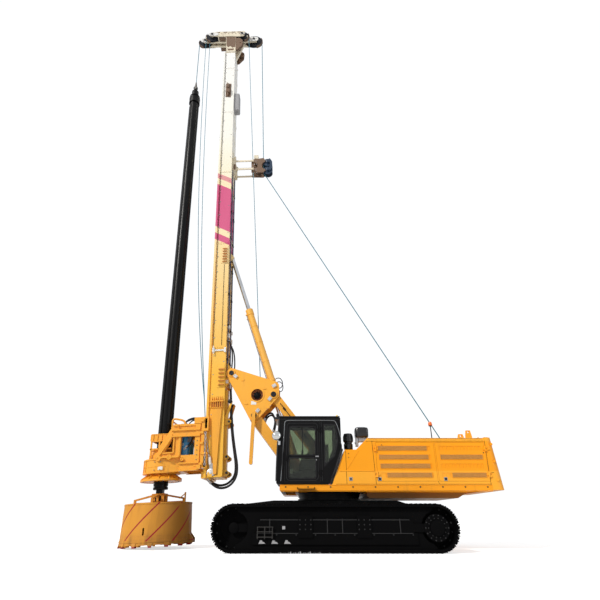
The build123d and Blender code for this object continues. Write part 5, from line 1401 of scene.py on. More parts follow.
class RIG_OT_mast_fittings(bpy.types.Operator):
    """Make the mast's rail bolts, pipes, ribs, brackets, boxes and lugs"""

    bl_idname = "rig.mast_fittings"
    bl_label = "Mast fittings"

    def execute(self, context):
        side = MAST_HALF
        self.bolts(side, sizes().bolt)
        self.ribs(side)
        self.pipes(side)
        self.boxes(side)
        self.foot(side)
        return {"FINISHED"}

    def bolts(self, side, bolt):
        """Bolts along the rails, the straps of the mast's joints and the steps on its rear."""
        head = bolt_head(bolt, 0.014)
        rows = []
        for x, pitch, low, high in (
            (RAIL_REAR + 0.09, sizes().rail_pitch, 2.3, 20.3), (MAST_REAR - 0.06, 1.24, 5.2, 20.2)
        ):
            places = [(x, -side, z) for z in np.arange(low, high, pitch)]
            rows.append(repeated(head, places))
            rows.append(mirrored(rows[-1]))
        on_mast("mast_bolts", rows, "grey_paint", smooth=25)
        plates = []
        for z in (5.62, 9.66, 13.05, 16.45, 19.3):
            plates.append(both(block(
                (MAST_FRONT + 0.03, MAST_REAR - 0.02), (-side - 0.012, -side + 0.002), (z, z + 0.1)
            )))
            places = [
                (x, -side - 0.012, z + 0.05) for x in np.linspace(MAST_FRONT + 0.08, MAST_REAR - 0.07, 5)
            ]
            plates.append(both(repeated(head, places)))
            plates.append(block((MAST_REAR - 0.004, MAST_REAR + 0.018), (-side, side), (z, z + 0.1)))
        on_mast("mast_joint_straps", plates, "mast_paint")
        back = []
        for z in np.arange(6.2, 20.3, 0.9):
            back.append(block((MAST_REAR - 0.002, MAST_REAR + 0.022), (-0.3, 0.3), (z, z + 0.045)))
        on_mast("mast_rear_steps", back, "mast_paint")

    def ribs(self, side):
        """Two stacks of wedge ribs on each side, and the pale clamp between them."""
        shapes = [
            ribs_on((-3.39, -3.23), 8.89, 6, 0.108, -side, 0.075),
            ribs_on((-3.38, -3.2), 4.43, 5, 0.125, -side, 0.075),
        ]
        on_mast("mast_ribs", [both(shape) for shape in shapes], "wedge_paint", smooth=20)
        pads = [
            block((-3.43, -3.19), (-side - 0.014, -side), (8.84, 9.58)),
            block((-3.42, -3.19), (-side - 0.014, -side), (4.36, 5.1)),
        ]
        on_mast("mast_rib_pads", [both(pad) for pad in pads], "mast_paint")
        clamp = [
            block((-3.585, -3.165), (-side - 0.035, -side), (5.55, 5.6)),
            block((-3.6, -3.53), (-side - 0.055, -side), (5.5, 5.66)),
            block((-3.23, -3.165), (-side - 0.055, -side), (5.5, 5.66)),
            rod((-3.565, -side - 0.06, 5.44), (-3.565, -side - 0.06, 5.72), 0.014),
        ]
        on_mast("mast_clamp", [both(join(clamp))], "white_paint", slot="mast_paint")

    def pipes(self, side):
        """Pipes, valves and two hoses on the mast's rear, and cables on its side."""
        lines, clips = [], []
        for number, y in enumerate((-0.2, -0.245, 0.2, 0.245, -0.335, 0.335)):
            x = MAST_REAR + 0.03
            line = [
                (x, y, 4.62 + number * 0.02), (x, y, 5.0), (x, y, 8.0), (x, y, 12.2 + (number % 3) * 1.1)
            ]
            lines.append(pipe(line, 0.013))
        for z in np.arange(5.3, 12.4, 1.18):
            clips.append(both(block((MAST_REAR, MAST_REAR + 0.052), (-0.355, -0.18), (z, z + 0.05))))
        on_mast("mast_pipes", lines, "pipe_blue")
        for number, y in enumerate((-0.285, 0.285)):
            loop = [(MAST_REAR + 0.02, y, 5.98), (-3.075, y, 5.95), (-2.99, y, 5.6), (-2.985, y, 5.1),
                    (-3.06, y, 4.74), (MAST_REAR + 0.02, y, 4.7)]
            free_hose(f"mast_hose_{number}", loop, 0.044, "mast", lean=True)
        valves = []
        for low, high in ((6.06, 6.2), (6.4, 6.5), (4.52, 4.64)):
            valves.append(both(block(
                (MAST_REAR - 0.002, MAST_REAR + 0.085), (-0.335, -0.235), (low, high), 0.008
            )))
            valves.append(both(rod(
                (MAST_REAR + 0.04, -0.285, high), (MAST_REAR + 0.04, -0.285, high + 0.04), 0.018
            )))
        on_mast("mast_valves", valves, "white_paint")
        on_mast("mast_pipe_clips", clips, "black_plastic", slot="hose_rubber")
        cables = [
            carried(circle(0.007, 6), [(MAST_FRONT + 0.012, -side - 0.008, z) for z in (5.7, 20.4)]),
            carried(circle(0.006, 6), [(MAST_REAR - 0.15, -side - 0.01, z) for z in (5.75, 8.8)]),
        ]
        on_mast("mast_cable", cables, "hose_rubber")
        cable_clips = []
        for z in np.arange(6.0, 20.3, 0.55):
            cable_clips.append(block(
                (MAST_FRONT + 0.001, MAST_FRONT + 0.03), (-side - 0.02, -side + 0.002), (z, z + 0.022),
                0.002,
            ))
        on_mast("mast_cable_clips", cable_clips, "grey_paint")

    def boxes(self, side):
        """The grey box, the device on the near side and the brackets with rollers below the cathead."""
        box = [
            block((MAST_REAR - 0.002, MAST_REAR + 0.235), (-0.395, -0.08), (16.7, 17.73), 0.014),
            block((MAST_REAR + 0.235, MAST_REAR + 0.25), (-0.37, -0.105), (16.76, 17.66), 0.006),
            block((MAST_REAR + 0.05, MAST_REAR + 0.19), (-0.402, -0.393), (16.8, 17.62), 0.005),
            rod((MAST_REAR + 0.12, -0.25, 16.6), (MAST_REAR + 0.12, -0.25, 16.72), 0.022),
        ]
        on_mast("mast_box", box, "grey_paint")
        y = -side
        device = [
            block((-3.53, -3.3), (y - 0.028, y), (17.42, 18.26), 0.006),
            block((-3.5, -3.34), (y - 0.12, y - 0.028), (17.62, 17.86), 0.01),
            block((-3.49, -3.38), (y - 0.1, y - 0.028), (17.98, 18.2), 0.01),
            turned([
                (0.055, 0), (0.055, 0.1), (0.04, 0.11), (0.04, 0.14)
            ], (-3.42, y - 0.028, 17.92), NEARWARD, 18),
            rod((-3.42, y - 0.07, 17.46), (-3.42, y - 0.07, 17.64), 0.03),
            rod((-3.47, y - 0.06, 18.18), (-3.47, y - 0.06, 18.3), 0.018),
        ]
        on_mast("mast_device", device, "shade_paint")
        bracket = [
            both(slab([
                (MAST_REAR - 0.02, 20.8), (MAST_REAR + 0.1, 20.84), (MAST_REAR + 0.32, 21.16),
                (MAST_REAR + 0.34, 21.52), (MAST_REAR + 0.2, 21.7), (MAST_REAR - 0.02, 21.7),
            ], -0.395, -0.345, 0.006)),
            both(rod((MAST_REAR + 0.22, -0.41, 21.36), (MAST_REAR + 0.22, -0.1, 21.36), 0.045)),
            both(turned([
                (0.05, -0.05), (0.13, -0.05), (0.115, 0), (0.13, 0.05), (0.05, 0.05)
            ], (MAST_REAR + 0.22, -0.26, 21.36), ALONG_Y, 26)),
            both(turned([
                (0.05, -0.03), (0.09, -0.03), (0.09, 0.03), (0.05, 0.03)
            ], (MAST_REAR + 0.1, -0.3, 20.98), ALONG_Y, 20)),
            both(rod((MAST_REAR + 0.1, -0.4, 20.98), (MAST_REAR + 0.1, -0.22, 20.98), 0.03)),
        ]
        on_mast("mast_top_bracket", bracket, "shade_paint")

    def foot(self, side):
        """The tapered box on the mast's foot, with its ribbed flange, and the lugs down the rear."""
        y = -side
        wedge = [
            (-3.545, 3.73), (-3.235, 3.73), (-3.285, 2.95), (-3.335, 1.86), (-3.425, 1.86), (-3.5, 2.95)
        ]
        shapes = [
            slab(wedge, y - 0.052, y + 0.004, 0.006),
            block((-3.6, -3.19), (y - 0.1, y), (3.905, 3.945), 0.005),
            block((-3.59, -3.2), (y - 0.075, y), (3.72, 3.75)),
        ]
        for x in np.linspace(-3.56, -3.235, 6):
            shapes.append(block((x - 0.01, x + 0.01), (y - 0.088, y), (3.73, 3.93), 0.003))
            shapes.append(side_bar([(3.94, 0), (3.94, 0.075), (4.1, 0)], (x - 0.009, x + 0.009), y))
        on_mast("foot_box", [both(join(shapes))], "carriage_paint", slot="mast_paint")
        on_mast(
            "foot_box_shade", [both(block((-3.58, -3.21), (y - 0.02, y - 0.001), (3.75, 3.905), 0.003))],
            "wedge_paint",
        )
        lugs, pins = [], []
        for x, z, wall in ((-3.035, 3.344, -3.171), (-3.085, 2.339, -3.185), (-3.075, 1.9, -3.2)):
            for low, high in ((-0.33, -0.3), (-0.22, -0.19), (0.19, 0.22), (0.3, 0.33)):
                outline = [
                    (wall - 0.1, z - 0.13), (x, z - 0.075), (x + 0.06, z - 0.03), (x + 0.06, z + 0.03),
                    (x, z + 0.075), (wall - 0.1, z + 0.13),
                ]
                lugs.append(slab(outline, low, high, 0.005))
            pins.append(both(rod((x, -0.36, z), (x, -0.16, z), 0.034)))
        on_mast("foot_lugs", lugs, "mast_paint")
        on_mast("foot_lug_pins", pins, "pin_steel")
        brace = [(-2.985, 4.02), (-2.94, 3.95), (-3.1, 3.4), (-3.17, 3.42), (-3.17, 3.5), (-3.115, 3.62)]
        eye = turned([
            (0.07, 0), (0.07, 0.012), (0.04, 0.02), (0.038, 0.05), (0.01, 0.055)
        ], (-3.02, -0.345, 3.951), NEARWARD)
        on_mast("foot_brace", [both(slab(brace, -0.345, -0.3, 0.005))], "mast_paint")
        on_mast("foot_brace_pin", [both(eye)], "pin_steel")
        low = [
            block((-3.59, -3.45), (y - 0.045, y), (1.79, 1.93), 0.006),
            block((-3.6, -3.18), (y - 0.02, y), (1.785, 1.83), 0.005),
            block((-3.56, -3.5), (-0.44, 0.44), (1.735, 1.785), 0.006),
        ]
        on_mast("foot_shoe", low, "mast_paint")


class RIG_OT_cathead_fittings(bpy.types.Operator):
    """Make the cathead's side plates, guards, pins and bolts, its plates of painted shade, and the rope
    guide's plates
    """

    bl_idname = "rig.cathead_fittings"
    bl_label = "Cathead and rope guide"

    def execute(self, context):
        self.cathead()
        self.guide()
        return {"FINISHED"}

    def cathead(self):
        """Covers, pins, guards and bolts round each sheave, thin plates of painted shade on the beams, and
        the cathead's trim.
        """
        front_main = (KELLY_X + FRONT_SHEAVE, FRONT_SHEAVE)
        rear_main = (ROPE_FALL_X - REAR_SHEAVE, REAR_SHEAVE)
        front_thin = (THIN_FRONT_X + THIN_SHEAVE, THIN_SHEAVE)
        rear_thin = (THIN_REAR_X - THIN_SHEAVE, THIN_SHEAVE)
        white, brown, pins, bolts = [], [], [], []
        for (x, radius), y, reach, half in (
            (front_main, 0.15, 0.4, 0.15), (rear_main, 0.15, -0.42, 0.17),
            (front_thin, 0.44, 0.2, 0.12), (rear_thin, 0.44, -0.02, 0.08),
        ):
            start = x - math.copysign(0.06, reach)
            cover = oblong((min(start, x + reach), SHEAVE_Z), (max(start, x + reach), SHEAVE_Z), half)
            white.append(slab(cover, -y - 0.02, -y - 0.001))
            if y < 0.4:
                white.append(mirrored(white[-1]))
            pins.append(turned([
                (0.06, 0), (0.06, 0.03), (0.05, 0.038), (0.02, 0.038)
            ], (x, -y - 0.018, SHEAVE_Z), NEARWARD, 20))
            for turn in np.arange(5) * 2 * PI / 5 + 0.3:
                bolts.append((
                    x + radius * 0.32 * math.cos(turn), -y - 0.02,
                    SHEAVE_Z - 0.03 + radius * 0.32 * math.sin(turn),
                ))
            sweep = np.linspace(-0.45, 1.1, 9) if x < -3.5 else np.linspace(2.0, 3.6, 9)
            middle = 0 if y < 0.4 else THIN_ROPE_Y
            inner = radius + 0.012
            outer = radius + 0.036
            corners = ((inner, 0.05), (inner, -0.05), (outer, -0.026), (outer, 0.026))
            for turn in sweep + PI:
                brown.append(slab(
                    turned_outline((x, SHEAVE_Z), turn, corners), middle - 0.06, middle + 0.06
                ))
        # Thin brown plates on the beams' faces and under them: painted shade where the beams are out of the
        # light
        beam = [
            (-4.62, 21.9), (-4.62, 22.02), (-4.1, 22.2), (-3.6, 22.27), (-3.17, 22.27), (-2.7, 22.16),
            (-2.4, 22.0), (-2.4, 21.9), (-2.75, 21.97), (-3.17, 22.05), (-3.6, 22.05), (-4.1, 21.97),
        ]
        brown.append(both(slab(beam, -0.153, -0.1495, 0.001)))
        for x, z in ((-4.2, 21.88), (-3.9, 21.92), (-3.02, 21.92), (-2.72, 21.88)):
            brown.append(rod((x, -0.15, z), (x, 0.15, z), 0.035))
            bolts.append((x, -0.152, z))
        for x in (-4.02, -3.66, -3.26, -2.98):
            brown.append(block((x - 0.11, x + 0.07), (-0.4435, -0.4395), (22.055, 22.115), 0.001))
        brown.append(both(block((-3.99, -3.18), (-0.345, -0.155), (21.8, 21.83))))
        brown.append(both(slab([
            (-4.4, 21.84), (-2.75, 21.84), (-2.8, 21.93), (-4.35, 21.93)
        ], -0.156, -0.1495, 0.001)))
        on_mast("cathead_covers", white, "white_paint", slot="mast_paint")
        on_mast("cathead_guards_shade_plates", brown, "shade_paint")
        on_mast("cathead_pins", pins, "pin_steel")
        places = bolts + [(x, -0.441, 21.98) for x in np.linspace(-4.55, -2.65, 12)]
        on_mast("cathead_bolts", [repeated(bolt_head(0.016, 0.014), places)], "shade_paint")
        ties = [
            block((-3.55, -3.22), (-0.44, 0.44), (22.06, 22.09)),
            rod((-3.5, -0.42, 22.09), (-3.5, 0.42, 22.09), 0.03),
            rod((-3.27, -0.42, 22.09), (-3.27, 0.42, 22.09), 0.03),
            *[
                block((x - 0.02, x + 0.02), (-0.4, -0.15), (21.8, 21.86))
                for x in (-4.62, -4.02, -3.25, -2.62)
            ],
        ]
        on_mast("cathead_ties", ties, "cathead_paint")
        neck = [
            both(slab([
                (MAST_FRONT + 0.05, 20.62), (MAST_REAR - 0.05, 20.62), (MAST_REAR - 0.06, 21.6),
                (MAST_FRONT, 21.6),
            ], -0.404, -0.3995, 0.001)),
            both(slab([
                (MAST_FRONT - 0.02, 20.46), (MAST_REAR + 0.02, 20.46), (MAST_REAR + 0.02, 20.56),
                (MAST_FRONT - 0.02, 20.56),
            ], -MAST_HALF - 0.016, -MAST_HALF + 0.01)),
        ]
        on_mast("cathead_neck_trim", neck, "cathead_paint")
        dark = [
            (-3.63, 21.79), (-3.18, 21.79), (-3.18, 21.02), (-3.3, 20.93), (-3.42, 21.06), (-3.52, 20.98),
            (-3.605, 21.12),
        ]
        patches = [
            both(slab(dark, -0.4055, -0.403, 0.0005)),
            both(slab([
                (-3.56, 20.88), (-3.24, 20.88), (-3.26, 20.76), (-3.52, 20.74)
            ], -0.4055, -0.403, 0.0005)),
        ]
        on_mast("cathead_neck_shade", patches, "shade_paint")
        row = [(x, -MAST_HALF - 0.016, 20.51) for x in np.linspace(MAST_FRONT + 0.02, MAST_REAR - 0.02, 6)]
        on_mast("cathead_neck_bolts", [both(repeated(bolt_head(0.018, 0.016), row))], "grey_paint")

    def guide(self):
        """The rope guide: its bracket and arms, two cheeks with an opening in painted shade, and the guide
        wheels.
        """
        z = GUIDE_Z
        foot = MAST_REAR + 0.13
        frame_x = foot + 0.76
        wheel_x = ROPE_FALL_X + GUIDE_WHEEL
        cream = [
            block((MAST_REAR, MAST_REAR + 0.05), (-0.3, 0.3), (z - 0.33, z + 0.33)),
            both(block((MAST_REAR + 0.045, foot), (-0.3, -0.26), (z - 0.33, z + 0.33))),
            block((frame_x - 0.02, frame_x + 0.16), (-0.15, 0.15), (z + 0.4, z + 0.6), 0.006),
            both(block((foot - 0.06, foot + 0.02), (-0.325, -0.26), (z + 0.2, z + 0.38), 0.006)),
        ]
        for rise in (-GUIDE_RISE, GUIDE_RISE):
            arm = oblong((foot - 0.03, z + rise), (frame_x - 0.06, z + rise), 0.038)
            cream.append(both(slab(arm, -0.24, -0.2)))
            cream.append(rod((foot - 0.03, -0.29, z + rise), (foot - 0.03, 0.29, z + rise), 0.025))
            cream.append(rod((frame_x - 0.06, -0.262, z + rise), (frame_x - 0.06, 0.262, z + rise), 0.03))
        on_mast("rope_guide_arms", cream, "cathead_paint", replaces=("rope_guide",))
        outline = np.array([
            (frame_x - 0.13, z - 0.33), (wheel_x - 0.2, z - 0.36), (wheel_x - 0.08, z - 0.25),
            (wheel_x - 0.23, z - 0.09), (wheel_x - 0.23, z + 0.1), (wheel_x - 0.08, z + 0.25),
            (wheel_x - 0.16, z + 0.41), (frame_x - 0.13, z + 0.33),
        ])
        hole = np.array([
            (frame_x - 0.02, z - 0.12), (frame_x + 0.08, z - 0.12), (frame_x + 0.11, z - 0.09),
            (frame_x + 0.12, z - 0.03), (frame_x + 0.12, z + 0.05), (frame_x + 0.11, z + 0.11),
            (frame_x + 0.08, z + 0.14), (frame_x - 0.02, z + 0.14),
        ])
        # Painted shade: the cheeks, a plate and three pins in the brown of the guide's shadow
        brown = [both(framed(outline, hole, -0.165, -0.125))]
        brown.append(both(block((foot - 0.08, foot + 0.004), (-0.312, -0.298), (z - 0.3, z - 0.02))))
        for x, rise in ((frame_x - 0.08, 0.0), (frame_x + 0.02, -0.27), (frame_x + 0.02, 0.3)):
            brown.append(rod((x, -0.13, z + rise), (x, 0.13, z + rise), 0.035))
        on_mast("rope_guide_cheeks", brown, "shade_paint")
        dark = []
        for rise in (-GUIDE_RISE, GUIDE_RISE):
            for y in (-0.105, -0.052, 0.052, 0.105):
                dark.append(turned([
                    (0.05, -0.006), (0.19, -0.004), (0.19, 0.004), (0.05, 0.006)
                ], (wheel_x, y, z + rise), ALONG_Y, 28))
            dark.append(rod((wheel_x, -0.175, z + rise), (wheel_x, 0.175, z + rise), 0.035))
            dark.append(both(turned([
                (0.062, 0), (0.062, 0.02), (0.05, 0.028), (0.02, 0.03)
            ], (wheel_x, -0.17, z + rise), NEARWARD, 18)))
        dark.append(both(slab([
            (wheel_x - 0.03, z - 0.33), (wheel_x + 0.12, z - 0.24), (wheel_x + 0.19, z - 0.05),
            (wheel_x + 0.19, z + 0.22), (wheel_x + 0.1, z + 0.4), (wheel_x + 0.02, z + 0.36),
            (wheel_x + 0.1, z + 0.1), (wheel_x + 0.06, z - 0.1),
        ], -0.15, -0.128)))
        on_mast("rope_guide_wheels", dark, "guide_blue")
        row = [
            (x, -0.165, z + rise)
            for x in (frame_x - 0.08, frame_x + 0.06)
            for rise in (-0.26, -0.18, 0.2, 0.27)
        ]
        on_mast("guide_bolts", [both(repeated(bolt_head(0.014, 0.012), row))], "bare_steel")


# Carriage, rotary drive, kelly and bucket
def side_sheet(outline, y, thickness, edge=0.003):
    """A plate and its mirror image, standing out from y by its thickness."""
    return both(slab(outline, -y - thickness, -y + 0.002, edge))


def kelly_ring(low, high, outer, inner, edge=0.005, sides=32):
    """A round tube about the kelly's line, between two heights."""
    return sleeve((KELLY_X, 0, low), (KELLY_X, 0, high), outer, inner, edge, sides)


MOTOR_X = -4.33
FLOOR_RIM = 0.905
TOOTH_COUNT = 14


def bucket_radius(z):
    """Radius of the bucket's wall at a height: it narrows by 40 mm over 0.95 m."""
    return 0.955 - 0.04 * (z - 0.25) / 0.95


def bucket_wedge(turn, low, high):
    """A wedge that stands out from the floor's rim, between two (height, reach, half width)."""
    rings = []
    for z, reach, half in (high, low):
        inner = FLOOR_RIM - 0.03
        outer = FLOOR_RIM + reach
        corners = ((inner, -half), (outer, -half), (outer, half), (inner, half))
        rings.append(across_plane(turned_outline((KELLY_X, 0), turn, corners), z, "z"))
    return skin(rings)


class RIG_OT_carriage(bpy.types.Operator):
    """Make the carriage's ribs, cage, motor fittings, hoses and chain"""

    bl_idname = "rig.carriage"
    bl_label = "Carriage and drive"

    def execute(self, context):
        self.ribs()
        self.cage()
        self.motors()
        self.gear_case()
        return {"FINISHED"}

    def ribs(self):
        """Beams, flanges, bosses, shoes and bolts on the carriage's side frames."""
        y = 0.5
        # (x bounds, z bounds, how far it stands out) of the beams and flanges on each side frame
        beams = (
            ((-4.66, -3.86), (2.94, 3.13), 0.02), ((-4.68, -3.84), (3.1, 3.145), 0.075),
            ((-4.68, -3.84), (2.925, 2.965), 0.075), ((-4.4, -3.86), (2.0, 2.2), 0.02),
            ((-4.42, -3.84), (2.175, 2.215), 0.075), ((-4.42, -3.84), (1.985, 2.025), 0.075),
            ((-3.99, -3.84), (2.09, 3.28), 0.032), ((-4.47, -4.4), (2.4, 2.94), 0.035),
            ((-4.64, -3.84), (3.235, 3.295), 0.03), ((-5.05, -4.42), (2.355, 2.4), 0.06),
            ((-4.03, -3.8), (3.29, 3.47), 0.05), ((-3.9, -3.78), (2.02, 2.12), 0.1),
            ((-3.8, -3.6), (2.4, 2.46), 0.085), ((-3.8, -3.6), (3.06, 3.12), 0.085),
        )
        shapes = [both(block(x, (-y - reach, -y + 0.002), z, 0.005)) for x, z, reach in beams]
        shapes.append(side_sheet([(-5.07, 2.42), (-4.99, 2.4), (-4.64, 2.93), (-4.66, 3.02)], y, 0.05))
        shapes.append(side_sheet([(-4.9, 2.475), (-4.58, 2.475), (-4.58, 2.51), (-4.9, 2.51)], y, 0.045))
        shapes.append(side_sheet([
            (-4.615, 2.51), (-4.575, 2.51), (-4.575, 2.93), (-4.615, 2.93)
        ], y, 0.045))
        for z in (2.15, 2.72, 3.02, 3.36):
            shapes.append(both(block((-3.83, -3.735), (-0.6, -0.558), (z - 0.035, z + 0.035), 0.005)))
        on_carriage("carriage_ribs", shapes, "carriage_paint")
        bosses = []
        for x, z, radius in (
            (-5.0, 2.35, 0.075), (-4.7, 2.38, 0.075), (-4.32, 2.3, 0.05), (-4.5, 3.245, 0.035)
        ):
            bosses.append(both(turned([
                (radius, 0), (radius, 0.055), (radius - 0.01, 0.065), (radius * 0.5, 0.065),
                (radius * 0.4, 0.05),
            ], (x, -y, z), NEARWARD)))
        on_carriage("carriage_bosses", bosses, "carriage_paint")
        rail_pads = [
            both(block((-3.715, -3.64), (-0.56, -0.478), (z, z + 0.3), 0.006)) for z in (2.06, 3.13)
        ]
        on_carriage("carriage_shoes", rail_pads, "cast_steel")
        row = [(-3.92, -y - 0.032, z) for z in np.arange(2.28, 2.9, 0.13)]
        on_carriage("carriage_bolts", [both(repeated(bolt_head(0.013, 0.013), row))], "cast_steel")
        plate = slab([(-5.0, 2.05), (-4.86, 2.05), (-4.86, 2.14), (-5.0, 2.14)], -0.52, -0.514, 0.002)
        on_carriage("carriage_plate", [plate], "white_paint")

    def cage(self):
        """The bars over the drive and the guide frame round the kelly."""
        bars = []
        for y in (-0.44, 0.44):
            path = [
                (-4.7, y, 3.05), (-4.7, y, 3.3), (-4.7, y, 3.47), (-4.6, y, 3.47), (-4.42, y, 3.43),
                (-4.33, y, 3.38), (-4.31, y, 3.28),
            ]
            bars.append(pipe(path, 0.028, 8, 5))
        for x, z in ((-4.7, 3.4), (-4.42, 3.425)):
            bars.append(rod((x, -0.44, z), (x, 0.44, z), 0.022))
        ring = kelly_ring(2.485, 2.6, 0.345, 0.275, 0.006, 36)
        guard = kelly_ring(2.6, 2.64, 0.375, 0.3, 0.005, 36)
        on_carriage("carriage_cage", bars, "carriage_paint")
        on_carriage("kelly_guide_ring", [ring, guard], "carriage_paint")
        frames = [
            both(block((-5.3, -4.68), (-0.4, -0.375), (2.87, 3.05), 0.005)),
            block((-5.325, -5.3), (-0.4, 0.4), (2.87, 3.05), 0.005),
            both(block((-5.3, -4.68), (-0.415, -0.36), (2.845, 2.875))),
            both(block((-5.3, -4.68), (-0.415, -0.36), (3.04, 3.065))),
            both(block((-5.32, -4.7), (-0.4, -0.36), (2.62, 2.66))),
        ]
        for x in (-5.285, -5.05, -4.86):
            frames.append(both(block((x - 0.022, x + 0.022), (-0.4, -0.36), (2.38, 2.87))))
        for x in np.linspace(-5.24, -4.74, 5):
            frames.append(both(block((x - 0.008, x + 0.008), (-0.425, -0.398), (2.875, 3.04), 0.002)))
        on_carriage("carriage_front_frame", frames, "carriage_paint")

    def motors(self):
        """Flanges, ports and bolts of the two motors, the hoses round them and the chain."""
        black, steel, blue = [], [], []
        x = MOTOR_X
        for y in (-0.24, 0.24):
            side = math.copysign(1, y)
            for z, radius, height in (
                (2.4, 0.175, 0.035), (2.47, 0.16, 0.02), (2.77, 0.158, 0.025), (3.05, 0.118, 0.02)
            ):
                blue.append(turned([
                    (radius - 0.003, 0), (radius, 0.003), (radius, height - 0.003), (radius - 0.003, height)
                ], (x, y, z), UP, 28))
            bolts = bolt_circle((x, y), 0.166, 10, 2.435, "z")
            steel.append(repeated(bolt_head(0.01, 0.012), bolts, UP))
            blue.append(block((x - 0.1, x + 0.1), (y - 0.1, y + 0.1), (2.66, 2.76), 0.01))
            black.append(block(
                (x + 0.06, x + 0.21), (y + side * 0.02 - 0.06, y + side * 0.02 + 0.06), (2.78, 2.93), 0.008
            ))
            for number in range(3):
                z = 2.6 + number * 0.13
                port = x + 0.02 - number * 0.05
                black.append(rod((port, y + side * 0.1, z), (port, y + side * 0.17, z), 0.024))
                steel.append(sleeve((port, y + side * 0.155, z), (port, y + side * 0.185, z), 0.032, 0.023))
        on_carriage("motor_flanges", blue, "motor_paint")
        on_carriage("motor_ports", black, "fitting_grey")
        on_carriage("motor_bolts", steel, "bare_steel", smooth=25)
        for number, y in enumerate((-0.355, -0.325, 0.36)):
            lift = 0.05 * number
            free_hose(
                f"motor_hose_{number}",
                [
                    (-4.31 + 0.03 * number, math.copysign(0.38, y), 2.62 + lift), (-4.2, y, 2.66 + lift),
                    (-4.1, y, 2.85 + lift), (-4.1, y, 3.02), (-4.02, y, 3.1), (-3.91, y, 3.06),
                    (-3.815, y, 3.0),
                ], 0.032, "carriage", lean=True,
            )
        for number, y in enumerate((-0.3, -0.26, -0.2, 0.24)):
            top = 3.4 + 0.035 * number
            free_hose(
                f"carriage_hose_{number}",
                [
                    (-4.38, y, 3.05), (-4.43, y, 3.18), (-4.38, y, top - 0.02), (-4.15, y, top + 0.07),
                    (-3.98, y, top + 0.04), (-3.84, y, 3.42), (-3.8, y, 3.36),
                ], 0.036, "carriage", lean=True,
            )
        links = chain((-3.68, -0.588, 2.98), (-3.66, -0.588, 2.16), 0.062, 0.0085)
        eyes = [
            hoop((-3.68, -0.588, 3.0), ALONG_Y, 0.03, 0.01, 16, 6),
            hoop((-3.66, -0.588, 2.14), ALONG_Y, 0.03, 0.01, 16, 6),
        ]
        on_carriage("carriage_chain", [links, *eyes], "chain_steel")

    def gear_case(self):
        """Rims, ribs and bolts of the gear case and of the flange under it."""
        bolts = bolt_circle((KELLY_X, 0), 0.462, 28, 2.36, "z")
        bolts = bolts[bolts[:, 0] < -4.7]
        rims = [
            kelly_ring(2.318, 2.352, 0.536, 0.512, 0.004, 56),
            kelly_ring(1.965, 2.005, 0.536, 0.512, 0.004, 56),
            kelly_ring(2.13, 2.15, 0.524, 0.512, 0.004, 56),
        ]
        for turn in np.linspace(0.75 * PI, 1.25 * PI, 7):
            corners = ((0.505, 0.012), (0.505, -0.012), (0.532, -0.012), (0.532, 0.012))
            rims.append(slab(turned_outline((KELLY_X, 0), turn, corners), 2.0, 2.32, 0.003, "z"))
        on_carriage("gear_case_rims", rims, "carriage_paint")
        side_bolts = [(x, -0.53, z) for x in (-4.93, -5.1) for z in (2.05, 2.27)]
        heads = [
            repeated(bolt_head(0.014, 0.014), bolts, UP),
            both(repeated(bolt_head(0.013, 0.013), side_bolts)),
        ]
        on_carriage("gear_case_bolts", heads, "cast_steel", smooth=25)
        flange = bolt_circle((KELLY_X, 0), 0.5, 16, 1.776, "z")
        rings = [kelly_ring(1.768, 1.8, 0.584, 0.56, 0.004, 56),
                 kelly_ring(1.93, 1.955, 0.372, 0.345, 0.004, 40)]
        for turn in np.arange(12) * PI / 6 + 0.14:
            way = np.array([math.cos(turn), math.sin(turn), 0.0])
            side = np.array([-way[1], way[0], 0.0]) * 0.01
            profile = [(0.345, 1.952), (0.42, 1.952), (0.582, 1.845), (0.582, 1.79), (0.345, 1.79)]
            edge = np.array([(KELLY_X, 0, z) + way * reach for reach, z in profile])
            rings.append(skin([edge - side, edge + side]))
        make("flange_rings", rings, "carriage_paint", "drive_sleeve", lean=True)
        make(
            "flange_bolts", [repeated(bolt_head(0.018, 0.016), flange, DOWN)], "bare_steel", "drive_sleeve",
            lean=True,
        )


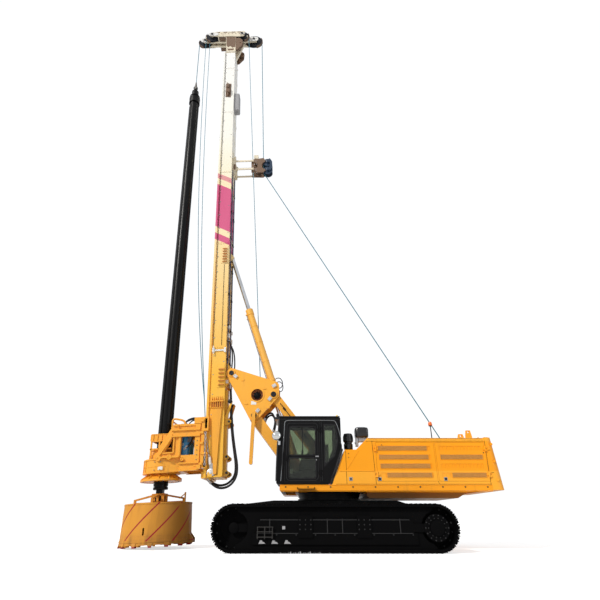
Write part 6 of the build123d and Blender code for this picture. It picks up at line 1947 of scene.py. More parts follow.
class RIG_OT_tools(bpy.types.Operator):
    """Make the kelly's collars and the bucket's rims, teeth, welds and latch"""

    bl_idname = "rig.tools"
    bl_label = "Kelly and bucket"

    def execute(self, context):
        collars = []
        for z, radius, height in ((17.6, 0.236, 0.05), (17.86, 0.236, 0.05), (18.03, 0.222, 0.03)):
            collars.append(kelly_ring(z, z + height, radius, radius - 0.02))
        make("kelly_collars", collars, "kelly_paint", "kelly_outer", lean=True)
        low = []
        for z, radius, height in (
            (1.905, 0.2095, 0.03), (1.8, 0.2095, 0.03), (1.69, 0.2095, 0.03), (1.575, 0.2105, 0.04)
        ):
            low.append(kelly_ring(z, z + height, radius, radius - 0.02))
        make("kelly_foot_rings", low, "kelly_paint", "kelly_inner", lean=True)
        self.bucket_rims()
        self.bucket_teeth()
        return {"FINISHED"}

    def bucket_rims(self):
        """The bucket's rims and weld, the bail's windows and rim, and the latch."""
        rims = []
        for z, height, proud in ((1.16, 0.036, 0.01), (0.262, 0.05, 0.012)):
            inner = bucket_radius(z + height) - 0.004
            rims.append(kelly_ring(z, z + height, bucket_radius(z) + proud, inner, 0.004, 96))
        rims.append(hoop((KELLY_X, 0, 0.415), UP, bucket_radius(0.415) - 0.001, 0.006, 96, 6))
        make("bucket_rims", rims, "bucket_paint", "kelly_inner", lean=True)
        # Dark sheets on the bail's four faces: painted shade in its openings
        box = []
        for turn in np.arange(4) * PI / 2:
            cos, sin = math.cos(turn), math.sin(turn)
            points, faces = block((-0.166, -0.164), (-0.085, 0.085), (1.26, 1.4), 0.0005)
            x = points[:, 0] * cos - points[:, 1] * sin + KELLY_X
            y = points[:, 0] * sin + points[:, 1] * cos
            box.append((np.stack([x, y, points[:, 2]], -1), faces))
        make("bail_windows", box, "slot_dark", "kelly_inner", lean=True)
        rim = [
            block((KELLY_X - 0.18, KELLY_X + 0.18), (-0.18, -0.163), (1.425, 1.455)),
            block((KELLY_X - 0.18, KELLY_X + 0.18), (0.163, 0.18), (1.425, 1.455)),
            block((KELLY_X - 0.18, KELLY_X - 0.163), (-0.163, 0.163), (1.425, 1.455)),
            block((KELLY_X + 0.163, KELLY_X + 0.18), (-0.163, 0.163), (1.425, 1.455)),
            rod((KELLY_X - 0.2, 0, 1.36), (KELLY_X + 0.2, 0, 1.36), 0.032),
        ]
        make("bail_rim", rim, "bucket_paint", "kelly_inner", lean=True)
        latch = [
            rod((KELLY_X + 0.8, -0.3, 1.2), (KELLY_X + 0.8, -0.3, 1.45), 0.022),
            rod((KELLY_X + 0.8, -0.3, 1.42), (KELLY_X + 0.62, -0.2, 1.3), 0.014),
        ]
        make("bucket_latch", latch, "bucket_paint", "kelly_inner", lean=True)

    def bucket_teeth(self):
        """Teeth round the floor's rim: a yellow holder with a dark red tip, each set outwards."""
        holders, tips = [], []
        for turn in (np.arange(TOOTH_COUNT) + 0.775) * 2 * PI / TOOTH_COUNT:
            holders.append(bucket_wedge(turn, (0.182, 0.072, 0.048), (0.262, 0.052, 0.062)))
            tips.append(bucket_wedge(turn, (0.141, 0.08, 0.03), (0.184, 0.07, 0.046)))
        make("bucket_tooth_holders", holders, "bucket_paint", "bucket_floor", lean=True, smooth=20)
        make("bucket_tooth_tips", tips, "red_paint", "bucket_floor", lean=True, smooth=20)


# House, cab and roof
def seal(x, z, radius, width, low, high):
    """A rubber seal round a window with rounded corners, between two bounds on each axis."""
    centre = np.array([(x[0] + x[1]) / 2, (z[0] + z[1]) / 2])
    inner = rounded(x[1] - x[0] - width, z[1] - z[0] - width, radius) + centre
    outer = rounded(x[1] - x[0] + width, z[1] - z[0] + width, radius + width) + centre
    return framed(outer, inner, low, high)


def strip(start, end, width):
    """A narrow line on the house's side between two points (x, z)."""
    start, end = np.asarray(start), np.asarray(end)
    way = unit(end - start)
    side = np.array([-way[1], way[0]]) * width / 2
    outline = [start - side, end - side, end + side, start + side]
    return slab(outline, -HOUSE_SIDE - 0.0015, -HOUSE_SIDE + 0.002, 0.0005)


class RIG_OT_house(bpy.types.Operator):
    """Make the house's louvres, seams, locks and deck trim, and the counterweight's"""

    bl_idname = "rig.house"
    bl_label = "House"

    def execute(self, context):
        self.doors()
        self.walls()
        self.deck()
        return {"FINISHED"}

    def doors(self):
        """Louvres, lock plates and latches of the house's four doors."""
        # (door, side, x bounds of each dark row from the lowest up)
        front = ((1.45, 2.62), (1.29, 2.6), (1.27, 2.58), (1.25, 2.56))
        rear = ((3.15, 4.04), None, (2.9, 4.02), None)
        depth = sizes().louvre
        for node in (
            "hood_door_front_left", "hood_door_front_right", "hood_door_rear_left", "hood_door_rear_right"
        ):
            low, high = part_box(node)
            side = 1 if low[1] + high[1] > 0 else -1
            rows = front if "front" in node else rear
            backs, blades, rims = [], [], []
            for number, x in enumerate(rows):
                if x is None:
                    continue
                z = 1.69 + 0.2233 * number
                backs.append(block(
                    x, (-HOUSE_SIDE - 0.003, -HOUSE_SIDE + 0.003), (z - 0.004, z + 0.114), 0.001
                ))
                for blade in range(6):
                    foot = z + 0.006 + blade * 0.0185
                    section = [(0, 0.002), (0, depth), (0.009, depth * 0.6), (0.012, 0.002)]
                    section = [(foot + up, HOUSE_SIDE + out) for up, out in section]
                    blades.append(side_bar(section, x))
                edge = np.array([
                    (x[0], z - 0.004), (x[1], z - 0.004), (x[1], z + 0.114), (x[0], z + 0.114)
                ])
                rims.append(framed(inset(edge, -0.01), edge, -HOUSE_SIDE - 0.01, -HOUSE_SIDE + 0.002))
            lock_x = 1.247 if "front" in node else 2.962
            plate = [block(
                (lock_x - 0.045, lock_x + 0.045), (-HOUSE_SIDE - 0.008, -HOUSE_SIDE), (1.605, 1.695), 0.003
            )]
            latch = [block(
                (lock_x - 0.028, lock_x + 0.028), (-HOUSE_SIDE - 0.02, -HOUSE_SIDE - 0.006), (1.625, 1.675)
            )]
            sets = (
                ("_louvre_backs", backs, "louvre_shade"), ("_louvres", blades, "louvre_paint"),
                ("_louvre_rims", rims, "house_paint"), ("_lock_plate", plate, "grey_paint"),
                ("_latch", latch, "black_plastic"),
            )
            for name, shapes, finish in sets:
                if side > 0:
                    shapes = [mirrored(shape) for shape in shapes]
                make(node + name, shapes, finish, node)

    def walls(self):
        """Seams, creases, locks, roof panels and the counterweight's marks."""
        y = HOUSE_SIDE
        width = sizes().seam
        lines = (
            ((0.388, 1.52), (0.388, 2.36)), ((1.15, 1.52), (1.105, 2.6)), ((0.94, 2.6), (4.15, 2.6)),
            ((2.79, 1.52), (2.755, 1.6)), ((4.12, 1.52), (4.14, 2.6)), ((0.1, 1.525), (4.14, 1.525)),
        )
        seams = [both(strip(start, end, width)) for start, end in lines]
        for x, far in ((1.15, 1.38), (1.8, 1.38), (2.42, -0.22), (4.08, 1.38)):
            seams.append(block(
                (x, x + width), (-1.38, far), (HOUSE_TOP - 0.002, HOUSE_TOP + 0.0015), 0.0005
            ))
        on_house("house_seams", seams, "slot_dark")
        crease = [
            both(slab([
                (0.2, 1.835), (1.1, 1.835), (1.12, 1.86), (0.215, 1.86)
            ], -y - 0.012, -y + 0.002, 0.005)),
            both(slab([
                (0.395, 1.9), (0.72, 2.35), (0.74, 2.35), (0.42, 1.9)
            ], -y - 0.008, -y + 0.002, 0.003)),
        ]
        on_house("house_creases", crease, "house_paint")
        locks = [both(block((0.449, 0.539), (-y - 0.008, -y), (1.605, 1.695), 0.003))]
        on_house("house_lock_plates", locks, "grey_paint")
        dark = [both(block((0.472, 0.516), (-y - 0.014, -y - 0.006), (1.63, 1.67)))]
        for x, z in ((0.46, 2.28), (0.46, 2.18), (4.06, 2.3), (1.36, 2.5)):
            dark.append(both(turned([
                (0.012, 0), (0.012, 0.012), (0.006, 0.016)
            ], (x, -y, z), NEARWARD, 10)))
        on_house("house_latches", dark, "black_plastic")
        panels = []
        for x, y_edges in (
            ((1.22, 1.74), (-1.3, 0.62)), ((1.9, 2.36), (-1.3, 1.3)), ((3.0, 4.02), (-0.74, -0.24)),
            ((3.0, 4.02), (0.24, 1.3)),
        ):
            panels.append(block(x, y_edges, (HOUSE_TOP - 0.002, HOUSE_TOP + 0.01), 0.006))
        on_house("house_roof_panels", panels, "house_paint")
        top = HOUSE_TOP + 0.01
        rows = [(x, row_y, top) for x in (1.25, 1.71) for row_y in np.arange(-1.25, 0.6, 0.3)]
        rows += [(x, row_y, top) for x in (1.93, 2.33) for row_y in np.arange(-1.25, 1.3, 0.31)]
        on_house("house_roof_bolts", [repeated(bolt_head(0.01, 0.008), rows, UP)], "bare_steel", smooth=25)
        marks = [
            block((DECK_REAR + 0.012, DECK_REAR + 0.1), (-1.5015, -1.499), z, 0.0004)
            for z in ((2.36, 2.37), (1.8, 1.81))
        ]
        on_house("counterweight_seams", [both(join(marks))], "slot_dark")
        plugs = [(DECK_REAR + 0.16, -1.5, z) for z in (1.62, 2.08, 2.52)]
        on_house("counterweight_plugs", [both(repeated(bolt_head(0.03, 0.016), plugs))], "house_paint")

    def deck(self):
        """The sill's bolts and trim, the tread on the deck and the tank's cap and straps."""
        y = HOUSE_SIDE
        dots = [(x, -y, 1.46) for x in np.arange(-1.2, 4.1, 0.58)]
        on_house("sill_bolts", [both(repeated(bolt_head(0.016, 0.012), dots))], "black_plastic", smooth=25)
        trim = [
            both(block((DECK_FRONT + 0.02, DECK_REAR - 0.02), (-y - 0.01, -y + 0.004), (1.35, 1.366))),
            both(block((DECK_FRONT + 0.02, DECK_REAR - 0.02), (-y - 0.008, -y + 0.004), (1.492, 1.506))),
            both(block((DECK_FRONT - 0.012, DECK_FRONT + 0.002), (-1.42, -0.52), (1.4, 1.48))),
        ]
        on_house("sill_trim", trim, "deck_paint")
        top = (DECK_TOP - 0.001, DECK_TOP + 0.006)
        tread = [block((-1.3, -0.1), (low, low + 0.035), top, 0.002) for low in np.arange(0.45, 0.6, 0.07)]
        on_house("deck_tread", tread, "grey_paint")
        tank = [
            turned([
                (0.06, 0), (0.06, 0.02), (0.045, 0.03), (0.045, 0.055), (0.03, 0.06)
            ], (-0.95, 1.06, 2.29), UP, 20),
            block((-0.72, -0.36), (0.76, 1.36), (2.289, 2.3)),
        ]
        on_house("tank_cap", tank, "black_plastic")
        bands = [block((x, x + 0.05), (1.498, 1.512), (1.54, 2.26), 0.003) for x in (-1.12, -0.34)]
        on_house("tank_straps", bands, "black_paint")


class RIG_OT_cab(bpy.types.Operator):
    """Make the cab's seals, trims, rails, lamps and inside"""

    bl_idname = "rig.cab"
    bl_label = "Cab"

    def execute(self, context):
        self.seals()
        self.trims()
        self.inside()
        return {"FINISHED"}

    def seals(self):
        """Rubber seals of the door, its glass and the cab's windows."""
        y = CAB_SIDE
        upper = seal((-1.125, -0.41), (2.24, 2.98), 0.06, 0.03, y - 0.007, y + 0.002)
        lower = seal((-1.125, -0.41), (1.66, 2.17), 0.05, 0.03, y - 0.007, y + 0.002)
        door_gap = seal((-1.232, -0.303), (1.573, 3.127), 0.03, 0.014, y - 0.003, y + 0.002)
        press_line = seal((-1.185, -0.35), (1.615, 3.07), 0.08, 0.01, y - 0.004, y + 0.002)
        slide = block((-0.775, -0.75), (y + 0.012, y + 0.026), (2.25, 2.97), 0.003)
        make("door_seals", [upper, lower, door_gap, slide], "seal_rubber", "cab_door")
        make("door_press_line", [press_line], "trim_gloss", "cab_door")
        rear_window = [(-0.17, 1.99), (-0.17, 3.03), (0.13, 3.03), (0.18, 2.6), (0.09, 2.23)]
        far_window = [(-1.28, 1.9), (-1.28, 3.06), (0.12, 3.06), (0.12, 2.5), (-0.15, 1.9)]
        shapes = [
            framed(inset(rear_window, -0.02), inset(rear_window, 0.012), y - 0.006, y + 0.002),
            framed(inset(far_window, -0.02), inset(far_window, 0.012), -0.502, -0.494),
        ]
        pane = [(-1.41, 1.72), (-0.59, 1.72), (-0.59, 3.09), (-1.41, 3.09)]
        points, faces = framed(inset(pane, -0.016), inset(pane, 0.014), -0.012, 0.004, "x")
        slope = 0.05 / 1.715
        points[:, 0] += -1.4445 + slope * (points[:, 2] - 1.72)
        shapes.append((points, faces))
        on_house("window_seals", shapes, "seal_rubber")

    def trims(self):
        """Rails, roof, lamps, wiper, step, catch and mirror rim on the outside of the cab, and a steel line
        for a painted highlight along its frame.
        """
        y = CAB_SIDE
        front = [
            (-1.452, y + 0.02, 1.6), (-1.452, y - 0.006, 1.9), (-1.43, y - 0.01, 2.6),
            (-1.402, y + 0.01, 3.2),
        ]
        rails = [
            pipe([
                (-1.3, y, 1.86), (-1.302, y - 0.055, 1.88), (-1.295, y - 0.055, 2.3),
                (-1.285, y - 0.055, 2.68), (-1.283, y, 2.7),
            ], 0.012),
            pipe([
                (-0.25, y - 0.004, 3.12), (-0.246, y - 0.012, 2.8), (-0.246, y - 0.012, 2.0),
                (-0.25, y - 0.004, 1.6),
            ], 0.007),
            pipe(front, 0.02),
        ]
        on_house("cab_rails", rails, "trim_gloss")
        # A bright steel line along the top and rear of the door frame: a painted highlight where the
        # frame's edges catch the light
        line = [
            (-1.33, 1.6), (-1.29, 2.3), (-1.262, 2.8), (-1.254, 3.03), (-1.248, 3.1), (-1.205, 3.143),
            (-1.1, 3.148), (0.06, 3.148), (0.145, 3.125), (0.225, 2.9), (0.278, 2.66),
        ]
        edge = pipe(in_plane(line, y - 0.006), 0.0095)
        on_house("cab_frame_highlight_line", [edge], "highlight_trim_steel")
        slope = [
            pipe([
                (0.245, y, 2.56), (0.3, y - 0.05, 2.52), (0.235, y - 0.05, 2.22), (0.045, y - 0.05, 1.74),
                (0.0, y, 1.7),
            ], 0.014),
            slab([
                (-0.06, 1.54), (0.02, 1.54), (0.325, 2.38), (0.29, 2.42), (0.262, 2.4)
            ], y - 0.004, y + 0.1, 0.006),
        ]
        on_house("cab_rear_trim", slope, "black_plastic")
        roof = [
            block((-1.44, 0.265), (-1.52, -0.548), (3.238, 3.262), 0.01),
            block((-1.52, -1.38), (-1.49, -0.548), (3.18, 3.244), 0.012),
            block((-1.1, -0.2), (-1.25, -0.75), (3.262, 3.282), 0.008),
            block((-1.416, 0.262), (y - 0.012, y + 0.004), (3.166, 3.186), 0.005),
        ]
        on_house("cab_roof", roof, "trim_gloss")
        lamps, glass = [], []
        ahead = (-1, 0, -0.18)
        for lamp_y in (-1.36, -0.64):
            body = [(0.03, 0.0), (0.062, 0.015), (0.068, 0.075), (0.062, 0.082)]
            lamps.append(turned(body, (-1.405, lamp_y, 3.305), ahead, 20))
            lamps.append(rod((-1.38, lamp_y, 3.25), (-1.4, lamp_y, 3.3), 0.012))
            face = [(0.058, 0.0), (0.058, 0.008), (0.03, 0.014)]
            glass.append(turned(face, (-1.487, lamp_y, 3.29), ahead, 20))
        on_house("cab_lamps", lamps, "black_plastic")
        on_house("cab_lamp_faces", glass, "lamp_face")
        marker = [turned([
            (0.03, 0), (0.03, 0.02), (0.018, 0.05), (0.004, 0.058)
        ], (0.2, -1.4, 3.262), UP, 16)]
        on_house("cab_marker", marker, "yellow_lens")
        wiper = [
            pipe([
                (-1.462, -1.02, 1.74), (-1.474, -1.0, 1.9), (-1.462, -0.95, 2.2), (-1.452, -0.92, 2.42)
            ], 0.007),
            block((-1.468, -1.452), (-1.03, -0.99), (1.69, 1.745)),
            carried([
                (-0.006, -0.004), (0.006, -0.004), (0.006, 0.004), (-0.006, 0.004)
            ], [(-1.455, -0.93, 2.08), (-1.44, -0.91, 2.78)]),
        ]
        on_house("wiper", wiper, "black_plastic")
        step = [
            block((-0.9, -0.45), (-1.66, -1.5), (1.4, 1.412)),
            block((-0.9, -0.885), (-1.66, -1.5), (1.412, 1.45), 0.003),
            block((-0.465, -0.45), (-1.66, -1.5), (1.412, 1.45), 0.003),
        ]
        on_house("cab_step", step, "black_paint")
        handle = [
            block((-0.42, -0.33), (y - 0.026, y + 0.002), (2.19, 2.222)),
            rod((-0.395, y - 0.004, 2.12), (-0.395, y - 0.02, 2.12), 0.016),
        ]
        make("door_catch", handle, "bare_steel", "cab_door")
        low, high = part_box("mirror")
        head = ((low[0] + high[0]) / 2 - SLEW_X, (low[1] + high[1]) / 2, high[2] - 0.11)
        rim = [hoop(head, ALONG_Y, 0.108, 0.008, 28, 6)]
        on_house("mirror_rim", rim, "black_plastic")

    def inside(self):
        """The cab's lining, controls, screen, seat pads and document box."""
        floor = 1.575
        lining = [
            block((-1.36, -0.06), (-1.44, -0.56), (floor, floor + 0.012), 0.003),
            slab([
                (-1.355, floor + 0.012), (-1.355, floor + 0.3), (-1.29, floor + 0.32), (-1.2, floor + 0.012)
            ], -1.25, -0.75, 0.006),
            block((-1.33, -1.22), (-1.42, -1.3), (floor + 0.012, floor + 0.52), 0.012),
            slab([(-1.36, 1.98), (-1.28, 2.02), (-1.24, 2.26), (-1.27, 2.28)], -0.72, -0.56, 0.006),
            block((-0.78, -0.4), (-0.66, -0.57), (floor + 0.01, floor + 0.66), 0.01),
            block((-0.16, -0.06), (-1.42, -0.58), (floor + 0.3, floor + 0.95), 0.02),
        ]
        on_house("cab_lining", lining, "cab_lining")
        controls = []
        for y in (-1.3, -0.71):
            controls.append(pipe([
                (-0.77, y, 2.13), (-0.78, y, 2.2), (-0.775, y, 2.26), (-0.765, y, 2.3)
            ], 0.012))
            controls.append(turned([
                (0.016, 0), (0.03, 0.02), (0.027, 0.09), (0.012, 0.11)
            ], (-0.765, y, 2.28), UP, 14))
        for y in (-1.08, -0.92):
            controls.append(slab([
                (-1.16, floor + 0.012), (-1.06, floor + 0.012), (-1.17, floor + 0.17), (-1.19, floor + 0.16)
            ], y - 0.04, y + 0.04))
            controls.append(pipe([
                (-1.14, y, floor + 0.02), (-1.13, y, floor + 0.3), (-1.09, y, floor + 0.42),
                (-1.08, y, floor + 0.5),
            ], 0.01))
        controls.append(block((-1.255, -1.225), (-0.86, -0.58), (2.1, 2.3), 0.008))
        controls.append(rod((-1.24, -0.72, 1.62), (-1.24, -0.72, 2.12), 0.016))
        on_house("cab_controls", controls, "black_plastic")
        screen = [block((-1.224, -1.22), (-0.84, -0.6), (2.12, 2.28), 0.001)]
        on_house("cab_screen", screen, "screen_glow")
        pads = [
            block((-0.83, -0.3), (-1.24, -0.77), (floor + 0.455, floor + 0.485), 0.014),
            block((-0.3, -0.27), (-1.2, -0.81), (floor + 0.52, floor + 0.9), 0.01),
        ]
        on_house("seat_pads", pads, "seat_cloth")
        pale = [block((-1.1, -1.02), (-1.438, -1.415), (1.78, 1.9))]
        on_house("cab_document_box", pale, "grey_paint")


class RIG_OT_roof(bpy.types.Operator):
    """Make the pre-cleaner, the air box, the exhaust, the warning lamp and the lifting lugs"""

    bl_idname = "rig.roof"
    bl_label = "Roof fittings"

    def execute(self, context):
        stack = [turned([
            (0.085, 0), (0.085, 0.05), (0.122, 0.07), (0.126, 0.2), (0.108, 0.22), (0.108, 0.25),
            (0.136, 0.27), (0.138, 0.42), (0.112, 0.485), (0.04, 0.5),
        ], (0.52, -1.0, HOUSE_STEP), UP, 28)]
        for x, y, z in bolt_circle((0.52, -1.0), 0.137, 16, 2.67, "z"):
            stack.append(rod((x, y, z), (x, y, z + 0.11), 0.006, sides=6))
        on_house("pre_cleaner", stack, "trim_gloss", replaces=("roof_fittings",))
        air = []
        for z, half_x, half_y, radius in (
            (2.745, 0.16, 0.15, 0.05), (2.775, 0.18, 0.17, 0.06), (2.955, 0.186, 0.176, 0.07),
            (3.01, 0.17, 0.16, 0.07), (3.03, 0.12, 0.11, 0.06),
        ):
            ring = rounded(half_x * 2, half_y * 2, radius)
            air.append(np.stack([ring[:, 0] + 0.895, ring[:, 1] - 1.05, np.full(len(ring), z)], -1))
        on_house("air_box", [skin(air)], "trim_gloss")
        stand = [
            block((0.72, 0.79), (-1.14, -0.98), (2.52, 2.75), 0.006),
            block((0.8, 1.02), (-1.12, -0.98), (2.64, 2.748), 0.006),
            rod((0.7, -1.06, 2.6), (0.83, -1.06, 2.66), 0.03),
        ]
        on_house("air_box_stand", stand, "bare_steel")
        pipe_end = [
            turned([
                (0.08, 0), (0.08, 0.06), (0.108, 0.08), (0.11, 0.2), (0.08, 0.23), (0.078, 0.26),
                (0.06, 0.275), (0.052, 0.2), (0.01, 0.19),
            ], (1.5, 0.9, HOUSE_TOP), UP, 28),
            *[hoop((1.5, 0.9, HOUSE_TOP + z), UP, 0.111, 0.004, 28, 5) for z in (0.1, 0.14, 0.18)],
        ]
        on_house("exhaust", pipe_end, "cast_steel", slot="black_paint")
        stalk = [turned([
            (0.04, 0), (0.04, 0.008), (0.014, 0.014), (0.013, 0.345), (0.045, 0.353), (0.045, 0.372)
        ], (2.84, -1.15, HOUSE_TOP), UP, 18)]
        on_house("lamp_stalk", stalk, "black_plastic")
        dome = [turned([
            (0.052, 0), (0.056, 0.01), (0.052, 0.07), (0.036, 0.098), (0.01, 0.108)
        ], (2.84, -1.15, HOUSE_TOP + 0.372), UP)]
        on_house("warning_lamp", dome, "lamp_orange")
        lugs = []
        # (x, height) of each lug: a tapered plate with a round corner hole, on a foot plate
        for x, height in ((3.75, 0.185), (3.98, 0.29)):
            z = HOUSE_TOP - 0.002
            outline = np.array([
                (x - 0.1, z), (x + 0.1, z), (x + 0.084, z + height * 0.5), (x + 0.058, z + height),
                (x - 0.058, z + height), (x - 0.084, z + height * 0.5),
            ])
            hole = np.array([
                (x - 0.02, z + height - 0.075), (x + 0.02, z + height - 0.075),
                (x + 0.03, z + height - 0.05), (x + 0.018, z + height - 0.026),
                (x - 0.018, z + height - 0.026), (x - 0.03, z + height - 0.05),
            ])
            lugs.append(framed(outline, hole, -0.88, -0.82))
            lugs.append(block((x - 0.11, x + 0.11), (-0.93, -0.77), (z, z + 0.018)))
        on_house("lifting_lugs", lugs, "house_paint")
        return {"FINISHED"}


# Tracks and slewing ring
BELT_RADIUS = 0.485
AXLE_X = 2.42
AXLE_Z = 0.53
SHOE_COUNT = 56
WEB_ARC = 0.36


def belt_place(distance):
    """Point (x, z) on the belt and its outward way, a distance along it from the idler's lowest point.

    Two straight runs of length 2 X are joined by half circles: on each bend the angle is distance / R.
    """
    straight = 2 * AXLE_X
    bend = PI * BELT_RADIUS
    distance = distance % (2 * straight + 2 * bend)
    if distance < straight:
        return np.array([-AXLE_X + distance, AXLE_Z - BELT_RADIUS]), np.array([0.0, -1.0])
    distance -= straight
    if distance < bend:
        turn = distance / BELT_RADIUS
        way = np.array([math.sin(turn), -math.cos(turn)])
        return np.array([AXLE_X, AXLE_Z]) + BELT_RADIUS * way, way
    distance -= bend
    if distance < straight:
        return np.array([AXLE_X - distance, AXLE_Z + BELT_RADIUS]), np.array([0.0, 1.0])
    turn = (distance - straight) / BELT_RADIUS
    way = np.array([-math.sin(turn), math.cos(turn)])
    return np.array([-AXLE_X, AXLE_Z]) + BELT_RADIUS * way, way


def on_belt(distance, high, low, along, y):
    """A bar across the belt, between two heights above it, that reaches y to both sides."""
    place, way = belt_place(distance)
    run = np.array([-way[1], way[0]])
    corners = ((low, -along / 2), (low, along / 2), (high, along * 0.38), (high, -along * 0.38))
    return slab([place + way * height + run * step for height, step in corners], -y, y, 0.002)


class RIG_OT_tracks(bpy.types.Operator):
    """Make the tread, chain pins, covers, bolts and steps of both tracks, and the slewing ring's bolts"""

    bl_idname = "rig.tracks"
    bl_label = "Tracks"

    def execute(self, context):
        for side, body in self.sides():
            self.belt(side, body)
            self.side_frame(side, body)
        ring = bolt_circle((0, 0), 0.795, 40, 1.262, "z")
        on_house("ring_bolts", [repeated(bolt_head(0.016, 0.01), ring, DOWN)], "cast_steel", smooth=25)
        return {"FINISHED"}

    def sides(self):
        """Each track's side, -1 the cab's, with the body it belongs to."""
        found = []
        for body in ("track_left", "track_right"):
            low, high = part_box(body.replace("track", "track_loop"))
            found.append((1 if low[1] + high[1] > 0 else -1, body))
        return found

    def set_on(self, shape, side):
        """A shape drawn about the middle of a track, moved to the track on one side."""
        points, faces = shape
        return points + np.array([0, side * TRACK_Y, 0]), faces

    def belt(self, side, body):
        """Tread bars, shoe plates and chain pins along the belt, and dark webs inside it as painted shade
        in the loop.
        """
        total = 4 * AXLE_X + 2 * PI * BELT_RADIUS
        pitch = total / SHOE_COUNT
        tread, plates, pins = [], [], []
        for number in range(SHOE_COUNT):
            for share in (0.45, 0.935):
                tread.append(self.set_on(
                    on_belt((number + share) * pitch, 0.0444, 0.03, 0.02, 0.398), side
                ))
            for share in (0.215, 0.695):
                plates.append(self.set_on(
                    on_belt((number + share) * pitch, 0.037, 0.002, 0.072, 0.396), side
                ))
            place, way = belt_place((number + 0.2) * pitch)
            inner = place - way * 0.062
            pins.append(self.set_on(
                rod((inner[0], -0.128, inner[1]), (inner[0], 0.128, inner[1]), 0.022, sides=8), side
            ))
        make(body + "_tread", tread, "tread_steel", body)
        make(body + "_shoe_plates", plates, "track_paint", body)
        make(body + "_chain_pins", pins, "rib_grey", body)
        # Dark sheets that fill the loop between the runs: painted shade inside the track
        webs = []
        for y in (-0.285, 0.265):
            ends = []
            for way in (-1, 1):
                turns = np.radians(np.linspace(75, -75, 8))
                arc = [
                    (way * (AXLE_X - WEB_ARC * math.cos(t)), AXLE_Z + WEB_ARC * math.sin(t)) for t in turns
                ]
                ends.append([(way * (AXLE_X - 0.03), 0.988), *arc, (way * (AXLE_X - 0.03), 0.072)])
            outline = ends[0] + ends[1][::-1]
            webs.append(self.set_on(slab(outline[::-1], y, y + 0.02, 0.003), side))
        make(body + "_webs", webs, "track_paint", body)

    def side_frame(self, side, body):
        """Ribs, steps, pads, hub rings and bolts on the frame's outer face."""
        face = 0.32
        shapes, bolts = [], []
        for x in (-1.55, -0.18, 0.18, 1.55):
            shapes.append(block(
                (x - 0.012, x + 0.012), (-face - 0.012, -face + 0.002), (0.4, 0.725), 0.003
            ))
        shapes.append(block((-1.78, 1.78), (-face - 0.01, -face + 0.002), (0.69, 0.712), 0.003))
        shapes.append(block((-1.84, 1.84), (-face - 0.014, -face + 0.002), (0.405, 0.425), 0.003))
        ladder = [
            *[rod((x, -face - 0.06, 0.3), (x, -face - 0.06, 0.56), 0.011) for x in (-1.83, -1.66, -1.48)],
            *[rod((-1.85, -face - 0.06, z), (-1.46, -face - 0.06, z), 0.01) for z in (0.34, 0.45, 0.55)],
            *[
                rod((x, -face + 0.04, z), (x, -face - 0.065, z), 0.009)
                for x in (-1.83, -1.48)
                for z in (0.4, 0.5)
            ],
        ]
        for x in (-0.7, 0.7):
            for z in (0.5, 0.6, 0.7):
                bolts.extend((x + step, -face - 0.025, z) for step in (-0.13, 0.0, 0.13))
        pads = [block((-1.25, -1.18), (-face - 0.02, -face + 0.06), (0.5, 0.57))]
        for x in (-1.8, -1.5, -1.2):
            outline = [
                (x, 0.2), (x + 0.16, 0.2), (x + 0.13, 0.235), (x + 0.09, 0.245), (x + 0.08, 0.275),
                (x + 0.03, 0.275),
            ]
            pads.append(slab(outline, -face - 0.01, -face + 0.03))
        hub = [
            turned([
                (0.3, 0), (0.3, 0.014), (0.286, 0.022), (0.24, 0.022)
            ], (AXLE_X, -face + 0.002, AXLE_Z), NEARWARD, 36),
            turned([
                (0.165, 0), (0.165, 0.008), (0.12, 0.016), (0.05, 0.018)
            ], (AXLE_X, -face - 0.055, AXLE_Z), NEARWARD, 28),
            turned([
                (0.118, 0), (0.118, 0.012), (0.08, 0.02), (0.02, 0.022)
            ], (-AXLE_X, -0.172, AXLE_Z), NEARWARD),
        ]
        bolts.extend(bolt_circle((AXLE_X, AXLE_Z), 0.205, 14, -face - 0.01))
        bolts.extend(bolt_circle((AXLE_X, AXLE_Z), 0.27, 14, -face - 0.02))
        for x in np.arange(-1.84, 1.9, 0.46):
            bolts.append((x, -face, 0.385))
        # The frame's ribs take rib_grey as a painted highlight along their edges
        sets = (
            ("_frame_ribs", shapes, "rib_grey"), ("_hub_rings", hub, "track_paint"),
            ("_ladder", ladder, "tread_steel"),
            ("_bolts", [repeated(bolt_head(0.014, 0.012), bolts)], "rib_grey"),
            ("_pads", pads, "grey_paint"),
        )
        for name, parts, finish in sets:
            parts = [part if side < 0 else mirrored(part) for part in parts]
            parts = [self.set_on(part, side) for part in parts]
            make(body + name, parts, finish, body, slot="track_steel", smooth=28)


PIECE_OPERATORS = (
    RIG_OT_finishes,
    RIG_OT_stage,
    RIG_OT_hoses,
    RIG_OT_ropes,
    RIG_OT_linkage,
    RIG_OT_cylinders,
    RIG_OT_mast_fittings,
    RIG_OT_cathead_fittings,
    RIG_OT_carriage,
    RIG_OT_tools,
    RIG_OT_house,
    RIG_OT_cab,
    RIG_OT_roof,
    RIG_OT_tracks,
)


class RIG_PT_panel(bpy.types.Panel):
    """Lists the rig's colours, sizes and pieces"""

    bl_idname = "RIG_PT_panel"
    bl_label = "Piling Rig"
    bl_space_type = "VIEW_3D"
    bl_region_type = "UI"
    bl_category = "Piling Rig"

    def draw(self, context):
        column = self.layout.column()
        for group in (context.scene.rig_colours, context.scene.rig_sizes):
            for name in group.__annotations__:
                column.prop(group, name)
        for operator in PIECE_OPERATORS:
            column.operator(operator.bl_idname)


CLASSES = (RigColours, RigSizes, *PIECE_OPERATORS, RIG_PT_panel)


def register():
    for item in CLASSES:
        bpy.utils.register_class(item)
    bpy.types.Scene.rig_colours = bpy.props.PointerProperty(type=RigColours)
    bpy.types.Scene.rig_sizes = bpy.props.PointerProperty(type=RigSizes)


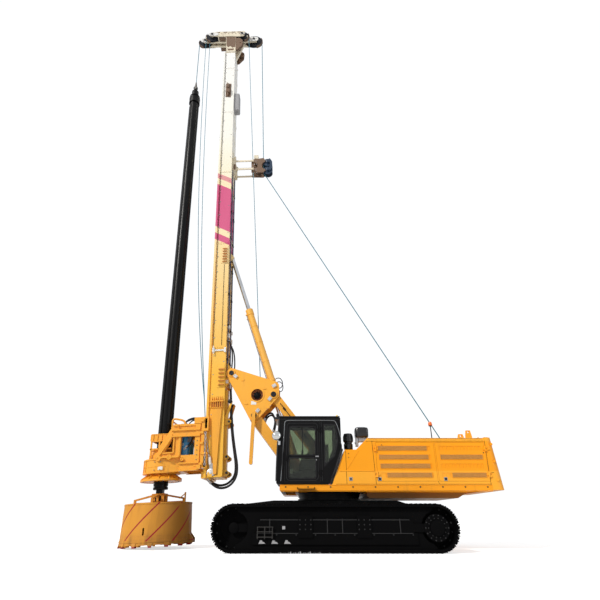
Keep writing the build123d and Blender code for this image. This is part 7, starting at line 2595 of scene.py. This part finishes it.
def unregister():
    del bpy.types.Scene.rig_sizes
    del bpy.types.Scene.rig_colours
    for item in reversed(CLASSES):
        bpy.utils.unregister_class(item)


def main():
    """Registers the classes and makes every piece."""
    register()
    for operator in PIECE_OPERATORS:
        group, action = operator.bl_idname.split(".")
        getattr(getattr(bpy.ops, group), action)()


if __name__ == "__main__":
    main()
